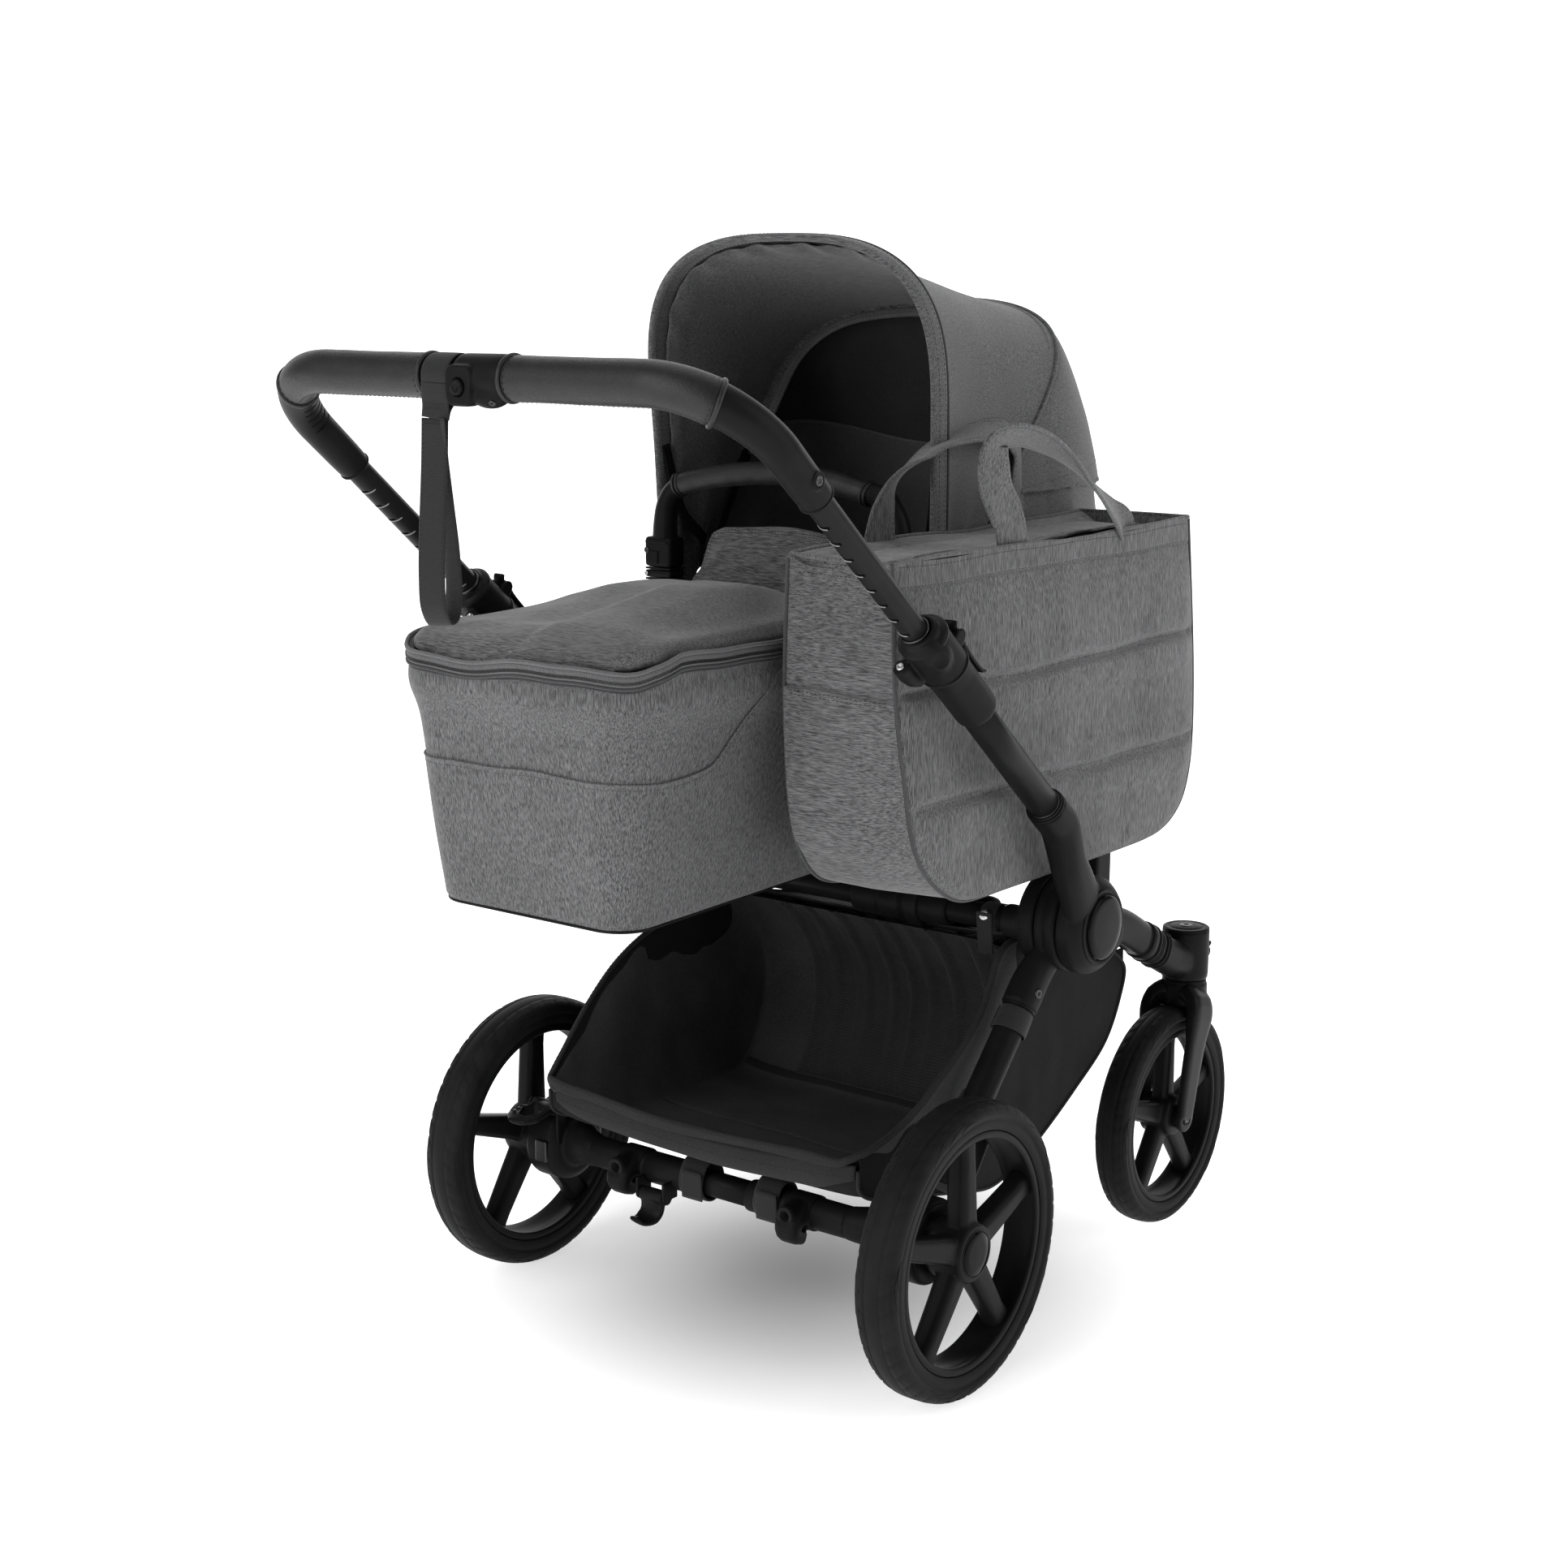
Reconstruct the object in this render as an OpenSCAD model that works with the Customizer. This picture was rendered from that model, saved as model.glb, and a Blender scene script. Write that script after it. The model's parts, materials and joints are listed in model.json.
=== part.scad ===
// Side-by-side convertible stroller set up for one child: a carrycot on the left,
// a luggage bag on the right, a telescoping folding handle, two sprung-looking rear
// wheels and two swivelling front wheels. Millimetres, +Z up, +Y the way it travels.

/* [Wheels] */
// Radius of a rear wheel over its tyre
rear_r = 150; // [146:1:152]
// Radius of a front wheel over its tyre
front_r = 128; // [124:1:129]
// Width of a rear tyre
rear_w = 46; // [40:1:46]
// Width of a front tyre
front_w = 40; // [34:1:40]
// Middle of a rear wheel, from the middle plane
rear_x = 282.5; // [282.5:0.5:290]
// Middle of a front wheel, from the middle plane
front_x = 216; // [212:1:216]
// Spokes in each wheel
spokes = 5; // [3:1:7]

/* [Frame] */
// Radius of the round folding hubs
hub_r = 52; // [46:1:53]
// Radius of the lower leg tubes
leg_r = 15.5; // [13:0.5:16]
// Radius of the cross tubes
cross_r = 13; // [11:0.5:14]
// Radius of the outer handle tubes
outer_r = 16; // [15:0.5:16]
// Radius of the telescoping handle tubes
inner_r = 12.5; // [11:0.5:12.5]
// How far the swivel axis stands ahead of the front wheel axle
trail = 42; // [36:1:44]

/* [Carrycot and bag] */
// Width of the carrycot at its rim
cot_w = 320; // [300:2:320]
// Length of the carrycot at its rim
cot_l = 885; // [860:5:885]
// Height of the carrycot wall
cot_h = 250; // [230:5:250]
// Width of the bag
bag_w = 142; // [120:2:142]
// Height of the bag
bag_h = 341; // [299:3:341]

/* [Hidden] */
e = 0.01;
mid_y = 146;          // middle of the whole length, measured from the rear axle
hub = [250, 424.5];   // y and z of the folding axis
ax_z = rear_r;        // rear axle height, at y = 0
fw_y = 536;           // front wheel axle
sw_y = fw_y + trail;  // swivel axis
tube_x = 280;         // handle tubes
ha = 139.6;           // angle of the handle tubes, from +Y towards +Z
t0 = [165, 552];      // a point on the handle tube line
cot_x = -85;          // middle of the carrycot
cot_z = 465;          // underside of the carrycot
rim_z = cot_z + cot_h;
cot_y = -238 + cot_l / 2;
piv = [255, 782];     // y and z of the hood pivot
hood_x = -78;         // middle of the hood arches
lean = 45;            // how far the middle hood arch leans back
ho = [277, 774];      // foot of the middle hood arch, y and z
bar_s = 682;          // push bar axis along the handle tube line
bend_r = 90;          // radius of the bend into the push bar
axle = [-20, 155];    // y and z of the rear cross axle tube
function on_tube(s, o = 0) = [t0[0] + cos(ha) * s + sin(ha) * o, t0[1] + sin(ha) * s - cos(ha) * o];
function rl(t) = [234 + 12 * t, 26 + (hub[0] - 26) * t, 160 + (hub[1] - 160) * t];   // rear leg line, 0 low, 1 at the hub
function fl(t) = [224 - 8 * t, hub[0] + (sw_y - hub[0]) * t, hub[1] - 108 * t];      // front leg line, 0 at the hub

bar_y = on_tube(bar_s)[0];
bar_z = on_tube(bar_s)[1];

module place() translate([0, -mid_y, 0]) children();
module flip() mirror([1, 0, 0]) children();
module rod(p, q, r, fn = 48) {
  d = q - p; l = norm(d);
  translate(p) rotate([0, acos(d[2] / l), atan2(d[1], d[0])]) cylinder(h = l, r = r, $fn = fn);
}
module xcyl(x0, x1, y, z, r, fn = 64) translate([x0, y, z]) rotate([0, 90, 0]) cylinder(h = x1 - x0, r = r, $fn = fn);
module along(x, s, r, h, o = 0, fn = 48) translate([x, on_tube(s, o)[0], on_tube(s, o)[1]]) rotate([ha - 90, 0, 0]) cylinder(h = h, r = r, $fn = fn);
module rr(w, l, r) union() { square([w - 2 * r, l], center = true); square([w, l - 2 * r], center = true);
  for (sx = [-1, 1], sy = [-1, 1]) translate([sx * (w / 2 - r), sy * (l / 2 - r)]) circle(r = r, $fn = 32); }
module bend(a0, a1, r, fn = 48) translate([tube_x - bend_r, on_tube(bar_s - bend_r)[0], on_tube(bar_s - bend_r)[1]]) rotate([ha, 0, 0]) rotate([0, 0, a0])
  rotate_extrude(angle = a1 - a0, $fn = 72) translate([bend_r, 0]) circle(r = r, $fn = fn);

// ---- wheels, axis along X, middle at the origin
module tyre(R, w, ri) rotate([0, 90, 0]) rotate_extrude($fn = 96) polygon([[ri + 0.1, -w/2 + 3], [ri + 5, -w/2], [R - 14, -w/2 + 1], [R - 5, -w/2 + 7], [R, -w/2 + 16],
  [R, w/2 - 16], [R - 5, w/2 - 7], [R - 14, w/2 - 1], [ri + 5, w/2], [ri + 0.1, w/2 - 3]]);
module rim(ro, w, boss, bw, sw, bore = 6, blind = 0) difference() {
  union() {
    rotate([0, 90, 0]) rotate_extrude($fn = 96) polygon([[ro - 10, -w/2 + 2], [ro - 3, -w/2], [ro, -w/2], [ro, w/2], [ro - 3, w/2], [ro - 10, w/2 - 2]]);
    rotate([0, 90, 0]) cylinder(h = bw, r = boss, center = true, $fn = 64);
    for (i = [0 : spokes - 1]) rotate([i * 360 / spokes, 0, 0]) translate([-sw / 2, -12, boss - 6]) cube([sw, 24, ro - 8 - boss + 6]);
  }
  rotate([0, 90, 0]) translate([0, 0, -bw / 2 - 1]) cylinder(h = bw + 2 - blind, r = bore, $fn = 48);
}
module rear_tyre() color("#1c1c1d") translate([rear_x, 0, ax_z]) tyre(rear_r, rear_w, 122);
module rear_rim() color("#202122") translate([rear_x, 0, ax_z]) { rim(122, 38, 36, 43, 22, 6, 4); xcyl(21.4, 23, 0, 0, 22.5); }
module front_tyre() color("#1c1c1d") translate([front_x, fw_y, front_r]) tyre(front_r, front_w, 102);
module front_rim() color("#202122") translate([front_x, fw_y, front_r]) rim(102, 32, 27, 38, 20);
module rear_tyre_right() rear_tyre();
module rear_tyre_left() flip() rear_tyre();
module rear_rim_right() rear_rim();
module rear_rim_left() flip() rear_rim();
module front_tyre_right() front_tyre();
module front_tyre_left() flip() front_tyre();
module front_rim_right() front_rim();
module front_rim_left() flip() front_rim();

// ---- folding hubs: three layers on one pin
module hub_inner() color("#1e1e20") difference() {
  union() {
    translate([212, hub[0], hub[1]]) rotate([0, 90, 0]) rotate_extrude($fn = 72) polygon([[0, 0], [hub_r - 9, 0], [hub_r - 2, 6], [hub_r, 12], [hub_r - 1, 22], [hub_r - 4, 24], [0, 24]]);
    xcyl(230, 288, hub[0], hub[1], 9.95, 48);
    xcyl(283, 288, hub[0], hub[1], 15, 48);
  }
  rod(fl(0), fl(0.3), 18.5);
  for (c = [[215, 424.5], [300, 402]]) xcyl(200, 228, c[0], c[1], cross_r);
  translate([190, hub[0] - 60, 464.4]) cube([33, 120, 20]);
}
module hub_right() hub_inner();
module hub_left() flip() hub_inner();
module hub_caps() color("#141415") for (m = [0, 1]) mirror([m, 0, 0]) xcyl(291.2, 295, hub[0], hub[1], 34);

module front_leg() color("#1f1f21") difference() {
  union() { rod(fl(0.07), fl(0.62), 18.5); rod(fl(0.6), fl(0.84), 16.5); rod(fl(0.6), fl(0.66), 21); }
  xcyl(235.9, 262, hub[0], hub[1], hub_r + 3);
  xcyl(190, 228, 300, 402, cross_r);
}
module front_leg_right() front_leg();
module front_leg_left() flip() front_leg();
module caster_housing() color("#1d1d1f") difference() {
  union() {
    translate([front_x, sw_y, 285]) rotate_extrude($fn = 64) polygon([[0, 0], [25.5, 0], [26.5, 2], [26.5, 57], [24, 60.5], [0, 60.5]]);
    hull() { rod(fl(0.8), fl(0.83), 20, 32); translate([front_x, sw_y - 8, 292]) cylinder(h = 44, r = 17, $fn = 32); }
    for (s = [-1, 1]) { xcyl(front_x + s * 11.6 - 1.6, front_x + s * 11.6 + 1.6, sw_y + 33, 318, 6, 32); translate([front_x + s * 11.6 - 1.6, sw_y + 16, 312]) cube([3.2, 17, 12]); }
  }
  xcyl(front_x - 14, front_x + 14, sw_y + 33, 318, 3, 32);
  translate([front_x, sw_y, 284]) cylinder(h = 48, r = 8, $fn = 48);
  rod(fl(0.6), fl(0.84), 16.5);
  translate([front_x - 10, sw_y + 24, 306]) cube([20, 20, 30]);
}
module caster_housing_right() caster_housing();
module caster_housing_left() flip() caster_housing();
module fork() color("#202022") difference() {
  union() {
    translate([front_x, sw_y, 270]) cylinder(h = 14.4, r = 25.5, $fn = 64);
    translate([front_x, sw_y, 270]) cylinder(h = 58, r = 7.95, $fn = 48);
    for (s = [-1, 1]) hull() { xcyl(front_x + s * 28 - 4, front_x + s * 28 + 4, sw_y - 6, 266, 17, 32); xcyl(front_x + s * 28 - 4, front_x + s * 28 + 4, fw_y, front_r, 15, 32); }
    translate([front_x - 32, sw_y - 22, 262]) cube([64, 38, 12]);
    xcyl(front_x - 30, front_x + 30, fw_y, front_r, 5.95, 48);
    xcyl(front_x + 31, front_x + 35, fw_y, front_r, 10);
  }
}
module caster_fork_right() fork();
module caster_fork_left() flip() fork();
module caster_lock() color("#19191a") union() { xcyl(front_x - 9.6, front_x + 9.6, sw_y + 33, 318, 5.5, 32); xcyl(front_x - 13, front_x + 13, sw_y + 33, 318, 2.95, 32);
  translate([front_x - 9.6, sw_y + 33, 318]) cube([19.2, 11, 5.5]); translate([front_x - 9.6, sw_y + 28, 312]) cube([19.2, 4, 14]); }
module caster_lock_right() caster_lock();
module caster_lock_left() flip() caster_lock();

// ---- cross members
module cross_tubes() color("#1c1c1d") for (c = [[215, 424.5], [300, 402]]) xcyl(-228, 228, c[0], c[1], cross_r);
module cross_sleeves() color("#1f1f20") for (c = [[215, 424.5], [300, 402]]) difference() {
  union() { xcyl(5, 128, c[0], c[1], 18.5); xcyl(40, 44, c[0], c[1], 20); xcyl(66, 70, c[0], c[1], 20); }
  xcyl(0, 130, c[0], c[1], cross_r);
}
module adapter_plate(x0) { translate([x0, 232, 492]) cube([12, 36, 168]); }
module cot_adapters() color("#18181a") difference() {
  union() {
    adapter_plate(-261); translate([-261, 232, 466]) cube([49, 36, 26 + e]);
    adapter_plate(79); translate([76, 206, 402]) cube([18, 104, 90 + e]);
  }
  for (c = [[215, 424.5], [300, 402]]) xcyl(60, 110, c[0], c[1], 18.5);
  xcyl(-290, -200, hub[0], hub[1], hub_r);
  translate([-270, 200, 440]) cube([34, 90, 40]);
  cot_body(-0.6, cot_z - 0.6);
}
module bag_post() color("#1a1a1b") difference() {
  union() { translate([203, 350, 372]) cube([22, 34, 113]); translate([190, 340, 477]) cube([44, 46, 8]); }
  rod(fl(0.07), fl(0.62), 18.5); 
}
module screw(x, y, z, r = 5) xcyl(x, x + 3, y, z, r, 32);
module frame_screws() color("#3a3a3c") for (m = [0, 1]) mirror([m, 0, 0]) {
  translate([198, 215, 437.5]) cylinder(h = 3, r = 5, $fn = 32);
  translate([front_x, sw_y, 345.5]) cylinder(h = 1.5, r = 9, $fn = 32);
}

// ---- basket: a sewn sling hung from the legs and the axle bar
basket_out = [[-56, 228], [-52, 207], [-34, 190], [0, 181], [60, 164], [190, 132], [285, 160], [430, 236], [470, 316], [430, 350], [205, 392], [168, 374]];
basket_in = [[-60, 238], [-51, 228], [-47, 209], [-31, 194.5], [1, 186], [61, 169], [190, 137.5], [283, 165], [427, 240], [464, 315], [440, 360], [205, 410], [150, 390]];
module slab(x, pts) translate([-x, 0, 0]) rotate([90, 0, 90]) linear_extrude(height = 2 * x) polygon(pts);
module basket() color("#151516") difference() {
  union() { slab(207, basket_out); slab(226, [[-56, 228], [-54, 222], [14, 222], [14, 273]]); }
  slab(202, basket_in);
  slab(221, [[-60, 240], [-50, 227], [9, 227], [9, 290], [-30, 290]]);
  for (c = [[215, 424.5], [300, 402]]) xcyl(-240, 240, c[0], c[1], 22);
  for (m = [0, 1]) mirror([m, 0, 0]) { rod(fl(0.0), fl(0.9), 22.5); xcyl(190, 230, hub[0], hub[1], hub_r + 3); translate([198, 340, 360]) cube([32, 60, 60]); }
}

// ---- rear frame
module rear_leg() color("#202022") difference() {
  union() {
    translate([236.4, hub[0], hub[1]]) rotate([0, 90, 0]) rotate_extrude($fn = 72) polygon([[10, 0], [hub_r - 3, 0], [hub_r, 4], [hub_r, 21], [hub_r - 3, 25.2], [10, 25.2]]);
    translate([249, hub[0], hub[1]]) rotate([-90 + atan2(hub[1] - 160, hub[0] - 26), 0, 0]) translate([-12.4, -18, -78]) cube([24.8, 36, 40]);
    rod(rl(0.84), rl(0.52), 18.5);
    rod(rl(0.53), rl(0.2), leg_r);
  }
  xcyl(230, 265, hub[0], hub[1], 10, 48);
}
module rear_leg_right() rear_leg();
module rear_leg_left() flip() rear_leg();
module drum() color("#1d1d1e") difference() {
  union() {
    translate([212, 0, ax_z]) rotate([0, 90, 0]) rotate_extrude($fn = 64) polygon([[0, 0], [34, 0], [44, 8], [44, 40], [41, 43], [0, 43]]);
    xcyl(250, 299, 0, ax_z, 5.95, 48);
    hull() { rod(rl(0.18), rl(0.32), 19.5, 32); xcyl(216, 248, 8, ax_z + 8, 24, 32); }
    hull() { xcyl(170, 172, axle[0], axle[1], 17, 32); xcyl(212, 230, -2, 152, 26, 32); }
  }
  rod(rl(0.2), rl(0.5), leg_r);
  xcyl(160, 195, axle[0], axle[1], 12);
}
module axle_drum_right() drum();
module axle_drum_left() union() { flip() drum();
  color("#1d1d1e") for (x = [-256, -215.7]) { xcyl(x, x + 3.7, -30, 194, 7, 32); translate([x, -37, 150]) cube([3.7, 14, 44]); }
  color("#1d1d1e") xcyl(-254, -213, -30, 194, 3.95, 32); }
module axle_bar() color("#1d1d1e") difference() {
  union() {
    xcyl(-195, 195, axle[0], axle[1], 12);
    for (m = [0, 1]) mirror([m, 0, 0]) { xcyl(44, 168, axle[0], axle[1], 16); translate([97, -56, 138]) cube([30, 36, 36]); }
    for (x = [-92, -56]) translate([x, -50, 126]) cube([3.7, 32, 30]);
    xcyl(-90, -54, -42, 134, 3.95, 32);
  }
  for (x = [-112, 112]) translate([x, -57, 160]) rotate([-90, 0, 0]) cylinder(h = 13, r = 5, $fn = 48);
}
module axle_lock_lever() color("#141415") difference() { union() { xcyl(-87.7, -56.6, -42, 134, 8, 32); translate([-87.7, -46, 113]) cube([31.1, 8, 20]); translate([-87.7, -68, 109]) cube([31.1, 30, 7]); } xcyl(-95, -50, -42, 134, 4, 32); }
module brake_pedal() color("#18181a") difference() {
  union() { xcyl(-252, -216, -30, 194, 8, 32); translate([-252, -84, 188]) cube([36, 52, 12]); translate([-252, -84, 188]) cube([44, 42, 12]); }
  xcyl(-255, -213, -30, 194, 4, 32);
  translate([-244, -78, 178]) cube([30, 30, 30]);
}

// ---- handle, lower part
module handle_arm() color("#1e1e20") difference() {
  union() {
    translate([262.2, hub[0], hub[1]]) rotate([0, 90, 0]) rotate_extrude($fn = 72) polygon([[0, 0], [hub_r - 3, 0], [hub_r, 5], [hub_r, 15], [hub_r - 7, 26], [hub_r - 14, 29], [0, 29]]);
    rod([279.6, hub[0] - 26, hub[1] + 34], [tube_x, on_tube(6)[0], on_tube(6)[1]], 17.6);
    along(tube_x, -4, 19, 30);
  }
  xcyl(255, 283.2, hub[0], hub[1], 10, 48);
  xcyl(282.8, 288.3, hub[0], hub[1], 15.1, 48);
  along(tube_x, 4, outer_r, 60);
  translate([250, 100, 380]) cube([12.2, 300, 300]);
}
module handle_arm_right() handle_arm();
module handle_arm_left() flip() handle_arm();
module outer_tube() color("#1c1c1d") difference() { along(tube_x, 4, outer_r, 306); along(tube_x, 8, inner_r + 0.06, 320); }
module outer_tube_right() outer_tube();
module outer_tube_left() flip() outer_tube();
module clamp() color("#18181a") difference() {
  union() {
    along(tube_x + 4, 203, 21.5, 122);
    along(tube_x + 4, 276, 23.5, 50);
    along(tube_x + 1, 325, 19.5, 12);
    xcyl(290, 308, on_tube(302)[0], on_tube(302)[1], 14, 48);
    translate([tube_x + 4, on_tube(288)[0], on_tube(288)[1]]) rotate([ha - 90, 0, 0]) for (x = [-11.5, 8.3]) translate([x, 12, -9]) cube([3.2, 23, 18]);
  }
  translate([tube_x - 12, on_tube(288, 29)[0], on_tube(288, 29)[1]]) rotate([0, 90, 0]) cylinder(h = 32, r = 3, $fn = 32);
  along(tube_x, 100, outer_r, 210);
  along(tube_x, 150, inner_r + 0.06, 300);
  translate([240, -200, 500]) cube([22, 400, 400]);
}
module clamp_right() clamp();
module clamp_left() flip() clamp();
module clamp_lever() color("#141415") translate([tube_x + 4, on_tube(288)[0], on_tube(288)[1]]) rotate([ha - 90, 0, 0]) union() {
  translate([-8, 29, 0]) rotate([0, 90, 0]) cylinder(h = 16, r = 5, $fn = 32);
  translate([-11.4, 29, 0]) rotate([0, 90, 0]) cylinder(h = 22.8, r = 2.95, $fn = 32);
  translate([-8, 27, -62]) cube([16, 5, 62]);
}
module clamp_lever_right() clamp_lever();
module clamp_lever_left() flip() clamp_lever();

// ---- handle, telescoping part
module inner_tube() color("#232325") difference() {
  along(tube_x, 156, inner_r, 400);
  for (i = [0 : 7]) translate([tube_x, on_tube(345 + i * 23)[0], on_tube(345 + i * 23)[1]]) rotate([ha - 90, 0, 0]) translate([-6, -inner_r - 4.4, 0]) cube([12, 6, 4]);
}
module inner_tube_right() inner_tube();
module inner_tube_left() flip() inner_tube();
module handle_elbow() color("#242426") difference() {
  union() { bend(0, 48, 16.5); along(tube_x, 534, 17, bar_s - bend_r - 534); xcyl(293, 298, on_tube(560)[0], on_tube(560)[1], 6, 32); }
  along(tube_x, 400, inner_r + 0.1, 156);
}
module handle_elbow_right() handle_elbow();
module handle_elbow_left() flip() handle_elbow();
module handlebar_grips() color("#1b1b1c") union() {
  for (m = [0, 1]) mirror([m, 0, 0]) { bend(48.05, 90, 18.5); xcyl(m == 0 ? 40 : 54, tube_x - bend_r, bar_y, bar_z, 18.9); }
}
module fold_unit() color("#151516") difference() { union() { xcyl(-53.9, 39.9, bar_y, bar_z, 16.8); xcyl(-15, 38, bar_y, bar_z, 19.4); translate([-4, bar_y - 12, bar_z - 8]) rotate([90, 0, 0]) cylinder(h = 11, r = 13.4, $fn = 48); }
  translate([-4, bar_y - 12, bar_z - 8]) rotate([90, 0, 0]) cylinder(h = 30, r = 7.05, $fn = 48); }
module fold_button() color("#242425") translate([-4, bar_y - 16.1, bar_z - 8]) rotate([90, 0, 0]) cylinder(h = 10, r = 7, $fn = 48);
module wrist_strap() color("#161617") union() { difference() { xcyl(-52, -18, bar_y, bar_z, 20.5); xcyl(-54, -16, bar_y, bar_z, 17.2); }
  difference() { hull() { xcyl(-52, -18, bar_y, 950, 14); xcyl(-52, -18, bar_y, 792, 21); } hull() { xcyl(-54, -16, bar_y, 950, 11); xcyl(-54, -16, bar_y, 792, 18); } translate([-59, bar_y - 47, 950]) cube([50, 100, 24]); }
  difference() { hull() { xcyl(-52, -18, bar_y, 950, 14); xcyl(-52, -18, bar_y, 974, 8); } xcyl(-54, -16, bar_y, bar_z, 17.2); hull() { xcyl(-54, -16, bar_y, 950, 11); xcyl(-54, -16, bar_y, 968, 5); } } }

// ---- carrycot
module cot_body(g, z0) hull() {
  translate([cot_x, cot_y, z0]) linear_extrude(height = 1) rr(cot_w - 50 - 2 * g, cot_l - 85 - 2 * g, 38 - g / 2);
  translate([cot_x, cot_y, rim_z - 1]) linear_extrude(height = 1) rr(cot_w - 2 * g, cot_l - 2 * g, 52 - g / 2);
}
module cot_shell() color("#5f6062") difference() { cot_body(0, cot_z); translate([0, 0, e]) cot_body(11, cot_z + 11); translate([cot_x, cot_y, rim_z - 3]) linear_extrude(height = 10) rr(cot_w - 22, cot_l - 22, 46); }
module cot_clips() color("#151516") difference() {
  union() { translate([-261, 228, 660.5]) cube([30, 44, 46]); translate([60, 228, 660.5]) cube([31, 44, 46]);
    for (s = [-1, 1]) translate([cot_x, 0, 0]) { translate([s * 149.5 - 5.5, 174, rim_z + 0.2]) cube([11, 22, 14]); xcyl(s * 149.5 - 5.5, s * 149.5 + 5.5, 185, 729, 11, 32);
      xcyl(s > 0 ? 150 : -164, s > 0 ? 164 : -150, 185, 729, 3.95, 32); } }
  cot_body(-0.3, cot_z);
}
module mattress() color("#2a2a2b") translate([cot_x, cot_y, 0]) hull() { translate([0, 3, 478]) linear_extrude(height = 1) rr(206, 748, 56); translate([0, 3, 518]) linear_extrude(height = 1) rr(220, 756, 58); }
// the apron closes the foot end and stands up as a wind flap before the hood
apron_side = [[-230, rim_z + 0.5], [180, rim_z + 0.5], [199, 726], [199, 800], [189, 800], [187, 763], [150, 758], [80, 752], [-60, 744], [-160, 738], [-216, 728]];
module apron() color("#66676a") intersection() {
  translate([cot_x - 170, 0, 0]) rotate([90, 0, 90]) linear_extrude(height = 340) polygon(apron_side);
  translate([cot_x, cot_y, 700]) linear_extrude(height = 200) difference() { rr(cot_w - 10, cot_l - 10, 47);
    for (m = [-1, 1]) translate([m * (cot_w / 2) - 26, 10 - cot_y]) square([52, 255]); }
}
module hood_pivots() color("#101011") for (s = [-1, 1]) translate([cot_x, 0, 0]) union() {
  xcyl(s > 0 ? 134 : -142, s > 0 ? 142 : -134, piv[0], piv[1], 22);
  xcyl(s > 0 ? 140 : -152.5, s > 0 ? 152.5 : -140, piv[0], piv[1], 4.95, 48);
  translate([s > 0 ? 134 : -142, piv[0] - 9, rim_z + 0.5]) cube([8, 18, piv[1] - rim_z]);
}
// ribs are arches in planes through the pivots
module arch2(w, h) polygon(concat([[w / 2 * 0.955, 0]], [for (i = [0 : 24]) let (a = 180 * i / 24, c = cos(a), s = sin(a))
  [w / 2 * sign(c) * pow(abs(c), 0.7), h * (0.545 + 0.455 * pow(s, 0.7))]], [[-w / 2 * 0.955, 0]]));
module arch_at(y, z, a, w, h, t = 4) translate([hood_x, y, z]) rotate([-a, 0, 0]) translate([0, t / 2, 0]) rotate([90, 0, 0]) linear_extrude(height = t) arch2(w, h);
fy = 205;
module rib(a, w, h, y0, z0, cut) translate([hood_x, y0, z0]) rotate([-a, 0, 0]) rotate([90, 0, 0]) translate([0, 0, -3]) linear_extrude(height = 6) difference() { arch2(w, h); arch2(w - 12, h - 6); translate([-200, -100]) square([400, 100 + cut]); }
// the eye of a rib, on its pivot pin, and the arm out to the arch
module rib_eye(x0, y1, z1, len, reach, g = 18, c = 6) for (s = [-1, 1]) translate([cot_x, 0, 0]) difference() {
  union() { xcyl(s > 0 ? x0 : -x0 - 4.6, s > 0 ? x0 + 4.6 : -x0, piv[0], piv[1], 13, 48);
    translate([s > 0 ? x0 : -x0 - 4.6, piv[0], piv[1]]) rotate([atan2(z1 - piv[1], y1 - piv[0]), 0, 0]) { translate([0, -6, -6]) cube([4.6, len, 12]); translate([s > 0 ? 0 : 4.6 - reach + 14, len - g, -c]) cube([s > 0 ? reach : reach - 14, g - 6, 2 * c]); } }
  xcyl(s > 0 ? 130 : -160, s > 0 ? 160 : -130, piv[0], piv[1], 5, 48);
}
module hood_rib_front() color("#4c4d4f") union() { rib(0, 338, 398, fy, 720, 92); rib_eye(147.6, fy, 822, 76, 28, 15, 3); }
module hood_rib_rear() color("#4c4d4f") union() { rib(lean, 330, 388, ho[0], ho[1], 34); rib_eye(142.4, piv[0] + 50, piv[1] + 25, 62, 26); }
module hood_canopy() color("#5f6062") difference() {
  hull() { arch_at(fy + 5.5, 720, 0, 350, 405, 1); arch_at(ho[0] - 2.7, ho[1] + 2.7, lean, 336, 392, 1); }
  hull() { arch_at(fy + 3, 716, 0, 340, 404, 2); arch_at(ho[0], ho[1], lean, 326, 387, 6); }
  translate([-400, 0, 600]) cube([600, 700, 120]);
  translate([-400, 0, 600]) cube([600, 202, 620]);
  translate([hood_x, ho[0], ho[1]]) rotate([-lean, 0, 0]) translate([-300, -3.3, -300]) cube([600, 600, 800]);
}
module head_end(z, g, r, y0) translate([cot_x, cot_y, z]) linear_extrude(height = 1) intersection() { rr(cot_w - g, cot_l - g, r); translate([-200, y0 - cot_y]) square([400, 600]); }
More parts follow.
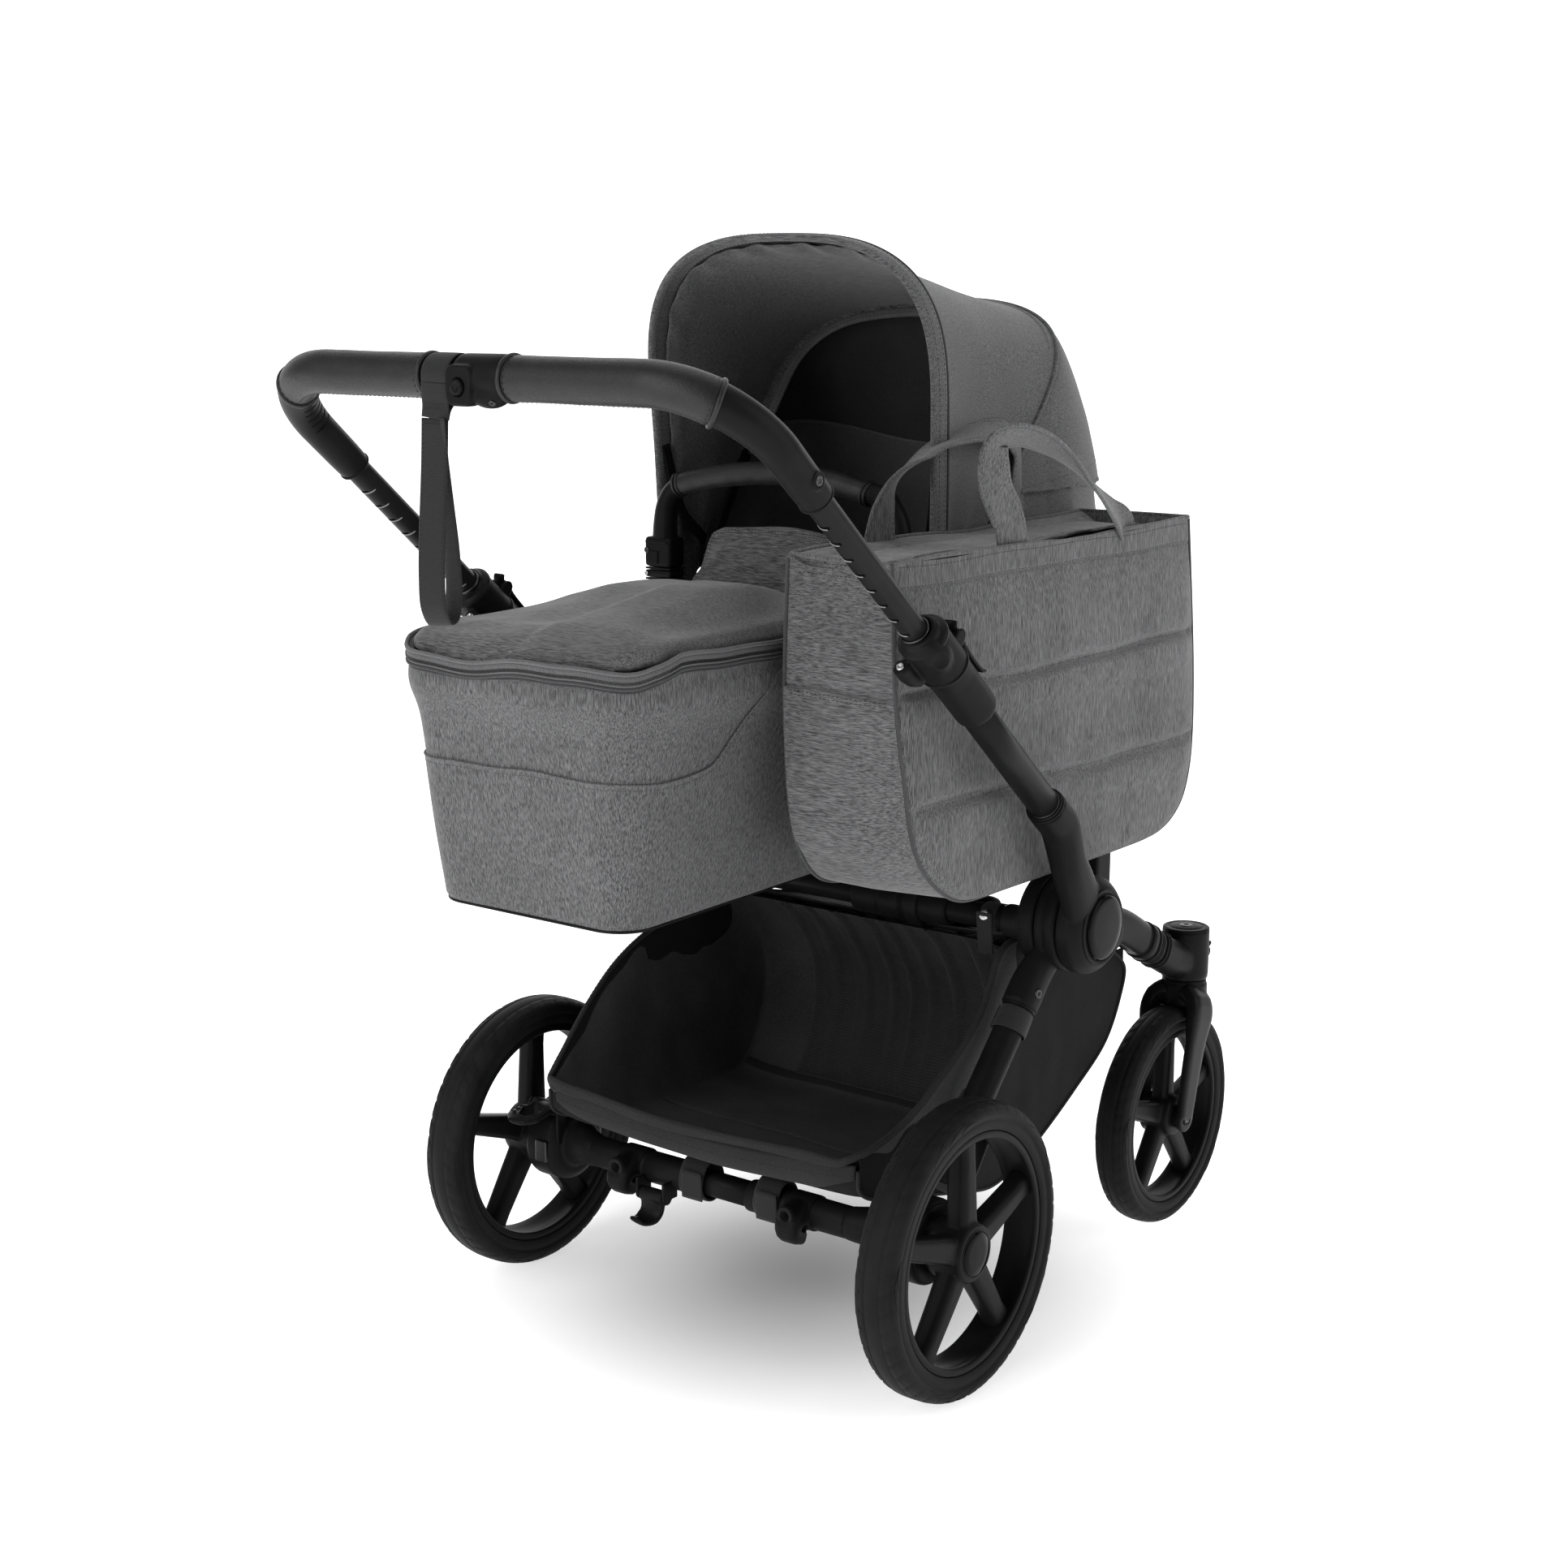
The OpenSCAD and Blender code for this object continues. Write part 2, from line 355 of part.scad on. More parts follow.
module hood_back() color("#55565a") difference() {
  hull() { arch_at(ho[0] + 2.8, ho[1] - 2.8, lean, 336, 392, 1); head_end(rim_z + 1, 4, 50, piv[0] + 30); }
  hull() { arch_at(ho[0] + 2.8, ho[1] - 2.8, lean, 326, 386, 1.4); head_end(rim_z - 6, 16, 44, piv[0] - 40); }
  arch_at(ho[0], ho[1], lean, 324.6, 385.2, 19);
  translate([hood_x, ho[0], ho[1]]) rotate([-lean, 0, 0]) translate([-300, -600 + 3.3, -300]) cube([600, 600, 800]);
  translate([-400, 0, 600]) cube([600, 700, rim_z + 0.6 - 600]);
  translate([cot_x - 200, 0, 700]) cube([400, piv[0] + 34, 130]);
}
module carry_handle() color("#161617") union() {
  for (m = [0, 1]) translate([cot_x, 185, 0]) mirror([m, 0, 0]) { translate([162, 0, 742]) cylinder(h = 101, r = 11.3, $fn = 48);
    translate([123, 0, 843]) rotate([90, 0, 0]) rotate_extrude(angle = 90, $fn = 72) translate([39, 0]) circle(r = 11, $fn = 48); }
  xcyl(cot_x - 123, cot_x + 123, 185, 882, 11.3, 48);
  difference() {
    for (s = [-1, 1]) translate([cot_x + s * 160.5 - 5, 0, 0]) { xcyl(0, 10, 185, 729, 11, 32); translate([0, 174, 729]) cube([10, 22, 22]); translate([s > 0 ? -9 : 0, 174, 742]) cube([19, 22, 42]); }
    xcyl(-300, 150, 185, 729, 4, 32);
  }
}

// ---- bag
bx = 98;
by0 = -58; by1 = 492; bz0 = 487;
module bag_side(g) union() { translate([by0 + g, bz0 + 130]) square([by1 - by0 - 2 * g, bag_h - 130]); translate([by0 + g, bz0 + 95]) square([200, 100]); translate([by0 + 95, bz0 + g]) square([by1 - by0 - 225, 200]);
  translate([by0 + 95, bz0 + 95]) circle(r = 95 - g, $fn = 64); translate([by1 - 130, bz0 + 130]) circle(r = 130 - g, $fn = 64); }
module bag_body() color("#6b6c6e") difference() {
  translate([bx, 0, 0]) rotate([90, 0, 90]) linear_extrude(height = bag_w) bag_side(0);
  translate([bx + 5, 0, 0]) rotate([90, 0, 90]) linear_extrude(height = bag_w - 10) bag_side(5);
  translate([bx + 5, by0 + 5, 795]) cube([bag_w - 10, by1 - by0 - 10, 100]);
}
module bag_strap(x) { pts = [for (i = [0 : 12]) let (a = 180 * i / 12) [x, 240 - 115 * cos(a), 826 + 130 * pow(sin(a), 0.8)]];
  for (i = [0 : 11]) hull() { translate(pts[i]) cube([3, 8, 8], center = true); translate(pts[i + 1]) cube([3, 8, 8], center = true); } }
module bag_handles() color("#6b6c6e") for (x = [bx + 7.2, bx + bag_w - 7.2]) intersection() { union() { bag_strap(x); } translate([0, -100, 760]) cube([400, 700, 400]); }

place() hub_left();
place() hub_right();
place() front_leg_left();
place() front_leg_right();
place() caster_housing_left();
place() caster_housing_right();
place() cross_tubes();
place() cross_sleeves();
place() basket();
place() cot_adapters();
place() bag_post();
place() frame_screws();
place() rear_leg_left();
place() rear_leg_right();
place() axle_bar();
place() axle_drum_left();
place() axle_drum_right();
place() brake_pedal();
place() axle_lock_lever();
place() rear_tyre_left();
place() rear_rim_left();
place() rear_tyre_right();
place() rear_rim_right();
place() caster_fork_left();
place() caster_fork_right();
place() front_tyre_left();
place() front_rim_left();
place() front_tyre_right();
place() front_rim_right();
place() caster_lock_left();
place() caster_lock_right();
place() handle_arm_left();
place() handle_arm_right();
place() outer_tube_left();
place() outer_tube_right();
place() clamp_left();
place() clamp_right();
place() hub_caps();
place() clamp_lever_left();
place() clamp_lever_right();
place() inner_tube_left();
place() inner_tube_right();
place() handle_elbow_left();
place() handle_elbow_right();
place() handlebar_grips();
place() fold_unit();
place() fold_button();
place() wrist_strap();
place() cot_shell();
place() cot_clips();
place() mattress();
place() apron();
place() hood_pivots();
place() hood_rib_rear();
place() hood_back();
place() hood_rib_front();
place() hood_canopy();
place() carry_handle();
place() bag_body();
place() bag_handles();
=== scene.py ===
import json
import math

import bmesh
import bpy
import numpy as np
from mathutils import Matrix, Vector

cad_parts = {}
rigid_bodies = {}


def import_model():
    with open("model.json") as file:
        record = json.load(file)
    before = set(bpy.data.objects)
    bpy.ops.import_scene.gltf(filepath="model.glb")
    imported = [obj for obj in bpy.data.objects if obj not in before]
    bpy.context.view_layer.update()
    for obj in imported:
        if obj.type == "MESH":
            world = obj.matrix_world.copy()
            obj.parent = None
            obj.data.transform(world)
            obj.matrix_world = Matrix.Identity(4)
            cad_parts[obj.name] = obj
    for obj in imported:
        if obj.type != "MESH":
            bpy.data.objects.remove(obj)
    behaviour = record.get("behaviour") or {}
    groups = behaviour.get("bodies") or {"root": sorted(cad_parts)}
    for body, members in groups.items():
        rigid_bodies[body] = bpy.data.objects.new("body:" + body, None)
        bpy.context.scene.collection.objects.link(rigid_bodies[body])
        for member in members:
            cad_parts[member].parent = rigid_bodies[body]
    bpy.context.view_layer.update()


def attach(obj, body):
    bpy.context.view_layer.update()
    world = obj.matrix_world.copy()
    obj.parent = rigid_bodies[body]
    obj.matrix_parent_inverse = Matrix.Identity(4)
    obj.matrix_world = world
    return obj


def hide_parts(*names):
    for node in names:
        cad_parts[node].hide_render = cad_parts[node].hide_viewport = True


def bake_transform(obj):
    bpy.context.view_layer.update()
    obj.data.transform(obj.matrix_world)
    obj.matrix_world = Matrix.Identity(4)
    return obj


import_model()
MY = 146.0  # the row frame's origin lies this far ahead of the rear axle, in mm


def P(x, y, z):
    """Millimetres measured from the rear axle to metres in the row frame."""
    return Vector((x / 1000.0, (y - MY) / 1000.0, z / 1000.0))


def PA(a):
    a = np.asarray(a, float).reshape(-1, 3)
    return np.stack([a[:, 0], a[:, 1] - MY, a[:, 2]], 1) / 1000.0


def rng(seed):
    return np.random.RandomState(seed)


# ------------------------------------------------------------------ meshes
def mesh_from(name, verts, faces, mm=True):
    me = bpy.data.meshes.new(name)
    v = PA(verts) if mm else np.asarray(verts, float)
    me.from_pydata([tuple(p) for p in v], [], [tuple(int(i) for i in f) for f in faces])
    me.update()
    return me


def obj_from(name, verts, faces, mm=True, smooth=True):
    me = mesh_from(name, verts, faces, mm)
    ob = bpy.data.objects.new(name, me)
    bpy.context.scene.collection.objects.link(ob)
    if smooth:
        me.polygons.foreach_set("use_smooth", [True] * len(me.polygons))
    return ob


def grid_faces(nu, nv, wrap_u=False, wrap_v=False, off=0):
    f = []
    for i in range(nu if wrap_u else nu - 1):
        for j in range(nv if wrap_v else nv - 1):
            a = i * nv + j
            b = ((i + 1) % nu) * nv + j
            c = ((i + 1) % nu) * nv + (j + 1) % nv
            d = i * nv + (j + 1) % nv
            f.append((off + a, off + b, off + c, off + d))
    return f


def fix_normals(ob):
    bm = bmesh.new()
    bm.from_mesh(ob.data)
    bmesh.ops.remove_doubles(bm, verts=bm.verts, dist=1e-6)
    bmesh.ops.recalc_face_normals(bm, faces=bm.faces)
    bm.to_mesh(ob.data)
    bm.free()
    return ob


def apply_mods(ob):
    """Bakes the object's modifiers into its mesh."""
    dg = bpy.context.evaluated_depsgraph_get()
    dg.update()
    me = bpy.data.meshes.new_from_object(ob.evaluated_get(dg), depsgraph=dg)
    ob.modifiers.clear()
    old = ob.data
    mats = [m for m in old.materials]
    ob.data = me
    if not me.materials:
        for m in mats:
            me.materials.append(m)
    bpy.data.meshes.remove(old)
    me.polygons.foreach_set("use_smooth", [True] * len(me.polygons))
    return ob


def join(name, obs):
    """Joins meshes into one object, keeping their materials."""
    obs = [o for o in obs if o is not None]
    bpy.ops.object.select_all(action="DESELECT")
    for o in obs:
        o.select_set(True)
    bpy.context.view_layer.objects.active = obs[0]
    if len(obs) > 1:
        bpy.ops.object.join()
    ob = bpy.context.view_layer.objects.active
    ob.name = name
    ob.data.name = name
    return ob


def set_mat(ob, mat):
    ob.data.materials.clear()
    ob.data.materials.append(mat)
    return ob


def flip_copy(ob, name):
    """A mirrored copy across the middle plane."""
    me = ob.data.copy()
    n = bpy.data.objects.new(name, me)
    bpy.context.scene.collection.objects.link(n)
    me.transform(Matrix.Scale(-1, 4, (1, 0, 0)))
    me.flip_normals()
    me.update()
    return n


def shift_copy(ob, name, dx, dy, dz):
    me = ob.data.copy()
    n = bpy.data.objects.new(name, me)
    bpy.context.scene.collection.objects.link(n)
    me.transform(Matrix.Translation((dx / 1000, dy / 1000, dz / 1000)))
    return n


def frames(path, closed=False, up=(0, 0, 1)):
    """Tangents, and two cross directions carried along the path without twist."""
    p = np.asarray(path, float)
    n = len(p)
    if closed:
        t = np.roll(p, -1, 0) - np.roll(p, 1, 0)
    else:
        t = np.gradient(p, axis=0)
    t /= np.linalg.norm(t, axis=1)[:, None] + 1e-12
    a = np.zeros((n, 3))
    u = np.array(up, float)
    u = u - t[0] * (u @ t[0])
    if np.linalg.norm(u) < 1e-3:
        u = np.array([1.0, 0, 0]) - t[0] * t[0][0]
    a[0] = u / np.linalg.norm(u)
    for i in range(1, n):
        v = a[i - 1] - t[i] * (a[i - 1] @ t[i])
        a[i] = v / (np.linalg.norm(v) + 1e-12)
    b = np.cross(t, a)
    return t, a, b


def smooth_path(pts, n, closed=False):
    """Catmull-Rom through the points, resampled at equal steps."""
    p = np.asarray(pts, float)
    m = len(p)
    out = []
    segs = m if closed else m - 1
    for i in range(segs):
        p0 = p[(i - 1) % m] if (closed or i > 0) else 2 * p[0] - p[1]
        p1 = p[i % m]
        p2 = p[(i + 1) % m]
        p3 = p[(i + 2) % m] if (closed or i + 2 < m) else 2 * p[-1] - p[-2]
        # centripetal knots keep the curve from overshooting
        d1 = max(np.linalg.norm(p1 - p0) ** 0.5, 1e-4)
        d2 = max(np.linalg.norm(p2 - p1) ** 0.5, 1e-4)
        d3 = max(np.linalg.norm(p3 - p2) ** 0.5, 1e-4)
        m1 = (p1 - p0) / d1 - (p2 - p0) / (d1 + d2) + (p2 - p1) / d2
        m2 = (p2 - p1) / d2 - (p3 - p1) / (d2 + d3) + (p3 - p2) / d3
        m1 *= d2
        m2 *= d2
        for s in np.linspace(0, 1, 24, endpoint=False):
            h1 = 2 * s**3 - 3 * s**2 + 1
            h2 = s**3 - 2 * s**2 + s
            h3 = -2 * s**3 + 3 * s**2
            h4 = s**3 - s**2
            out.append(h1 * p1 + h2 * m1 + h3 * p2 + h4 * m2)
    if not closed:
        out.append(p[-1])
    out = np.array(out)
    return resample(out, n, closed)


def resample(pts, n, closed=False):
    p = np.asarray(pts, float)
    if closed:
        p = np.vstack([p, p[:1]])
    d = np.r_[0, np.cumsum(np.linalg.norm(np.diff(p, axis=0), axis=1))]
    s = np.linspace(0, d[-1], n + 1)[:-1] if closed else np.linspace(0, d[-1], n)
    return np.stack([np.interp(s, d, p[:, k]) for k in range(p.shape[1])], 1)


def tube(name, path, r, nseg=24, closed=False, up=(0, 0, 1), prof=None, caps=True, smooth=True):
    """A tube along a path (mm). r is a number, a list per point, or (ra, rb) half sizes; prof gives a unit outline."""
    p = np.asarray(path, float)
    n = len(p)
    t, a, b = frames(p, closed, up)
    if prof is None:
        ang = np.linspace(0, 2 * np.pi, nseg, endpoint=False)
        prof = np.stack([np.cos(ang), np.sin(ang)], 1)
    prof = np.asarray(prof, float)
    k = len(prof)
    r = np.asarray(r, float)
    if r.ndim == 0:
        r = np.full((n, 2), float(r))
    elif r.ndim == 1 and len(r) == n and n != 2:
        r = np.stack([r, r], 1)
    elif r.ndim == 1 and len(r) == 2:
        r = np.tile(r, (n, 1))
    v = (
        p[:, None, :]
        + a[:, None, :] * (prof[None, :, :1] * r[:, None, :1])
        + b[:, None, :] * (prof[None, :, 1:] * r[:, None, 1:])
    ).reshape(-1, 3)
    f = grid_faces(n, k, closed, True)
    if caps and not closed:
        v = np.vstack([v, p[0], p[-1]])
        c0, c1 = n * k, n * k + 1
        for j in range(k):
            f.append((c0, (j + 1) % k, j))
            f.append((c1, (n - 1) * k + j, (n - 1) * k + (j + 1) % k))
    return fix_normals(obj_from(name, v, f, smooth=smooth))


def rounded_prof(w, h, r, n=5):
    """Outline of a rounded rectangle with half sizes w and h."""
    out = []
    r = min(r, w, h)
    for cx, cy, a0 in ((w - r, h - r, 0), (-(w - r), h - r, 90), (-(w - r), -(h - r), 180), (w - r, -(h - r), 270)):
        for i in range(n + 1):
            a = math.radians(a0 + 90 * i / n)
            out.append((cx + r * math.cos(a), cy + r * math.sin(a)))
    return np.array(out)


def lathe(name, prof, centre, axis="x", nseg=96, caps=False):
    """Turns a closed or open outline of (along, radius) about an axis through centre (mm)."""
    prof = np.asarray(prof, float)
    ang = np.linspace(0, 2 * np.pi, nseg, endpoint=False)
    k = len(prof)
    v = np.zeros((nseg, k, 3))
    ca, sa = np.cos(ang)[:, None], np.sin(ang)[:, None]
    if axis == "x":
        v[..., 0] = prof[None, :, 0]
        v[..., 1] = prof[None, :, 1] * ca
        v[..., 2] = prof[None, :, 1] * sa
    elif axis == "z":
        v[..., 2] = prof[None, :, 0]
        v[..., 0] = prof[None, :, 1] * ca
        v[..., 1] = prof[None, :, 1] * sa
    else:
        v[..., 1] = prof[None, :, 0]
        v[..., 0] = prof[None, :, 1] * sa
        v[..., 2] = prof[None, :, 1] * ca
    v += np.asarray(centre, float)
    return fix_normals(obj_from(name, v.reshape(-1, 3), grid_faces(nseg, k, True, caps)))


def box_mesh(name, lo, hi, bevel=0.0, seg=3, rot=None, pivot=None):
    lo, hi = np.asarray(lo, float), np.asarray(hi, float)
    bm = bmesh.new()
    bmesh.ops.create_cube(bm, size=1.0)
    for v in bm.verts:
        v.co = Vector([(lo[i] + hi[i]) / 2 + v.co[i] * (hi[i] - lo[i]) for i in range(3)])
    if bevel > 0:
        bmesh.ops.bevel(bm, geom=bm.edges[:], offset=bevel, segments=seg, profile=0.6, affect="EDGES")
    if rot is not None:
        pv = Vector(pivot if pivot is not None else (lo + hi) / 2)
        m = Matrix.Translation(pv) @ rot.to_4x4() @ Matrix.Translation(-pv)
        bmesh.ops.transform(bm, matrix=m, verts=bm.verts)
    for v in bm.verts:
        v.co = Vector((v.co.x, v.co.y - MY, v.co.z)) / 1000.0
    me = bpy.data.meshes.new(name)
    bm.to_mesh(me)
    bm.free()
    ob = bpy.data.objects.new(name, me)
    bpy.context.scene.collection.objects.link(ob)
    return ob


def cyl(name, p, q, r, nseg=48, r2=None, bevel=0.0):
    """A solid rod between two points, with softened rims."""
    p, q = np.asarray(p, float), np.asarray(q, float)
    r2 = r if r2 is None else r2
    l = np.linalg.norm(q - p)
    b = min(bevel, l / 2.2, r * 0.9)
    if b > 0:
        s = [0, 0, b * 0.3, b, l - b, l - b * 0.3, l, l]
        rr = [0.001, r - b, r - b * 0.3, r, r2, r2 - b * 0.3, r2 - b, 0.001]
    else:
        s = [0, 0, l, l]
        rr = [0.001, r, r2, 0.001]
    d = (q - p) / l
    up = np.array([0, 0, 1.0]) if abs(d[2]) < 0.9 else np.array([1.0, 0, 0])
    a = np.cross(d, up)
    a /= np.linalg.norm(a)
    c = np.cross(d, a)
    ang = np.linspace(0, 2 * np.pi, nseg, endpoint=False)
    v = []
    for si, ri in zip(s, rr):
        v.append(p + d * si + ri * (np.cos(ang)[:, None] * a + np.sin(ang)[:, None] * c))
    return fix_normals(obj_from(name, np.vstack(v), grid_faces(len(s), nseg, False, True)))


def cast(name, parts, voxel=2.0, iters=6, factor=0.5, cuts=(), edge=0.0):
    """A moulded casting: the parts run together with soft fillets. cuts are taken away after the softening."""
    ob = join(name, parts)
    m = ob.modifiers.new("r", "REMESH")
    m.mode = "VOXEL"
    m.voxel_size = voxel / 1000.0
    m.adaptivity = 0.0
    if iters:
        s = ob.modifiers.new("s", "SMOOTH")
        s.factor = factor
        s.iterations = iters
    apply_mods(ob)
    for c in cuts:
        b = ob.modifiers.new("b", "BOOLEAN")
        b.operation = "DIFFERENCE"
        b.solver = "EXACT"
        b.object = c
        apply_mods(ob)
        bpy.data.objects.remove(c)
    return ob


def mesh_np(ob):
    n = len(ob.data.vertices)
    co = np.empty(n * 3)
    ob.data.vertices.foreach_get("co", co)
    return co.reshape(-1, 3)


def set_np(ob, co):
    ob.data.vertices.foreach_set("co", np.asarray(co, float).ravel())
    ob.data.update()


def subdivide(ob, levels=1, simple=False):
    s = ob.modifiers.new("s", "SUBSURF")
    s.levels = levels
    s.render_levels = levels
    if simple:
        s.subdivision_type = "SIMPLE"
    return apply_mods(ob)


def solidify(ob, mm, offset=-1.0):
    s = ob.modifiers.new("s", "SOLIDIFY")
    s.thickness = mm / 1000.0
    s.offset = offset
    s.use_even_offset = False
    s.use_quality_normals = True
    return apply_mods(ob)


def value_noise(p, scale, seed=0):
    """Smooth noise in -1..1 at points p (mm) with features about scale mm wide."""
    q = np.asarray(p, float) / scale + 1000.0
    i = np.floor(q).astype(np.int64)
    f = q - i
    f = f * f * (3 - 2 * f)
    out = np.zeros(len(q))
    for dx in (0, 1):
        for dy in (0, 1):
            for dz in (0, 1):
                h = (i[:, 0] + dx) * 73856093 ^ (i[:, 1] + dy) * 19349663 ^ (i[:, 2] + dz) * 83492791 ^ (seed * 2654435761)
                h = (h ^ (h >> 13)) * 1274126177 & 0x7FFFFFFF
                r = (h % 100003) / 50001.5 - 1.0
                w = (f[:, 0] if dx else 1 - f[:, 0]) * (f[:, 1] if dy else 1 - f[:, 1]) * (f[:, 2] if dz else 1 - f[:, 2])
                out += r * w
    return out


def stitches(name, path, normal, length=3.6, gap=1.9, width=0.9, height=0.55, lift=0.0, mat=None):
    """A run of real thread stitches along a path (mm); normal is a direction per point, or one direction."""
    p = np.asarray(path, float)
    d = np.r_[0, np.cumsum(np.linalg.norm(np.diff(p, axis=0), axis=1))]
    nn = np.asarray(normal, float)
    if nn.ndim == 1:
        nn = np.tile(nn, (len(p), 1))
    pitch = length + gap
    cnt = int(d[-1] // pitch)
    if cnt < 1:
        return None
    s0 = (d[-1] - cnt * pitch) / 2 + gap / 2
    V, F = [], []
    sec = [(-1.0, 0.0), (-0.6, 0.8), (0.6, 0.8), (1.0, 0.0)]
    for i in range(cnt):
        a = s0 + i * pitch
        ss = np.array([a, a + length * 0.18, a + length * 0.5, a + length * 0.82, a + length])
        hh = [0.0, 0.75, 1.0, 0.75, 0.0]
        ww = [0.35, 0.9, 1.0, 0.9, 0.35]
        q = np.stack([np.interp(ss, d, p[:, k]) for k in range(3)], 1)
        m = np.stack([np.interp(ss, d, nn[:, k]) for k in range(3)], 1)
        m /= np.linalg.norm(m, axis=1)[:, None]
        t = q[-1] - q[0]
        t /= np.linalg.norm(t) + 1e-9
        side = np.cross(t, m)
        side /= np.linalg.norm(side, axis=1)[:, None]
        base = len(V)
        for k in range(5):
            for sx, sh in sec:
                V.append(q[k] + side[k] * (sx * width / 2 * ww[k]) + m[k] * (lift + height * (sh * hh[k]) - 0.12))
        for k in range(4):
            for j in range(3):
                F.append((base + k * 4 + j, base + (k + 1) * 4 + j, base + (k + 1) * 4 + j + 1, base + k * 4 + j + 1))
    ob = obj_from(name, np.array(V), F)
    if mat is not None:
        set_mat(ob, mat)
    return ob


done = []


def keep(ob, body, mat=None, replaces=()):
    """Settles a finished piece on its body."""
    if mat is not None:
        set_mat(ob, mat)
    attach(ob, body)
    if replaces:
        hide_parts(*replaces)
    done.append(ob)
    return ob


# ------------------------------------------------------------------ materials
class NT:
    """A short way to build a node tree."""

    def __init__(self, name):
        self.m = bpy.data.materials.new(name)
        self.m.use_nodes = True
        self.t = self.m.node_tree
        self.b = self.t.nodes["Principled BSDF"]
        self.co = self.t.nodes.new("ShaderNodeTexCoord")

    def node(self, kind, **k):
        n = self.t.nodes.new(kind)
        for a, v in k.items():
            setattr(n, a, v)
        return n

    def link(self, a, b):
        self.t.links.new(a, b)

    def mapped(self, scale, rot=(0, 0, 0), loc=(0, 0, 0)):
        n = self.node("ShaderNodeMapping")
        n.inputs["Scale"].default_value = scale
        n.inputs["Rotation"].default_value = rot
        n.inputs["Location"].default_value = loc
        self.link(self.co.outputs["Object"], n.inputs["Vector"])
        return n.outputs[0]

    def noise(self, vec, scale=1.0, detail=2.0, rough=0.5, dist=0.0):
        n = self.node("ShaderNodeTexNoise")
        n.inputs["Scale"].default_value = scale
        n.inputs["Detail"].default_value = detail
        n.inputs["Roughness"].default_value = rough
        n.inputs["Distortion"].default_value = dist
        self.link(vec, n.inputs["Vector"])
        return n.outputs["Fac"] if "Fac" in n.outputs else n.outputs[0]

    def voronoi(self, vec, scale=1.0, feature="F1", rand=1.0):
        n = self.node("ShaderNodeTexVoronoi")
        n.feature = feature
        n.inputs["Scale"].default_value = scale
        if "Randomness" in n.inputs:
            n.inputs["Randomness"].default_value = rand
        self.link(vec, n.inputs["Vector"])
        return n.outputs["Distance"]

    def wave(self, vec, scale, axis="X", dist=0.0):
        n = self.node("ShaderNodeTexWave")
        n.wave_type = "BANDS"
        n.bands_direction = axis
        n.wave_profile = "SIN"
        n.inputs["Scale"].default_value = scale
        n.inputs["Distortion"].default_value = dist
        n.inputs["Detail"].default_value = 0.0
        self.link(vec, n.inputs["Vector"])
        return n.outputs["Fac"] if "Fac" in n.outputs else n.outputs[1]

    def math(self, op, a, b=None, clamp=False):
        n = self.node("ShaderNodeMath")
        n.operation = op
        n.use_clamp = clamp
        for i, v in enumerate((a, b)):
            if v is None:
                continue
            if isinstance(v, (int, float)):
                n.inputs[i].default_value = v
            else:
                self.link(v, n.inputs[i])
        return n.outputs[0]

    def ramp(self, fac, stops):
        n = self.node("ShaderNodeValToRGB")
        while len(n.color_ramp.elements) < len(stops):
            n.color_ramp.elements.new(0.5)
        for e, (p, c) in zip(n.color_ramp.elements, stops):
            e.position = p
            c = (c, c, c) if isinstance(c, (int, float)) else c
            e.color = (c[0], c[1], c[2], 1)
        self.link(fac, n.inputs["Fac"])
        return n.outputs["Color"]

    def bump(self, height, strength=0.3, dist=0.0005, after=None):
        n = self.node("ShaderNodeBump")
        n.inputs["Strength"].default_value = strength
        n.inputs["Distance"].default_value = dist
        self.link(height, n.inputs["Height"])
        if after is not None:
            self.link(after, n.inputs["Normal"])
        return n.outputs["Normal"]

    def setv(self, **k):
        for a, v in k.items():
            self.b.inputs[a.replace("_", " ")].default_value = v


def melange(name, dark, light, axis="z", sheen=0.25, rough=0.92, contrast=1.0):
    """Two-tone yarn: short light and dark runs along one direction over a plain weave."""
    m = NT(name)
    long_, fine = 85.0, 1050.0
    sc = {"z": (fine, fine, long_), "x": (long_, fine, fine), "y": (fine, long_, fine)}[axis]
    f1 = m.noise(m.mapped(sc), 1.0, 3.0, 0.62)
    sc2 = tuple(s * 0.6 for s in sc)
    f2 = m.noise(m.mapped(sc2, loc=(3.1, 7.7, 1.3)), 1.0, 2.0, 0.5)
    big = m.noise(m.mapped((9, 9, 9)), 1.0, 2.0, 0.5)
    a = m.math("MULTIPLY", f1, 0.74)
    b = m.math("MULTIPLY_ADD", f2, 0.26)
    m.t.links.new(a, b.node.inputs[2])
    s = b
    c = m.ramp(s, [(0.37, dark), (0.47, tuple(d * 0.5 + l * 0.5 for d, l in zip(dark, light))), (0.56, light), (0.68, tuple(min(1, l * 1.4 * contrast) for l in light))])
    mix = m.node("ShaderNodeMix")
    mix.data_type = "RGBA"
    mix.blend_type = "MULTIPLY"
    mix.inputs[0].default_value = 1.0
    tone = m.ramp(big, [(0.3, 0.90), (0.7, 1.06)])
    m.link(c, mix.inputs[6])
    m.link(tone, mix.inputs[7])
    m.link(mix.outputs[2], m.b.inputs["Base Color"])
    w1 = m.noise(m.mapped((fine * 1.3, fine * 1.3, fine * 1.3)), 1.0, 2.0, 0.6)
    h = m.math("ADD", m.math("MULTIPLY", f1, 0.7), m.math("MULTIPLY", w1, 0.5))
    n1 = m.bump(big, 0.12, 0.004)
    n = m.bump(h, 0.38, 0.0006, n1)
    m.link(n, m.b.inputs["Normal"])
    m.setv(Roughness=rough, Sheen_Weight=sheen, Sheen_Roughness=0.45, Specular_IOR_Level=0.18)
    return m.m


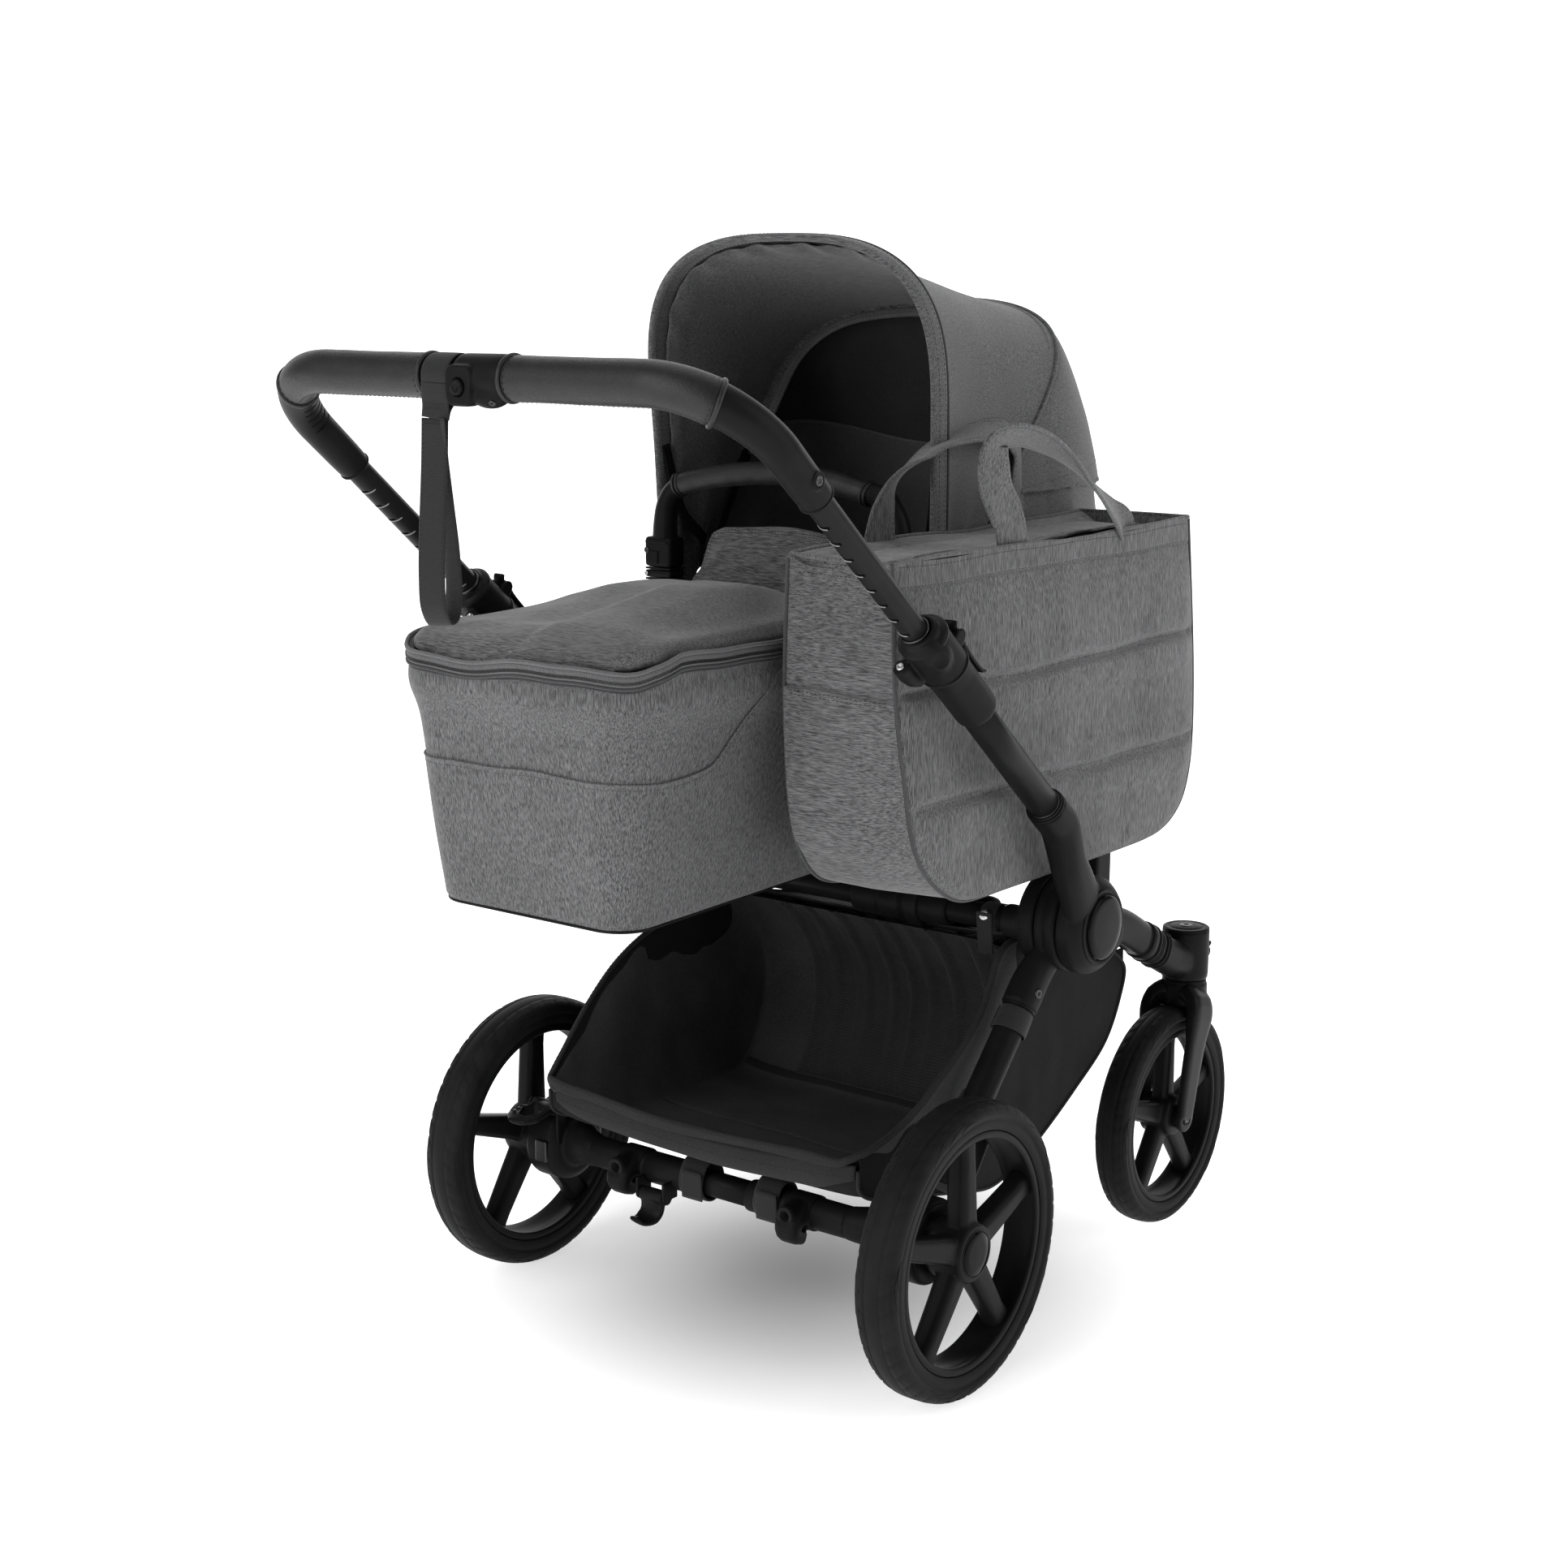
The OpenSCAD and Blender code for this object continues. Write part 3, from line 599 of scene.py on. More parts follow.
def cloth(name, col, sheen=0.12, rough=0.9, scale=900.0, strength=0.35, spread=0.35, spec=0.2):
    """A plain close weave."""
    m = NT(name)
    v = m.mapped((1, 1, 1))
    w1 = m.noise(m.mapped((scale * 2.0, scale * 0.6, scale * 2.0)), 1.0, 1.0)
    w2 = m.noise(m.mapped((scale * 0.6, scale * 2.0, scale * 0.6), loc=(5, 2, 8)), 1.0, 1.0)
    h = m.math("ADD", w1, w2)
    big = m.noise(m.mapped((14, 14, 14)), 1.0, 3.0)
    s = m.math("ADD", m.math("MULTIPLY", h, 0.35), m.math("MULTIPLY", big, 0.3))
    lo = tuple(c * (1 - spread) for c in col)
    hi = tuple(c * (1 + spread) for c in col)
    m.link(m.ramp(s, [(0.35, lo), (0.65, hi)]), m.b.inputs["Base Color"])
    m.link(m.bump(h, strength, 0.0005, m.bump(big, 0.2, 0.003)), m.b.inputs["Normal"])
    m.setv(Roughness=rough, Sheen_Weight=sheen, Sheen_Roughness=0.5, Specular_IOR_Level=spec)
    return m.m


def plastic(name, col, rough=0.42, grain=0.10, scale=2600.0, spec=0.5, coat=0.0):
    """Moulded plastic or powder-coated tube with a fine spark texture."""
    m = NT(name)
    g = m.noise(m.mapped((scale, scale, scale)), 1.0, 2.0)
    big = m.noise(m.mapped((22, 22, 22)), 1.0, 3.0)
    lo = tuple(c * 0.82 for c in col)
    hi = tuple(c * 1.2 for c in col)
    m.link(m.ramp(big, [(0.3, lo), (0.7, hi)]), m.b.inputs["Base Color"])
    r = m.math("ADD", m.math("MULTIPLY", big, 0.12), rough - 0.06)
    m.link(r, m.b.inputs["Roughness"])
    m.link(m.bump(g, grain, 0.0003), m.b.inputs["Normal"])
    m.setv(Specular_IOR_Level=spec, Coat_Weight=coat, Coat_Roughness=0.12)
    return m.m


def rubber(name, col):
    m = NT(name)
    g = m.noise(m.mapped((1700, 1700, 1700)), 1.0, 3.0)
    big = m.noise(m.mapped((30, 30, 30)), 1.0, 4.0)
    m.link(m.ramp(big, [(0.3, tuple(c * 0.8 for c in col)), (0.75, tuple(c * 1.35 for c in col))]), m.b.inputs["Base Color"])
    m.link(m.math("ADD", m.math("MULTIPLY", big, 0.14), 0.5), m.b.inputs["Roughness"])
    m.link(m.bump(g, 0.18, 0.0004), m.b.inputs["Normal"])
    m.setv(Specular_IOR_Level=0.07)
    return m.m


def leather(name, col):
    """Fine pebbled grain over soft creases."""
    m = NT(name)
    v = m.voronoi(m.mapped((620, 620, 620)), 1.0, "SMOOTH_F1")
    v2 = m.voronoi(m.mapped((1250, 1250, 1250)), 1.0, "F1")
    cr = m.noise(m.mapped((60, 60, 60)), 1.0, 4.0)
    h = m.math("ADD", m.math("MULTIPLY", v, 0.7), m.math("MULTIPLY", v2, 0.35))
    m.link(m.ramp(cr, [(0.3, tuple(c * 0.8 for c in col)), (0.7, tuple(c * 1.25 for c in col))]), m.b.inputs["Base Color"])
    m.link(m.math("ADD", m.math("MULTIPLY", v, 0.22), 0.36), m.b.inputs["Roughness"])
    m.link(m.bump(h, 0.42, 0.0006, m.bump(cr, 0.12, 0.002)), m.b.inputs["Normal"])
    m.setv(Specular_IOR_Level=0.34)
    return m.m


def webbing_mat(name, col, axis="z"):
    """Close-woven tape: ribs across and fine threads along."""
    m = NT(name)
    rib = m.wave(m.mapped((1, 1, 1)), 260.0, axis.upper())
    fine = m.noise(m.mapped((2200, 2200, 700)), 1.0, 2.0)
    h = m.math("ADD", m.math("MULTIPLY", rib, 0.6), m.math("MULTIPLY", fine, 0.6))
    m.link(m.ramp(h, [(0.2, tuple(c * 0.6 for c in col)), (0.9, tuple(c * 1.5 for c in col))]), m.b.inputs["Base Color"])
    m.link(m.bump(h, 0.5, 0.0006), m.b.inputs["Normal"])
    m.setv(Roughness=0.78, Specular_IOR_Level=0.25, Sheen_Weight=0.1)
    return m.m


def metal(name, col, rough=0.3):
    m = NT(name)
    g = m.noise(m.mapped((900, 900, 900)), 1.0, 3.0)
    m.link(m.ramp(g, [(0.3, tuple(c * 0.8 for c in col)), (0.7, col)]), m.b.inputs["Base Color"])
    m.link(m.math("ADD", m.math("MULTIPLY", g, 0.15), rough - 0.07), m.b.inputs["Roughness"])
    m.setv(Metallic=1.0)
    return m.m


G_D, G_L = (0.034, 0.034, 0.0355), (0.134, 0.134, 0.137)
M = {
    "grey_z": melange("cloth_grey_upright", G_D, G_L, "z"),
    "grey_x": melange("cloth_grey_across", G_D, G_L, "x"),
    "grey_y": melange("cloth_grey_lengthways", G_D, G_L, "y"),
    "trim": cloth("cloth_binding", (0.105, 0.105, 0.108), 0.2, 0.85, 700, 0.4, 0.3),
    "trim_dark": cloth("cloth_binding_dark", (0.050, 0.050, 0.052), 0.15, 0.85, 700, 0.4, 0.3),
    "lining": cloth("lining", (0.085, 0.085, 0.088), 0.15, 0.9, 850, 0.35, 0.3),
    # dark cloth: the hood's black window, and painted shade in the zip gap
    "void": cloth("black_window_cloth_and_gap_shade", (0.036, 0.036, 0.038), 0.05, 0.85, 850, 0.3, 0.3),
    "basket_out": cloth("basket_cloth_outer", (0.0125, 0.0125, 0.013), 0.015, 0.8, 800, 0.32, 0.35, 0.06),
    # the basket's inside is the same black cloth as its outside; its lighter base is painted light for light that does
    # not reach in
    "basket": cloth("basket_cloth", (0.047, 0.047, 0.048), 0.015, 0.8, 800, 0.32, 0.35, 0.08),
    "basket_trim": cloth("basket_binding", (0.018, 0.018, 0.019), 0.05, 0.75, 700, 0.45, 0.3, 0.15),
    "mesh": plastic("mesh_yarn", (0.042, 0.042, 0.043), 0.55, 0.2, 3000),
    "thread": plastic("thread_grey", (0.045, 0.045, 0.047), 0.7, 0.2, 4000, 0.3),
    "thread_dark": plastic("thread_black", (0.010, 0.010, 0.010), 0.6, 0.2, 4000, 0.3),
    # light grey for the arcs beside the inner tube's notches
    "mark": plastic("notch_arc_grey", (0.20, 0.20, 0.20), 0.5, 0.05, 2400, 0.3),
    "tube": plastic("frame_coat", (0.0085, 0.0085, 0.0088), 0.36, 0.07, 3200, 0.045),
    "tube_upper": plastic("frame_coat_upper", (0.0095, 0.0095, 0.0098), 0.33, 0.07, 3200, 0.09),
    "cast": plastic("moulded_black", (0.0075, 0.0075, 0.0078), 0.46, 0.16, 2400, 0.06),
    "cast_soft": plastic("moulded_satin", (0.008, 0.008, 0.0083), 0.38, 0.08, 2400, 0.07),
    "rimm": plastic("rim_black", (0.0075, 0.0075, 0.0078), 0.40, 0.10, 2600, 0.06),
    "gloss": plastic("gloss_black", (0.004, 0.004, 0.0042), 0.10, 0.0, 1000, 0.05, 0.0),
    "rubber": rubber("tyre_rubber", (0.0105, 0.0105, 0.0107)),
    "grip": leather("grip_leather", (0.010, 0.0099, 0.0102)),
    "webbing": webbing_mat("strap_webbing", (0.0105, 0.0105, 0.011)),
    "screw": metal("screw_steel", (0.55, 0.55, 0.56), 0.28),
    "screw_dark": metal("screw_black", (0.06, 0.06, 0.062), 0.34),
    "zip": plastic("zip_teeth", (0.022, 0.022, 0.023), 0.4, 0.1, 3000),
}


# ------------------------------------------------------------------ wheels
def tyre_mesh(name, c, R, w, ri, nseg=288):
    h = w / 2
    fl = ri + 11  # outer edge of the flat ring beside the rim
    out = [
        (h - 4.0, ri + 0.2), (h - 2.4, ri + 1.4), (h - 2.0, fl - 1.4), (h - 2.4, fl - 0.5), (h - 2.4, fl + 0.5), (h - 1.5, fl + 1.2),
        (h - 0.3, fl + 3.4), (h, fl + 6), (h - 1.2, R - 6.4), (h - 3.6, R - 3.6), (h - 6.6, R - 1.9), (h - 7.3, R - 1.9), (h - 8.0, R - 1.4),
        (h - 11, R - 0.7), (h - 14, R - 0.25), (h - 14.5, R - 0.9), (h - 15.2, R - 0.2), (0, R),
    ]
    inn = [(-x, r) for x, r in reversed(out[:-1])]
    prof = out + inn + [(-(h - 6), ri - 0.6), (h - 6, ri - 0.6)]
    ob = lathe(name, prof, (0, 0, 0), "x", nseg)
    co = mesh_np(ob) * 1000.0
    co[:, 1] += MY
    r = np.hypot(co[:, 1], co[:, 2])
    a = np.degrees(np.arctan2(co[:, 2], co[:, 1])) % 360
    x = co[:, 0]
    # short slanted cuts at both edges of the tread
    ph = (a + np.sign(x) * (np.abs(x) - 8) * 0.35 + np.where(x > 0, 0, 3.75)) % 7.5
    cut = (ph < 1.3) & (np.abs(x) > h - 13.8) & (np.abs(x) < h - 1.0) & (r > R - 7)
    k = np.where(cut, 1 - 1.1 / r, 1.0)
    co[:, 1] *= k
    co[:, 2] *= k
    co += np.asarray(c, float)
    set_np(ob, PA(co))
    ribs = []
    # raised leaf-shaped lines on the side wall
    for side in (1, -1):
        for g in range(5):
            a0 = math.radians(g * 72 + 20)
            for kk, (sweep, r0, r1, bow) in enumerate(((0.62, fl + 3, fl + 2, 10.0), (0.40, fl + 3, fl + 2.4, 6.2), (0.22, fl + 3, fl + 2.8, 3.4))):
                pts = []
                for s in np.linspace(0, 1, 15):
                    rr = min(r0 + (r1 - r0) * s + bow * math.sin(math.pi * s) ** 0.8, R - 5.2)
                    th = a0 + sweep * s
                    # follow the wall's own outline
                    xw = np.interp(rr, [fl + 1.2, fl + 3.4, fl + 6, R - 6.4, R - 3.6], [h - 1.4, h - 0.2, h, h - 1.2, h - 3.6])
                    pts.append((side * (xw - 0.15) + c[0], rr * math.cos(th) + c[1], rr * math.sin(th) + c[2]))
                ribs.append(tube("rib", pts, [0.15 + 0.55 * math.sin(math.pi * min(1, max(0, s))) ** 0.4 for s in np.linspace(0, 1, 15)], 6, up=(1, 0, 0)))
    return join(name, [ob] + ribs)


def rim_mesh(name, c, ro, w, boss, bw, cap_r, depth, wide):
    h = w / 2
    op = ro - 8.5
    prof = [
        (h - 0.4, ro - 0.3), (h + 0.2, ro - 1.2), (h + 0.2, op + 2.2), (h - 0.6, op + 0.6), (h - 2.4, op), (h - 9, op + 2.6), (2, op + 4.2),
        (-6, op + 4.0), (-(h - 8), op + 2.2), (-(h - 2.4), op), (-(h - 0.6), op + 0.6), (-(h + 0.2), op + 2.2), (-(h + 0.2), ro - 1.2), (-(h - 0.4), ro - 0.3),
    ]
    ring = lathe(name + "_ring", prof, c, "x", 160, caps=True)
    parts = []
    ex = bw / 2
    parts.append(cyl("b", (c[0] - ex, c[1], c[2]), (c[0] + ex - 5, c[1], c[2]), boss * 0.86, bevel=4))
    parts.append(cyl("b", (c[0] + ex - 12, c[1], c[2]), (c[0] + ex - 1.4, c[1], c[2]), cap_r + 7.5, bevel=3))
    for i in range(5):
        th = math.radians(90 + 72 * i)
        d = np.array([0, math.cos(th), math.sin(th)])
        rad = np.linspace(cap_r * 0.5, op + 4.4, 12)
        pts = [np.array(c) + d * r + np.array([2.0 * (1 - (r / op) ** 2) + 1.0, 0, 0]) for r in rad]
        hw = [wide * (1.16 - 0.34 * ((r - rad[0]) / (rad[-1] - rad[0]))) / 2 for r in rad]
        hw[-1] *= 1.32
        hw[-2] *= 1.12
        dp = [depth / 2 * (1.08 - 0.12 * ((r - rad[0]) / (rad[-1] - rad[0]))) for r in rad]
        parts.append(tube("s", pts, np.stack([dp, hw], 1), up=(1, 0, 0), prof=rounded_prof(1, 1, 0.62)))
    body = cast(name + "_spokes", parts, 1.6, 7, 0.5)
    ob = join(name, [ring, body])
    set_mat(ob, M["rimm"])
    cap = lathe("cap", [(c[0] + ex - 2.6, 0.01), (c[0] + ex - 2.6, cap_r), (c[0] + ex - 0.6, cap_r - 0.2), (c[0] + ex + 0.2, cap_r - 1.2), (c[0] + ex + 0.7, cap_r * 0.6), (c[0] + ex + 0.9, 0.01)], (0, c[1], c[2]), "x", 72)
    set_mat(cap, M["gloss"])
    lip = lathe("lip", [(c[0] + ex - 1.6, cap_r + 1.2 + 0.9 * math.cos(a)) if False else (c[0] + ex - 1.5 + 0.9 * math.sin(a), cap_r + 1.0 + 0.9 * math.cos(a)) for a in np.linspace(0, 2 * math.pi, 9)[:-1]], (0, c[1], c[2]), "x", 72, caps=True)
    set_mat(lip, M["cast_soft"])
    return join(name, [ob, cap, lip])


def wheels():
    c = (282.5, 0, 150)
    t = tyre_mesh("rear_tyre_r", c, 150, 46, 122)
    set_mat(t, M["rubber"])
    tl = flip_copy(t, "rear_tyre_l")
    keep(t, "wheel_rear_right", None, ["rear_tyre_right"])
    keep(tl, "wheel_rear_left", None, ["rear_tyre_left"])
    r = rim_mesh("rear_rim_r", c, 122, 38, 36, 43, 22.5, 24, 26)
    rl = flip_copy(r, "rear_rim_l")
    keep(r, "wheel_rear_right", None, ["rear_rim_right"])
    keep(rl, "wheel_rear_left", None, ["rear_rim_left"])
    c = (216, 536, 128)
    t = tyre_mesh("front_tyre_r", c, 127.8, 40, 102, 240)
    set_mat(t, M["rubber"])
    tl = flip_copy(t, "front_tyre_l")
    keep(t, "wheel_front_right", None, ["front_tyre_right"])
    keep(tl, "wheel_front_left", None, ["front_tyre_left"])
    # the front rim has no cap: its hub is open for the axle
    h = 16
    op = 94
    prof = [
        (h - 0.4, 101.7), (h + 0.2, 100.8), (h + 0.2, op + 2.2), (h - 0.6, op + 0.6), (h - 2.4, op), (h - 8, op + 2.4), (2, op + 3.6), (-6, op + 3.4),
        (-(h - 7), op + 2.0), (-(h - 2.4), op), (-(h - 0.6), op + 0.6), (-(h + 0.2), op + 2.2), (-(h + 0.2), 100.8), (-(h - 0.4), 101.7),
    ]
    ring = lathe("front_ring", prof, c, "x", 144, caps=True)
    parts = [cyl("b", (c[0] - 19, c[1], c[2]), (c[0] + 19, c[1], c[2]), 24, bevel=4)]
    for i in range(5):
        th = math.radians(90 + 72 * i)
        d = np.array([0, math.cos(th), math.sin(th)])
        rad = np.linspace(12, op + 3.8, 11)
        pts = [np.array(c) + d * q for q in rad]
        hw = [24 * (1.14 - 0.34 * ((q - rad[0]) / (rad[-1] - rad[0]))) / 2 for q in rad]
        hw[-1] *= 1.35
        hw[-2] *= 1.12
        parts.append(tube("s", pts, np.stack([[10.5] * 11, hw], 1), up=(1, 0, 0), prof=rounded_prof(1, 1, 0.62)))
    sp = cast("front_spokes", parts, 1.6, 6, 0.5)
    r = set_mat(join("front_rim_r", [ring, sp]), M["rimm"])
    rl = flip_copy(r, "front_rim_l")
    keep(r, "wheel_front_right", None, ["front_rim_right"])
    keep(rl, "wheel_front_left", None, ["front_rim_left"])


def screw_head(name, at, axis, r, mat, depth=1.6, star=True):
    """A round head with a dished star socket."""
    ax = Vector(axis).normalized()
    parts = []
    prof = [(0.0, r), (depth * 0.6, r), (depth, r * 0.86), (depth, r * 0.46), (depth * 0.25, r * 0.40), (depth * 0.25, 0.01)]
    n = 30
    k = len(prof)
    up = Vector((0, 0, 1)) if abs(ax.z) < 0.9 else Vector((1, 0, 0))
    a = ax.cross(up).normalized()
    b = ax.cross(a)
    V = []
    for i in range(n):
        th = 2 * math.pi * i / n
        for j, (h, rr) in enumerate(prof):
            q = rr * (0.72 if (star and j >= 3 and i % 5 in (0, 1)) else 1.0)
            V.append(Vector(at) + ax * h + a * (q * math.cos(th)) + b * (q * math.sin(th)))
    ob = fix_normals(obj_from(name, np.array([tuple(v) for v in V]), grid_faces(n, k, True, False)))
    return set_mat(ob, mat)


def casters():
    x, sy = 216.0, 578.0
    # fork: crown, arch over the tyre and two blades
    ctop = cyl("p", (x, sy, 268), (x, sy, 284.2), 25.6, bevel=2.2)
    set_mat(ctop, M["cast"])
    parts = [cyl("p", (x, sy, 251), (x, sy, 281), 27.0, bevel=4)]
    for s in (-1, 1):
        path = [(x + s * 14, sy - 8, 270), (x + s * 25, sy - 11, 262), (x + s * 29.6, sy - 15, 246), (x + s * 29.6, sy - 21, 220), (x + s * 29.2, sy - 32, 175), (x + s * 29, 536, 128)]
        p = smooth_path(path, 22)
        w = np.interp(np.linspace(0, 1, 22), [0, 0.2, 0.4, 0.8, 1], [21, 25, 20.5, 17.5, 15.6])
        th = np.interp(np.linspace(0, 1, 22), [0, 0.25, 0.45, 1], [10, 8, 5.6, 5.2])
        parts.append(tube("b", p, np.stack([w, th], 1), up=(0, 1, -0.35), prof=rounded_prof(1, 1, 0.5, 4)))
        parts.append(cyl("e", (x + s * 24, 536, 128), (x + s * 32.6, 536, 128), 16.6, bevel=1.6))
    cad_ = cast("fork", parts, 1.6, 5, 0.5)
    set_mat(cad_, M["cast_soft"])
    bits = [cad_, ctop, set_mat(cyl("ax", (x - 30, 536, 128), (x + 30, 536, 128), 5.9, 24), M["screw_dark"])]
    for s in (-1, 1):
        bits.append(set_mat(lathe("cup", [(x + s * 32.2, 8.4), (x + s * 33.6, 8.4), (x + s * 33.8, 7.6), (x + s * 33.8, 6.6), (x + s * 32.4, 6.2), (x + s * 32.2, 6.2)], (0, 536, 128), "x", 36, caps=True), M["cast"]))
        bits.append(screw_head("bolt", (x + s * 32.1, 536, 128), (s, 0, 0), 5.8, M["screw_dark"], 1.5))
        bits.append(set_mat(cyl("spacer", (x + s * 19.2, 536, 128), (x + s * 24.4, 536, 128), 13.0, 36, bevel=0.8), M["cast"]))
    f = join("fork_r", bits)
    fl_ = flip_copy(f, "fork_l")
    keep(f, "fork_right", None, ["caster_fork_right"])
    keep(fl_, "fork_left", None, ["caster_fork_left"])

    # swivel housing with its socket for the leg
    ex = np.array([216.0, 578.0, 316.5])
    h0 = np.array([224.0, 250.5, 424.5])
    d = ex - h0
    d /= np.linalg.norm(d)

    knots = np.array([(219.6, 492, 338.5), (219, 505, 331.5), (218, 534, 317.5), (217, 560, 310), (216, 580, 308)], float)
    line = smooth_path(knots, 120)

    def onleg(y):
        return np.array([np.interp(y, line[:, 1], line[:, 0]), y, np.interp(y, line[:, 1], line[:, 2])])

    a = cyl("c", (x, sy, 287), (x, sy, 343), 27.3, 72, bevel=1.5)
    parts = [a]
    pr = rounded_prof(1, 1, 0.8, 6)
    p = [onleg(v) for v in (500, 515, 532, 554, 578)]
    parts.append(tube("n", p, np.stack([[20.0, 20.4, 20.8, 20.6, 20], [17.0, 17.4, 18.0, 19.5, 21]], 1), up=(0, 0, 1), prof=pr))
    hb = cast("house", parts, 1.7, 4, 0.5)
    set_mat(hb, M["cast"])
    bits = [hb]
    bits.append(set_mat(lathe("captop", [(342, 27.2), (344.2, 26.8), (345.3, 25.4), (345.3, 20.5), (344.7, 20.1), (344.7, 19.5), (345.4, 19.1), (346.0, 10), (346.1, 0.01)], (x, sy, 0), "z", 72), M["cast"]))
    bits.append(set_mat(lathe("skirt", [(285.2, 24.5), (285.0, 26.2), (286.2, 26.9), (290, 26.9), (291, 26.4), (291, 24)], (x, sy, 0), "z", 72, caps=True), M["cast_soft"]))
    # ribbed collars where the leg enters
    for v, w in ((495.0, 2.2), (499.5, 3.6)):
        d = onleg(v + 1) - onleg(v - 1)
        d /= np.linalg.norm(d)
        q0, q1 = onleg(v) - d * w / 2, onleg(v) + d * w / 2
        k = 2.2 if w > 3 else 1.2
        bits.append(set_mat(tube("col", [q0 - d * 0.8, q0, q1, q1 + d * 0.8], np.array([[19.8 + k * s, 17.2 + k * s] for s in (0.4, 1, 1, 0.4)]), up=(0, 0, 1), prof=pr), M["cast"]))
    # pins the lock tab turns on
    for s in (-1, 1):
        bits.append(set_mat(cast("ear", [cyl("e", (x + s * 10, sy + 33, 309), (x + s * 13.2, sy + 33, 309), 6, 24, bevel=0.6), box_mesh("e2", (x + s * 11.6 - 1.6, sy + 16, 303), (x + s * 11.6 + 1.6, sy + 33, 315), 0.6)], 1.0, 2), M["cast"]))
    h = join("caster_house_r", bits)
    hl = flip_copy(h, "caster_house_l")
    keep(h, "chassis", None, ["caster_housing_right"])
    keep(hl, "chassis", None, ["caster_housing_left"])
    # lock tab: a little curved lever
    path = [(x, sy + 31, 297), (x, sy + 33, 305), (x, sy + 39, 313), (x, sy + 46, 317.5)]
    tb = cast("tab", [tube("t", smooth_path(path, 12), np.stack([[3.4] * 12, np.linspace(9.4, 10.6, 12)], 1), up=(0, 0, 1), prof=rounded_prof(1, 1, 0.6)), cyl("t2", (x - 9.4, sy + 33, 309), (x + 9.4, sy + 33, 309), 5.4, 24, bevel=1)], 1.0, 3)
    set_mat(tb, M["cast_soft"])
    tb.name = "lock_tab_r"
    tl = flip_copy(tb, "lock_tab_l")
    keep(tb, "swivel_lock_right", None, ["caster_lock_right"])
    keep(tl, "swivel_lock_left", None, ["caster_lock_left"])


wheels()
casters()
# ------------------------------------------------------------------ frame
HUB = (250.0, 424.5)
HA = math.radians(139.6)


def on_tube(x, s, o=0.0):
    """A point on the handle tube line: s along it, o out of it, towards the bag's top."""
    return np.array([x, 165 + math.cos(HA) * s + math.sin(HA) * o, 552 + math.sin(HA) * s - math.cos(HA) * o])


def rl(t):
    return np.array([234 + 12 * t, 26 + (HUB[0] - 26) * t, 160 + (HUB[1] - 160) * t])


def fl(t):
    return np.array([224 - 8 * t, HUB[0] + 328 * t, HUB[1] - 108 * t])


def leg_line(y0, y1, n):
    """The front leg's middle line: a slight bend downwards before the wheel housing."""
    k = np.array([(224, 292, 418), (223.5, 330, 406.5), (223, 380, 391), (222, 414, 378.5), (221, 447, 361.5), (220.5, 469, 350), (220, 480, 344.5), (219, 505, 331.5), (218, 534, 317.5), (217, 560, 310), (216, 580, 308)], float)
    q = smooth_path(k, 200)
    ys = np.linspace(y0, y1, n)
    return np.stack([np.interp(ys, q[:, 1], q[:, 0]), ys, np.interp(ys, q[:, 1], q[:, 2])], 1)


def ring(name, c, axis, x0, x1, r0, r1, mat, n=72):
    """A flat band with softened rims between two radii."""
    b = min((x1 - x0) * 0.35, 0.9)
    ob = lathe(name, [(x0, r0), (x0, r1 - b), (x0 + b * 0.3, r1 - b * 0.3), (x0 + b, r1), (x1 - b, r1), (x1 - b * 0.3, r1 - b * 0.3), (x1, r1 - b), (x1, r0)], c, axis, n, caps=True)
    return set_mat(ob, mat)


def both(right, name, body_r, body_l, rep_r, rep_l, mat=None):
    right.name = name + "_right"
    left = flip_copy(right, name + "_left")
    keep(right, body_r, mat, rep_r)
    keep(left, body_l, mat, rep_l)
    return right, left


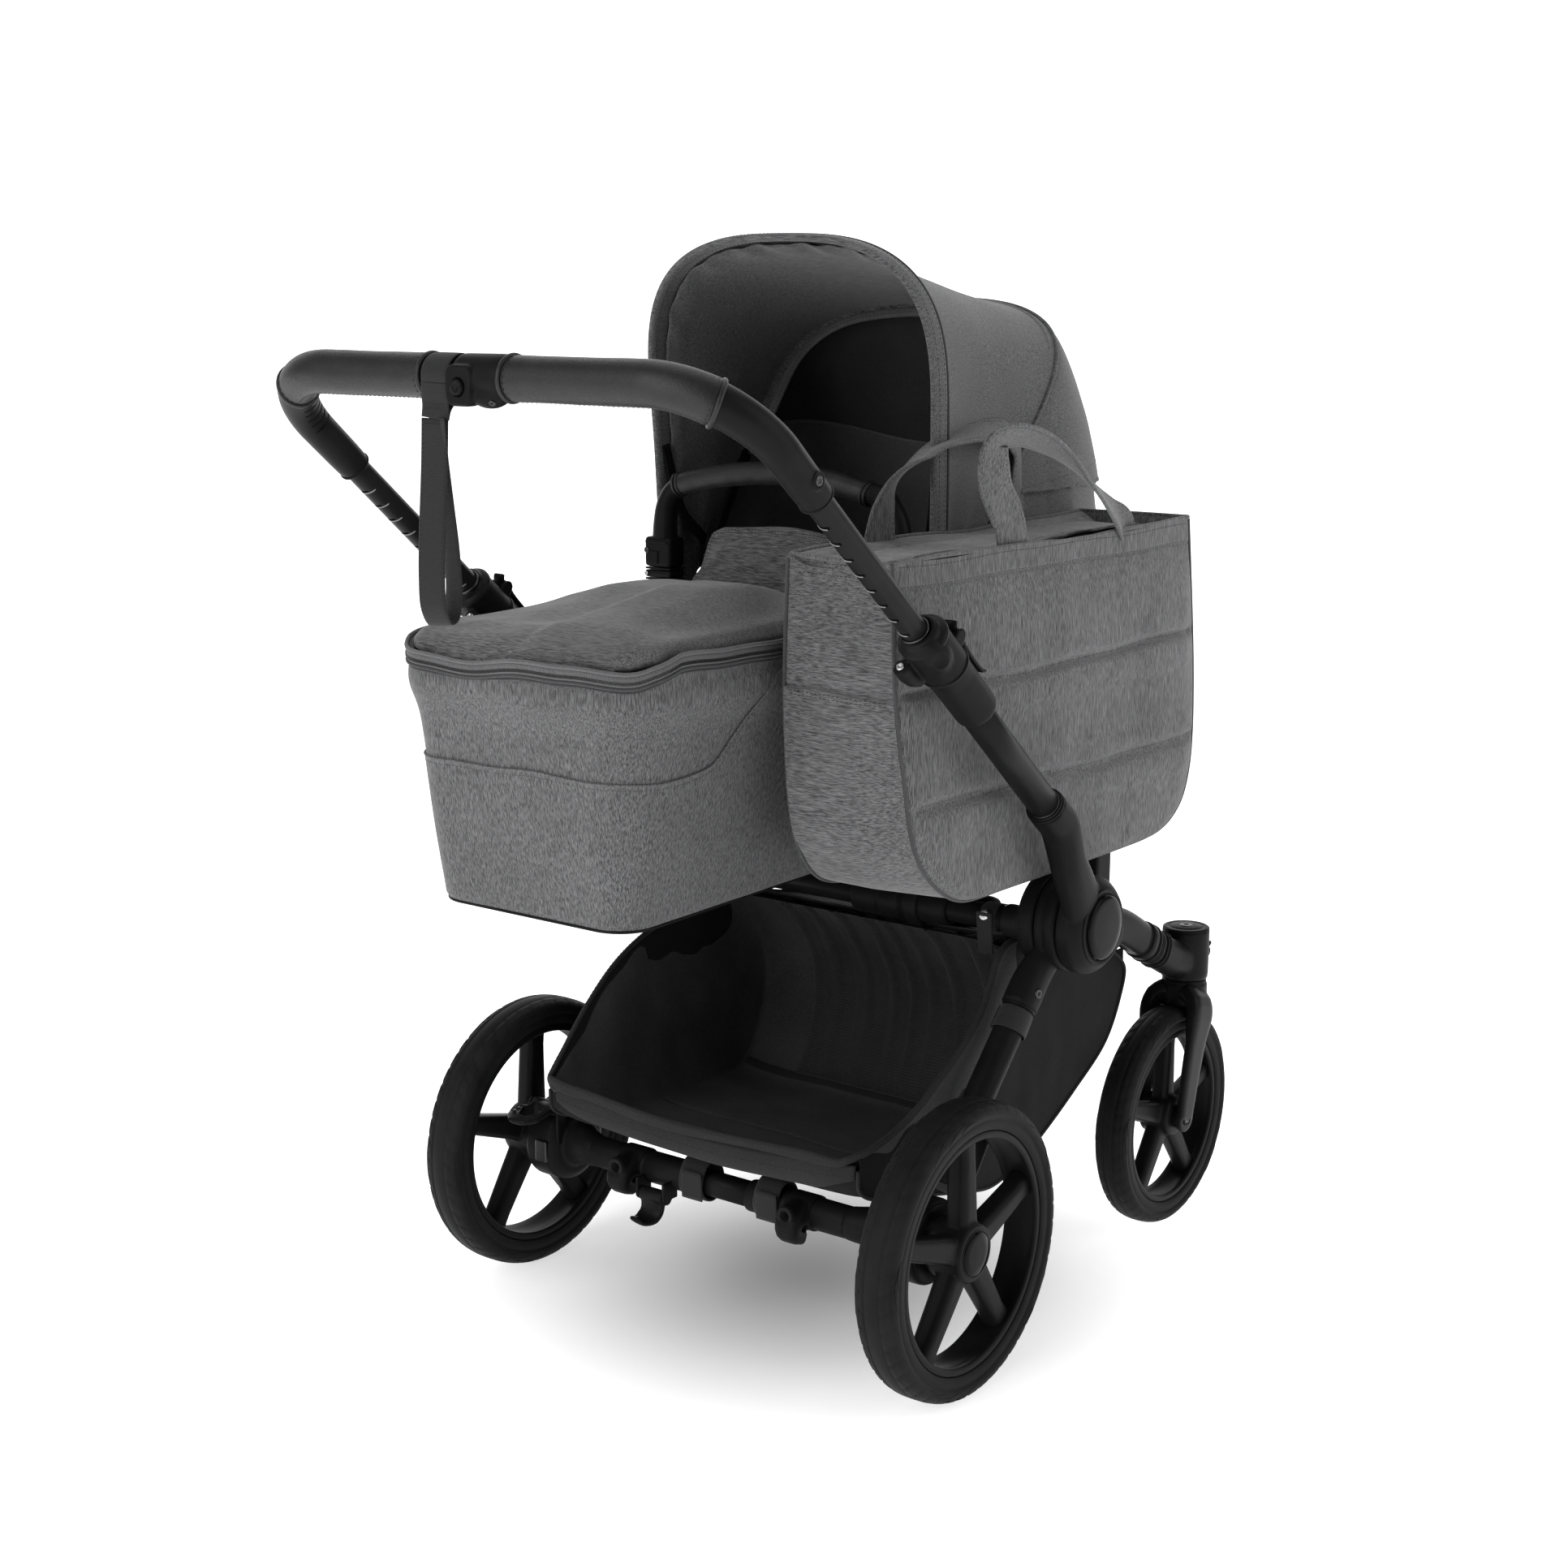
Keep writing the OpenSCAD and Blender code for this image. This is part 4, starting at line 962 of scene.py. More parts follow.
def hubs():
    y, z = HUB
    # handle arm: disc with a raised rim round the cap, running up into the tube socket
    disc = lathe("d", [(262.5, 9), (262.5, 49.4), (264.2, 51.4), (266.5, 52), (277, 51.9), (280.5, 50.4), (286.5, 45.8), (289.4, 42.4), (290.2, 40.2), (290.2, 9)], (0, y, z), "x", 96, caps=True)
    a0 = np.array([277.4, y - 8, z + 8])
    path = [a0, (278.0, y - 22, z + 26), (279.2, y - 38, z + 50), (279.8, y - 54, z + 74), on_tube(280, -12), on_tube(280, 8), on_tube(280, 24)]
    p = smooth_path(path, 26)
    u = np.linspace(0, 1, 26)
    w = np.interp(u, [0, 0.25, 0.55, 0.75, 1], [33, 26, 20.2, 19.4, 19.4])
    h = np.interp(u, [0, 0.25, 0.55, 0.75, 1], [13, 14.6, 17.2, 19.2, 19.4])
    arm = tube("a", p, np.stack([h, w], 1), up=(1, 0, 0), prof=rounded_prof(1, 1, 0.86, 7))
    body = set_mat(cast("arm", [disc, arm], 1.7, 6, 0.5), M["cast"])
    bits = [body]
    bits.append(ring("lip", (0, y, z), "x", 289.6, 291.6, 34.4, 40.6, M["cast"], 96))
    bits.append(ring("seat", (0, y, z), "x", 288.2, 290.4, 8, 35.4, M["screw_dark"], 96))
    # collar where the tube enters, with its split line
    for s0, s1, r in ((24.5, 27.0, 20.2), (27.6, 30.4, 19.2)):
        bits.append(set_mat(cyl("c", on_tube(280, s0), on_tube(280, s1), r, 64, bevel=0.9), M["cast_soft"]))
    bits.append(set_mat(cyl("c", on_tube(280, 29), on_tube(280, 31.6), 17.2, 64, bevel=0.6), M["screw_dark"]))
    bits.append(screw_head("hs", (279.6, *on_tube(280, 10, 19.2)[1:]), (0, math.sin(HA), -math.cos(HA)), 3.6, M["screw_dark"], 1.2))
    both(join("handle_arm", bits), "handle_arm_v", "handle_lower", "handle_lower", ["handle_arm_right"], ["handle_arm_left"])
    cap = lathe("cap", [(291.2, 0.01), (291.2, 33.4), (292.4, 34.0), (293.8, 33.5), (294.6, 31.8), (295.1, 24), (295.3, 0.01)], (0, y, z), "x", 96)
    set_mat(cap, M["gloss"])
    cl = flip_copy(cap, "cap_l")
    keep(join("hub_gloss_caps", [cap, cl]), "handle_lower", None, ["hub_caps"])

    # inner layer, fixed to the front legs
    inner = lathe("i", [(212.3, 9.9), (212.3, 41), (213.2, 44.6), (216, 48.6), (220, 51), (224, 52), (233, 51.9), (235, 50.6), (235.8, 48.4), (235.8, 9.9)], (0, y, z), "x", 96, caps=True)
    neck = tube("n", smooth_path([fl(0.0) + [0, 0, 0], fl(0.05), fl(0.12), fl(0.19)], 12), np.stack([np.linspace(24, 19.6, 12), np.linspace(11.6, 13.4, 12)], 1), up=(0, 0, 1), prof=rounded_prof(1, 1, 0.75, 6))
    socks = [cyl("s", (196, 215, 424.5), (216, 215, 424.5), 17.4, 48, bevel=1.5), cyl("s", (196, 300, 402), (219, 300, 402), 17.4, 48, bevel=1.5)]
    ib = set_mat(cast("inner", [inner, neck] + socks, 1.7, 5, 0.5), M["cast"])
    bits = [ib, set_mat(cyl("pin", (228, y, z), (287.5, y, z), 9.9, 48), M["screw_dark"]), ring("face", (0, y, z), "x", 211.4, 213.4, 6, 36, M["cast_soft"]),
            screw_head("ps", (211.6, y, z), (-1, 0, 0), 7.5, M["screw_dark"], 2.0)]
    both(join("hub", bits), "hub_v", "chassis", "chassis", ["hub_right"], ["hub_left"])

    # front legs: an upper casting, a collar and an oval tube
    pr = rounded_prof(1, 1, 0.86, 8)
    t0 = list(leg_line(296, 462, 14))
    up_ = tube("u", t0, np.stack([np.interp(np.linspace(0, 1, 14), [0, 0.2, 1], [20.6, 21.0, 19.8]), np.interp(np.linspace(0, 1, 14), [0, 0.2, 1], [14.5, 15.4, 17.0])], 1), up=(0, 0, 1), prof=pr)
    set_mat(up_, M["tube"])
    lo = set_mat(tube("l", list(leg_line(456, 530, 8)), np.array([[17.6, 14.6]] * 8), up=(0, 0, 1), prof=pr), M["tube"])
    bits = [up_, lo]
    for yc, w, k, m in ((464, 14, 21.6, "cast"), (474, 4.4, 22.4, "cast_soft"), (480.5, 2.6, 21.2, "cast"), (487, 7, 20.6, "cast")):
        q, q_ = leg_line(yc - 0.5, yc + 0.5, 2)
        d = (q_ - q) / np.linalg.norm(q_ - q)
        bb = min(1.4, w * 0.3)
        bits.append(set_mat(tube("col", [q - d * w / 2, q - d * (w / 2 - bb), q + d * (w / 2 - bb), q + d * w / 2], np.array([[k - bb, k - 2.6 - bb], [k, k - 2.6], [k, k - 2.6], [k - bb, k - 2.6 - bb]]), up=(0, 0, 1), prof=pr), M[m]))
    both(join("front_leg", bits), "front_leg_v", "chassis", "chassis", ["front_leg_right"], ["front_leg_left"])

    # rear legs: disc, lug and tube
    disc = lathe("d", [(236.5, 10.2), (236.5, 48.6), (238, 51), (240.5, 52), (246.6, 52), (247.2, 51.2), (248.4, 51.2), (249.0, 52), (257.5, 52), (260, 51), (261.5, 48.6), (261.5, 10.2)], (0, y, z), "x", 96, caps=True)
    set_mat(disc, M["cast"])
    def rin(t):
        return rl(t) - np.array([9.0 * min(1.0, t / 0.4) * (1.0 if t < 0.8 else max(0.0, (0.95 - t) / 0.15)), 0, 0])

    pth = [rin(0.94), rin(0.89), rin(0.84), rin(0.79), rin(0.74), rin(0.695)]
    w = [22, 20.6, 19.6, 19.0, 18.8, 18.4]
    hh = [12.2, 12.8, 15.0, 17.4, 18.4, 18.2]
    lug = tube("lug", smooth_path(pth, 18), np.stack([np.interp(np.linspace(0, 1, 18), np.linspace(0, 1, 6), hh), np.interp(np.linspace(0, 1, 18), np.linspace(0, 1, 6), w)], 1), up=(1, 0, 0), prof=rounded_prof(1, 1, 0.86, 8))
    set_mat(lug, M["cast"])
    leg = set_mat(tube("leg", [rin(t) for t in np.linspace(0.71, 0.2, 14)], 15.8, 56, up=(1, 0, 0)), M["tube"])
    dd = (rl(1) - rl(0)) / np.linalg.norm(rl(1) - rl(0))
    bits = [disc, lug, leg]
    for t, w_, r_ in ((0.6925, 3.0, 18.0), (0.6855, 1.6, 16.6)):
        bits.append(set_mat(cyl("c", rin(t) - dd * w_ / 2, rin(t) + dd * w_ / 2, r_, 56, bevel=0.7), M["cast_soft"]))
    # flat band wrapped round the tube, one end lapped over the other
    q0, q1 = rin(0.672), rin(0.618)
    e1 = np.array([1.0, 0, 0])
    e2 = np.cross(dd, e1)
    lap = []
    for a in np.linspace(math.radians(-210), math.radians(205), 72):
        rr = 16.7 + 1.6 * np.clip((math.degrees(a) + 210) / 360.0, 0, 1.15)
        lap.append(0.5 * (q0 + q1) + rr * (math.cos(a) * e1 + math.sin(a) * e2))
    bits.append(set_mat(tube("band", lap, (12.4, 0.9), 12, up=tuple(dd), prof=rounded_prof(1, 1, 0.5, 3)), M["webbing"]))
    q = rin(0.745)
    bits.append(screw_head("rs", q + np.array([17.6, -3.6, 3.0]), (0.98, -0.15, 0.13), 5.0, M["screw_dark"], 1.4))
    both(join("rear_leg", bits), "rear_leg_v", "rear_frame", "rear_frame", ["rear_leg_right"], ["rear_leg_left"])


def cross():
    bits = []
    for cy_, cz_ in ((215, 424.5), (300, 402)):
        bits.append(set_mat(cyl("ct", (-214, cy_, cz_), (214, cy_, cz_), 13.0, 48), M["tube"]))
    keep(join("cross_tubes_v", bits), "chassis", None, ["cross_tubes"])
    bits = []
    for cy_, cz_ in ((215, 424.5), (300, 402)):
        pr = [(5, 13.2), (5, 16.2), (6.2, 17.8), (8, 18.5), (38.5, 18.5), (39.3, 17.6), (40.3, 17.6), (41, 19.6), (44, 20), (66, 20), (69, 19.6), (69.7, 17.6), (70.7, 17.6), (71.4, 18.5), (121, 18.5), (126, 17.6), (128, 15.6), (128, 13.2)]
        bits.append(lathe("sl", pr, (0, cy_, cz_), "x", 72, caps=True))
    set_mat(bits[0], M["cast"])
    set_mat(bits[1], M["cast"])
    # the small strap with a press stud that carries the basket's corner
    st = box_mesh("st", (171, 196, 388), (189, 199, 434), 1.2, 2, Matrix.Rotation(math.radians(8), 3, "X"), (180, 197, 410))
    keep(join("cross_sleeves_v", bits), "chassis", None, ["cross_sleeves"])
    bits = [set_mat(st, M["webbing"])]
    bits.append(set_mat(tube("lp", [(180, 215 + 14.6 * math.cos(a), 424.5 + 14.6 * math.sin(a)) for a in np.linspace(0, 2 * math.pi, 33)[:-1]], (9.0, 1.1), closed=True, up=(1, 0, 0), prof=rounded_prof(1, 1, 0.5, 3)), M["webbing"]))
    bits.append(set_mat(cyl("stud", (180, 198, 430), (180, 193.4, 431), 6.0, 36, bevel=1.4), M["screw"]))
    keep(join("basket_stud_strap", bits), "chassis", None)

    # seat adapters: plates with a foot on the cross tubes
    for nm, x0, x1, foot in (("l", -261, -249, ((-261, 232, 466), (-212, 268, 492))), ("r", 79, 91, ((76, 206, 402), (94, 310, 492)))):
        parts = [box_mesh("p", (x0, 233, 470), (x1, 267, 659), 3.5, 3), box_mesh("f", foot[0], foot[1], 4, 3)]
        if nm == "r":
            parts.append(cyl("w", (76, 215, 424.5), (94, 215, 424.5), 22, 48, bevel=2))
            parts.append(cyl("w", (76, 300, 402), (94, 300, 402), 22, 48, bevel=2))
        o = cast("ad_" + nm, parts, 1.8, 3, 0.5)
        set_mat(o, M["cast"])
        if nm == "l":
            left = o
        else:
            right = o
    ob = join("cot_adapters_v", [left, right])
    keep(ob, "chassis", None, ["cot_adapters"])
    parts = [box_mesh("p", (204, 351, 380), (224, 383, 480), 4, 3), box_mesh("t", (190, 341, 477.6), (234, 386, 485), 2.5, 3), tube("f", [fl(0.26), fl(0.33), fl(0.42)], np.array([[23.5, 19], [24.5, 20], [23, 18.6]]), up=(0, 0, 1), prof=rounded_prof(1, 1, 0.8, 6))]
    post = set_mat(cast("bag_post_v", parts, 1.7, 4, 0.5), M["cast"])
    keep(post, "chassis", None, ["bag_post"])
    bits = []
    for s in (1, -1):
        bits.append(screw_head("s1", (s * 198, 215, 437.4), (0, 0, 1), 4.8, M["screw"], 2.4))
        bits.append(screw_head("s2", (s * 216, 578, 345.6), (0, 0, 1), 7.6, M["screw_dark"], 1.2))
    keep(join("frame_screws_v", bits), "chassis", None, ["frame_screws"])


def rear_axle():
    AY, AZ = -20.0, 155.0
    # drums with the swing from the leg to the cross tube
    drum = lathe("d", [(212.5, 0.01), (212.5, 30), (214, 35), (219, 41.5), (223, 43.6), (226, 44), (252, 44), (254.4, 42.6), (255, 40.4), (255, 0.01)], (0, 0, 150), "x", 96)
    sleeve = tube("s", smooth_path([rl(0.10), rl(0.2), rl(0.27), rl(0.33)], 12), np.stack([np.linspace(24, 19.2, 12), np.linspace(21, 19.4, 12)], 1), up=(1, 0, 0), prof=rounded_prof(1, 1, 0.9, 8))
    sweep = smooth_path([(240, 0, 152), (222, -3, 152.5), (203, -9, 153.5), (188, -15, 154.6), (176, -19, 155), (166, AY, AZ)], 20)
    sw = tube("w", sweep, np.stack([np.interp(np.linspace(0, 1, 20), [0, 0.4, 0.7, 1], [36, 27, 20, 16.6]), np.interp(np.linspace(0, 1, 20), [0, 0.4, 0.7, 1], [33, 24, 18.6, 16.6])], 1), up=(0, 0, 1), prof=rounded_prof(1, 1, 0.95, 9))
    body = set_mat(cast("drum", [drum, sleeve, sw], 1.9, 6, 0.5), M["cast"])
    bits = [body, ring("lip", (0, 0, 150), "x", 253.6, 256.4, 10, 39.4, M["cast_soft"], 96)]
    bits.append(set_mat(cyl("ax", (252, 0, 150), (298.6, 0, 150), 5.9, 32), M["screw_dark"]))
    dd = (rl(1) - rl(0)) / np.linalg.norm(rl(1) - rl(0))
    for t, w_, r_ in ((0.335, 4.2, 18.9), (0.348, 2.6, 17.4)):
        bits.append(set_mat(cyl("c", rl(t) - dd * w_ / 2, rl(t) + dd * w_ / 2, r_, 56, bevel=1.0), M["cast_soft"]))
    # bump stop window on the outside of the drum
    bits.append(set_mat(box_mesh("win", (222, -46.2, 136), (238, -40, 160), 1.4, 2), M["screw_dark"]))
    r_ob = join("axle_drum", bits)
    l_ob = flip_copy(r_ob, "dl")
    ears = []
    for x in (-256, -215.7):
        ears.append(set_mat(cast("ear", [cyl("e", (x, -30, 194), (x + 3.7, -30, 194), 7, 32, bevel=0.8), box_mesh("e2", (x, -37, 156), (x + 3.7, -23, 194), 0.8)], 0.9, 2), M["cast"]))
    ears.append(set_mat(cyl("ep", (-254, -30, 194), (-213, -30, 194), 3.9, 24), M["screw_dark"]))
    r_ob.name = "axle_drum_right_v"
    keep(r_ob, "rear_frame", None, ["axle_drum_right"])
    l_ob = join("axle_drum_left_v", [l_ob] + ears)
    keep(l_ob, "rear_frame", None, ["axle_drum_left"])

    # cross axle: thin middle tube flattened below, thick sleeves, socket brackets
    mid = tube("m", [(-60, AY, AZ), (60, AY, AZ)], (12.2, 12.6), up=(0, 0, 1), prof=rounded_prof(1, 1, 0.7, 6))
    bits = [set_mat(mid, M["tube"])]
    for s in (1, -1):
        bits.append(lathe("sl", [(s * 42, 12.4), (s * 42, 15), (s * 43.2, 16.4), (s * 45, 16.8), (s * 92, 16.8), (s * 93, 16.2), (s * 94, 16.8), (s * 166, 16.6), (s * 168, 16.2), (s * 168, 12.4)], (0, AY, AZ), "x", 64, caps=True))
        set_mat(bits[-1], M["cast"])
        parts = [
            cyl("w", (s * 96, AY, AZ), (s * 128, AY, AZ), 18.6, 48, bevel=1.5),
            tube("k", smooth_path([(s * 112, AY - 6, AZ + 6), (s * 112, -36, 158), (s * 112, -50, 150), (s * 112, -50, 140), (s * 112, -34, 132)], 16), np.stack([np.interp(np.linspace(0, 1, 16), [0, 0.5, 1], [15.5, 14.0, 10.5]), np.interp(np.linspace(0, 1, 16), [0, 0.5, 1], [10, 9, 8])], 1), up=(1, 0, 0), prof=rounded_prof(1, 1, 0.6, 5)),
            cyl("q", (s * 112, -30, 160), (s * 112, -56.4, 160), 10.4, 40, bevel=1.2),
        ]
        cut = cyl("cut", (s * 112, -44.4, 160), (s * 112, -60, 160), 5.3, 32)
        bk = cast("bk", parts, 1.2, 4, 0.5, cuts=[cut])
        bits.append(set_mat(bk, M["cast"]))
        bits.append(ring("rim", (s * 112, 0, 160), "y", -57.4, -55.6, 5.3, 9.6, M["cast_soft"], 40))
    for x in (-92, -56):
        bits.append(set_mat(cast("ear", [cyl("e", (x, -42, 134), (x + 3.7, -42, 134), 7, 32, bevel=0.8), box_mesh("e2", (x, -49, 132), (x + 3.7, -26, 152), 1.2)], 0.9, 2), M["cast"]))
    bits.append(set_mat(cyl("ep", (-90, -42, 134), (-54, -42, 134), 3.9, 24), M["screw_dark"]))
    keep(join("axle_bar_v", bits), "rear_frame", None, ["axle_bar"])
    # two bands of hook tape that hold the basket's rear edge to the tube
    for x0, nm in ((-40, "left"), (58, "right")):
        pts = [(0, AY + 18.6 * math.cos(a), AZ + 1 + (19.4 + (5.0 if math.sin(a) > 0 else 0) * math.sin(a)) * math.sin(a)) for a in np.linspace(0, 2 * math.pi, 49)[:-1]]
        pts = [(x0 + 15 + 0.0 * i, p[1], p[2]) for i, p in enumerate(pts)]
        bd = tube("band", pts, (15.5, 1.2), closed=True, up=(1, 0, 0), prof=rounded_prof(1, 1, 0.5, 3))
        fl_ = tube("flap", [(x0 + 17, AY - 20.2 + 0.3 * i, AZ + 16 - 4.4 * i) for i in range(8)], (13.5, 0.9), up=(1, 0, 0), prof=rounded_prof(1, 1, 0.5, 3))
        o = join("basket_tie_" + nm, [bd, fl_])
        keep(o, "rear_frame", M["webbing"])

    # brake pedal: a rounded lobe with an opening, on its barrel
    out = []
    for cx, w_, hole in ((-232, 21, True), (-220, 13, False)):
        pass
    lobe = tube("p", smooth_path([(-232, -28, 194), (-232, -44, 196), (-231, -62, 195), (-230, -78, 193), (-230, -84, 192)], 20), np.stack([np.interp(np.linspace(0, 1, 20), [0, 0.3, 0.8, 1], [15, 20, 21.5, 12]), np.interp(np.linspace(0, 1, 20), [0, 0.3, 0.85, 1], [6.5, 6.5, 5.6, 3.0])], 1), up=(1, 0, 0), prof=rounded_prof(1, 1, 0.95, 9))
    hole = tube("h", smooth_path([(-229, -46, 196), (-228, -62, 196), (-227, -76, 195)], 12), np.stack([np.interp(np.linspace(0, 1, 12), [0, 0.5, 1], [7, 13, 5]), [14] * 12], 1), up=(1, 0, 0), prof=rounded_prof(1, 1, 0.95, 9))
    pd = cast("pedal", [lobe, cyl("b", (-251.6, -30, 194), (-216.4, -30, 194), 7.8, 40, bevel=1)], 1.2, 4, 0.5, cuts=[hole])
    set_mat(pd, M["cast_soft"])
    bits = [pd]
    for i in range(4):
        bits.append(set_mat(box_mesh("g", (-250 + 1.5 * i, -52 - 8 * i, 200.2 - 0.4 * i), (-241 + 0.5 * i, -48.8 - 8 * i, 201.9 - 0.5 * i), 0.7, 2), M["cast"]))
    keep(join("brake_pedal_v", bits), "brake", None, ["brake_pedal"])

    # axle catch: a curved tongue under its pin
    pth = smooth_path([(-72, -42, 138), (-72, -43, 128), (-72, -45, 118), (-73, -52, 111.5), (-74, -63, 111), (-75, -69, 114.5)], 22)
    tg = cast("catch", [tube("t", pth, np.stack([np.interp(np.linspace(0, 1, 22), [0, 0.6, 1], [15, 14.5, 9]), np.interp(np.linspace(0, 1, 22), [0, 0.5, 1], [7, 3.8, 2.6])], 1), up=(1, 0, 0), prof=rounded_prof(1, 1, 0.7, 6)), cyl("b", (-87.6, -42, 134), (-56.8, -42, 134), 7.8, 36, bevel=1)], 1.1, 3)
    set_mat(tg, M["cast_soft"])
    tg.name = "axle_catch_v"
    keep(tg, "axle_lock", None, ["axle_lock_lever"])


hubs()
cross()
rear_axle()
# ------------------------------------------------------------------ handle
BAR_S = 682.0
BR = 90.0
BX = 190.0


def bend_pt(deg, x_sign=1.0, off=0.0):
    """A point on the bend from tube to push bar; off moves it outwards from the bend's middle."""
    a = math.radians(deg)
    r = BR + off
    q = on_tube(0, BAR_S - BR + r * math.sin(a))
    return np.array([x_sign * (BX + r * math.cos(a)), q[1], q[2]])


BARP = on_tube(0, BAR_S)
TDIR = np.array([0, math.cos(HA), math.sin(HA)])
ODIR = np.array([0, math.sin(HA), -math.cos(HA)])


def handle_tubes():
    o = set_mat(cyl("o", on_tube(280, 6), on_tube(280, 309), 16.0, 64), M["tube"])
    both(o, "outer_tube_v", "handle_lower", "handle_lower", ["outer_tube_right"], ["outer_tube_left"])

    # clamp: long lower collar, wider body, bevelled top ring, thumb lobe with a dimple, screw ear
    X = 284.0

    def lath(prof, x=X):
        """Turned round the tube line."""
        n, k = 80, len(prof)
        ang = np.linspace(0, 2 * np.pi, n, endpoint=False)
        v = []
        for s, r in prof:
            c = on_tube(x, s)
            v.append(c + r * (np.cos(ang)[:, None] * np.array([1.0, 0, 0]) + np.sin(ang)[:, None] * ODIR))
        return fix_normals(obj_from("l", np.vstack(v), grid_faces(k, n, True, True)))

    low = lath([(204, 16.2), (204, 19.4), (205.5, 20.8), (209, 21.4), (262, 21.8), (272, 22.6), (280, 23.4), (324, 23.5), (324, 16.2)])
    lobe = tube("lb", [on_tube(X + 10.7, s, -9.0) for s in np.linspace(293, 335, 14)], np.stack([16.0 * np.sin(np.linspace(0.25, math.pi - 0.25, 14)) ** 0.55, 15.0 * np.sin(np.linspace(0.25, math.pi - 0.25, 14)) ** 0.55], 1), up=(1, 0, 0), prof=rounded_prof(1, 1, 1, 9))
    ear = tube("ear", [on_tube(272.5, 286, -22), on_tube(270.2, 296, -27), on_tube(269.6, 306, -29), on_tube(269.6, 319, -29)], [6.0, 8.0, 8.4, 8.4], 32, up=(1, 0, 0))
    dc = on_tube(X + 30.4, 317, -25.4)
    bm_s = lathe("dm", [(-15.5 * math.cos(a), max(0.01, 15.5 * math.sin(a))) for a in np.linspace(0, math.pi, 20)], tuple(dc), "x", 40)
    body = cast("clamp_b", [low, lobe, ear], 1.5, 4, 0.5, cuts=[bm_s])
    set_mat(body, M["cast"])
    bits = [body]
    bits.append(set_mat(lath([(322.5, 13.2), (322.5, 24.0), (323.4, 24.9), (326.2, 24.9), (328.4, 23.4), (330.0, 21.2), (330.6, 19.8), (332.6, 19.6), (335.2, 18.4), (336.4, 16.4), (336.6, 13.2)]), M["cast_soft"]))
    bits.append(set_mat(lath([(277.2, 20), (277.2, 23.9), (278, 24.5), (279.6, 24.5), (280.4, 23.9), (280.4, 20)]), M["cast_soft"]))
    bits.append(set_mat(lath([(334, 12.7), (334, 15.4), (337.4, 14.6), (337.8, 13.6), (337.4, 12.7)], 280), M["screw_dark"]))
    bits.append(screw_head("cs", on_tube(269.6, 319.4, -29.5), tuple(TDIR), 4.0, M["screw"], 1.5))
    for x in (-11.5, 8.3):
        c = on_tube(X + x + 1.6, 288, 29)
        bits.append(set_mat(cast("ce", [cyl("e", c - [1.6, 0, 0], c + np.array([1.6, 0, 0]), 6.4, 32, bevel=0.7), tube("e2", [on_tube(X + x + 1.6, 288, 20), on_tube(X + x + 1.6, 288, 30)], (1.6, 7.5), up=(1, 0, 0), prof=rounded_prof(1, 1, 0.4, 3))], 0.9, 2), M["cast"]))
    c = on_tube(X, 288, 29)
    both(join("clamp", bits), "clamp_v", "handle_lower", "handle_lower", ["clamp_right"], ["clamp_left"])
    # lever tab: hinge barrel, long plate with a curled nose
    pth = [on_tube(X, s, o_) for s, o_ in ((291, 31.5), (285, 31.0), (272, 28.6), (255, 27.4), (238, 27.6), (228, 29.0), (224.5, 31.6))]
    tb = cast("tab", [tube("t", smooth_path(pth, 26), np.stack([np.interp(np.linspace(0, 1, 26), [0, 0.15, 1], [7.6, 7.8, 7.2]), np.interp(np.linspace(0, 1, 26), [0, 0.2, 0.8, 1], [4.4, 3.0, 2.3, 1.8])], 1), up=(1, 0, 0), prof=rounded_prof(1, 1, 0.6, 5)), cyl("b", c - [7.8, 0, 0], c + np.array([7.8, 0, 0]), 5.0, 32, bevel=0.8),
                      tube("nose", smooth_path([on_tube(X, 290, 30), on_tube(X, 296, 34), on_tube(X, 298, 38)], 8), (7.0, 3.0), up=(1, 0, 0), prof=rounded_prof(1, 1, 0.8, 5))], 1.0, 3)
    set_mat(tb, M["cast_soft"])
    both(tb, "clamp_tab_v", "clamp_tab_right", "clamp_tab_left", ["clamp_lever_right"], ["clamp_lever_left"])

    # telescoping tube with its row of notches
    it = cyl("it", on_tube(280, 158), on_tube(280, 536), 12.5, 72)
    cuts = []
    for i in range(8):
        c = on_tube(280, 347 + i * 23, -12.4)
        b = box_mesh("n", c - np.array([5.4, 2.1, 2.0]), c + np.array([5.4, 2.1, 2.0]), 0.5, 2, Matrix.Rotation(HA - math.pi / 2, 3, "X"), c)
        cuts.append(b)
    cutter = join("cutter", cuts)
    bm_ = it.modifiers.new("b", "BOOLEAN")
    bm_.operation = "DIFFERENCE"
    bm_.solver = "EXACT"
    bm_.object = cutter
    apply_mods(it)
    bpy.data.objects.remove(cutter)
    it.data.polygons.foreach_set("use_smooth", [True] * len(it.data.polygons))
    it.modifiers.new("w", "EDGE_SPLIT").split_angle = math.radians(35)
    apply_mods(it)
    set_mat(it, M["tube_upper"])
    # light grey arcs beside each notch
    notch_arcs = []
    for i in range(8):
        arc = []
        for a in np.linspace(math.radians(-12), math.radians(58), 12):
            c = on_tube(280 - 12.5 * math.sin(a), 345 + i * 23, -12.5 * math.cos(a))
            arc.append(c)
        notch_arcs.append(tube("mk", arc, (0.75, 0.5), 10, up=tuple(TDIR)))
    mk = set_mat(join("notch_arcs", notch_arcs), M["mark"])
    it = join("it", [it, mk])
    both(it, "inner_tube_v", "handle_upper", "handle_upper", ["inner_tube_right"], ["inner_tube_left"])


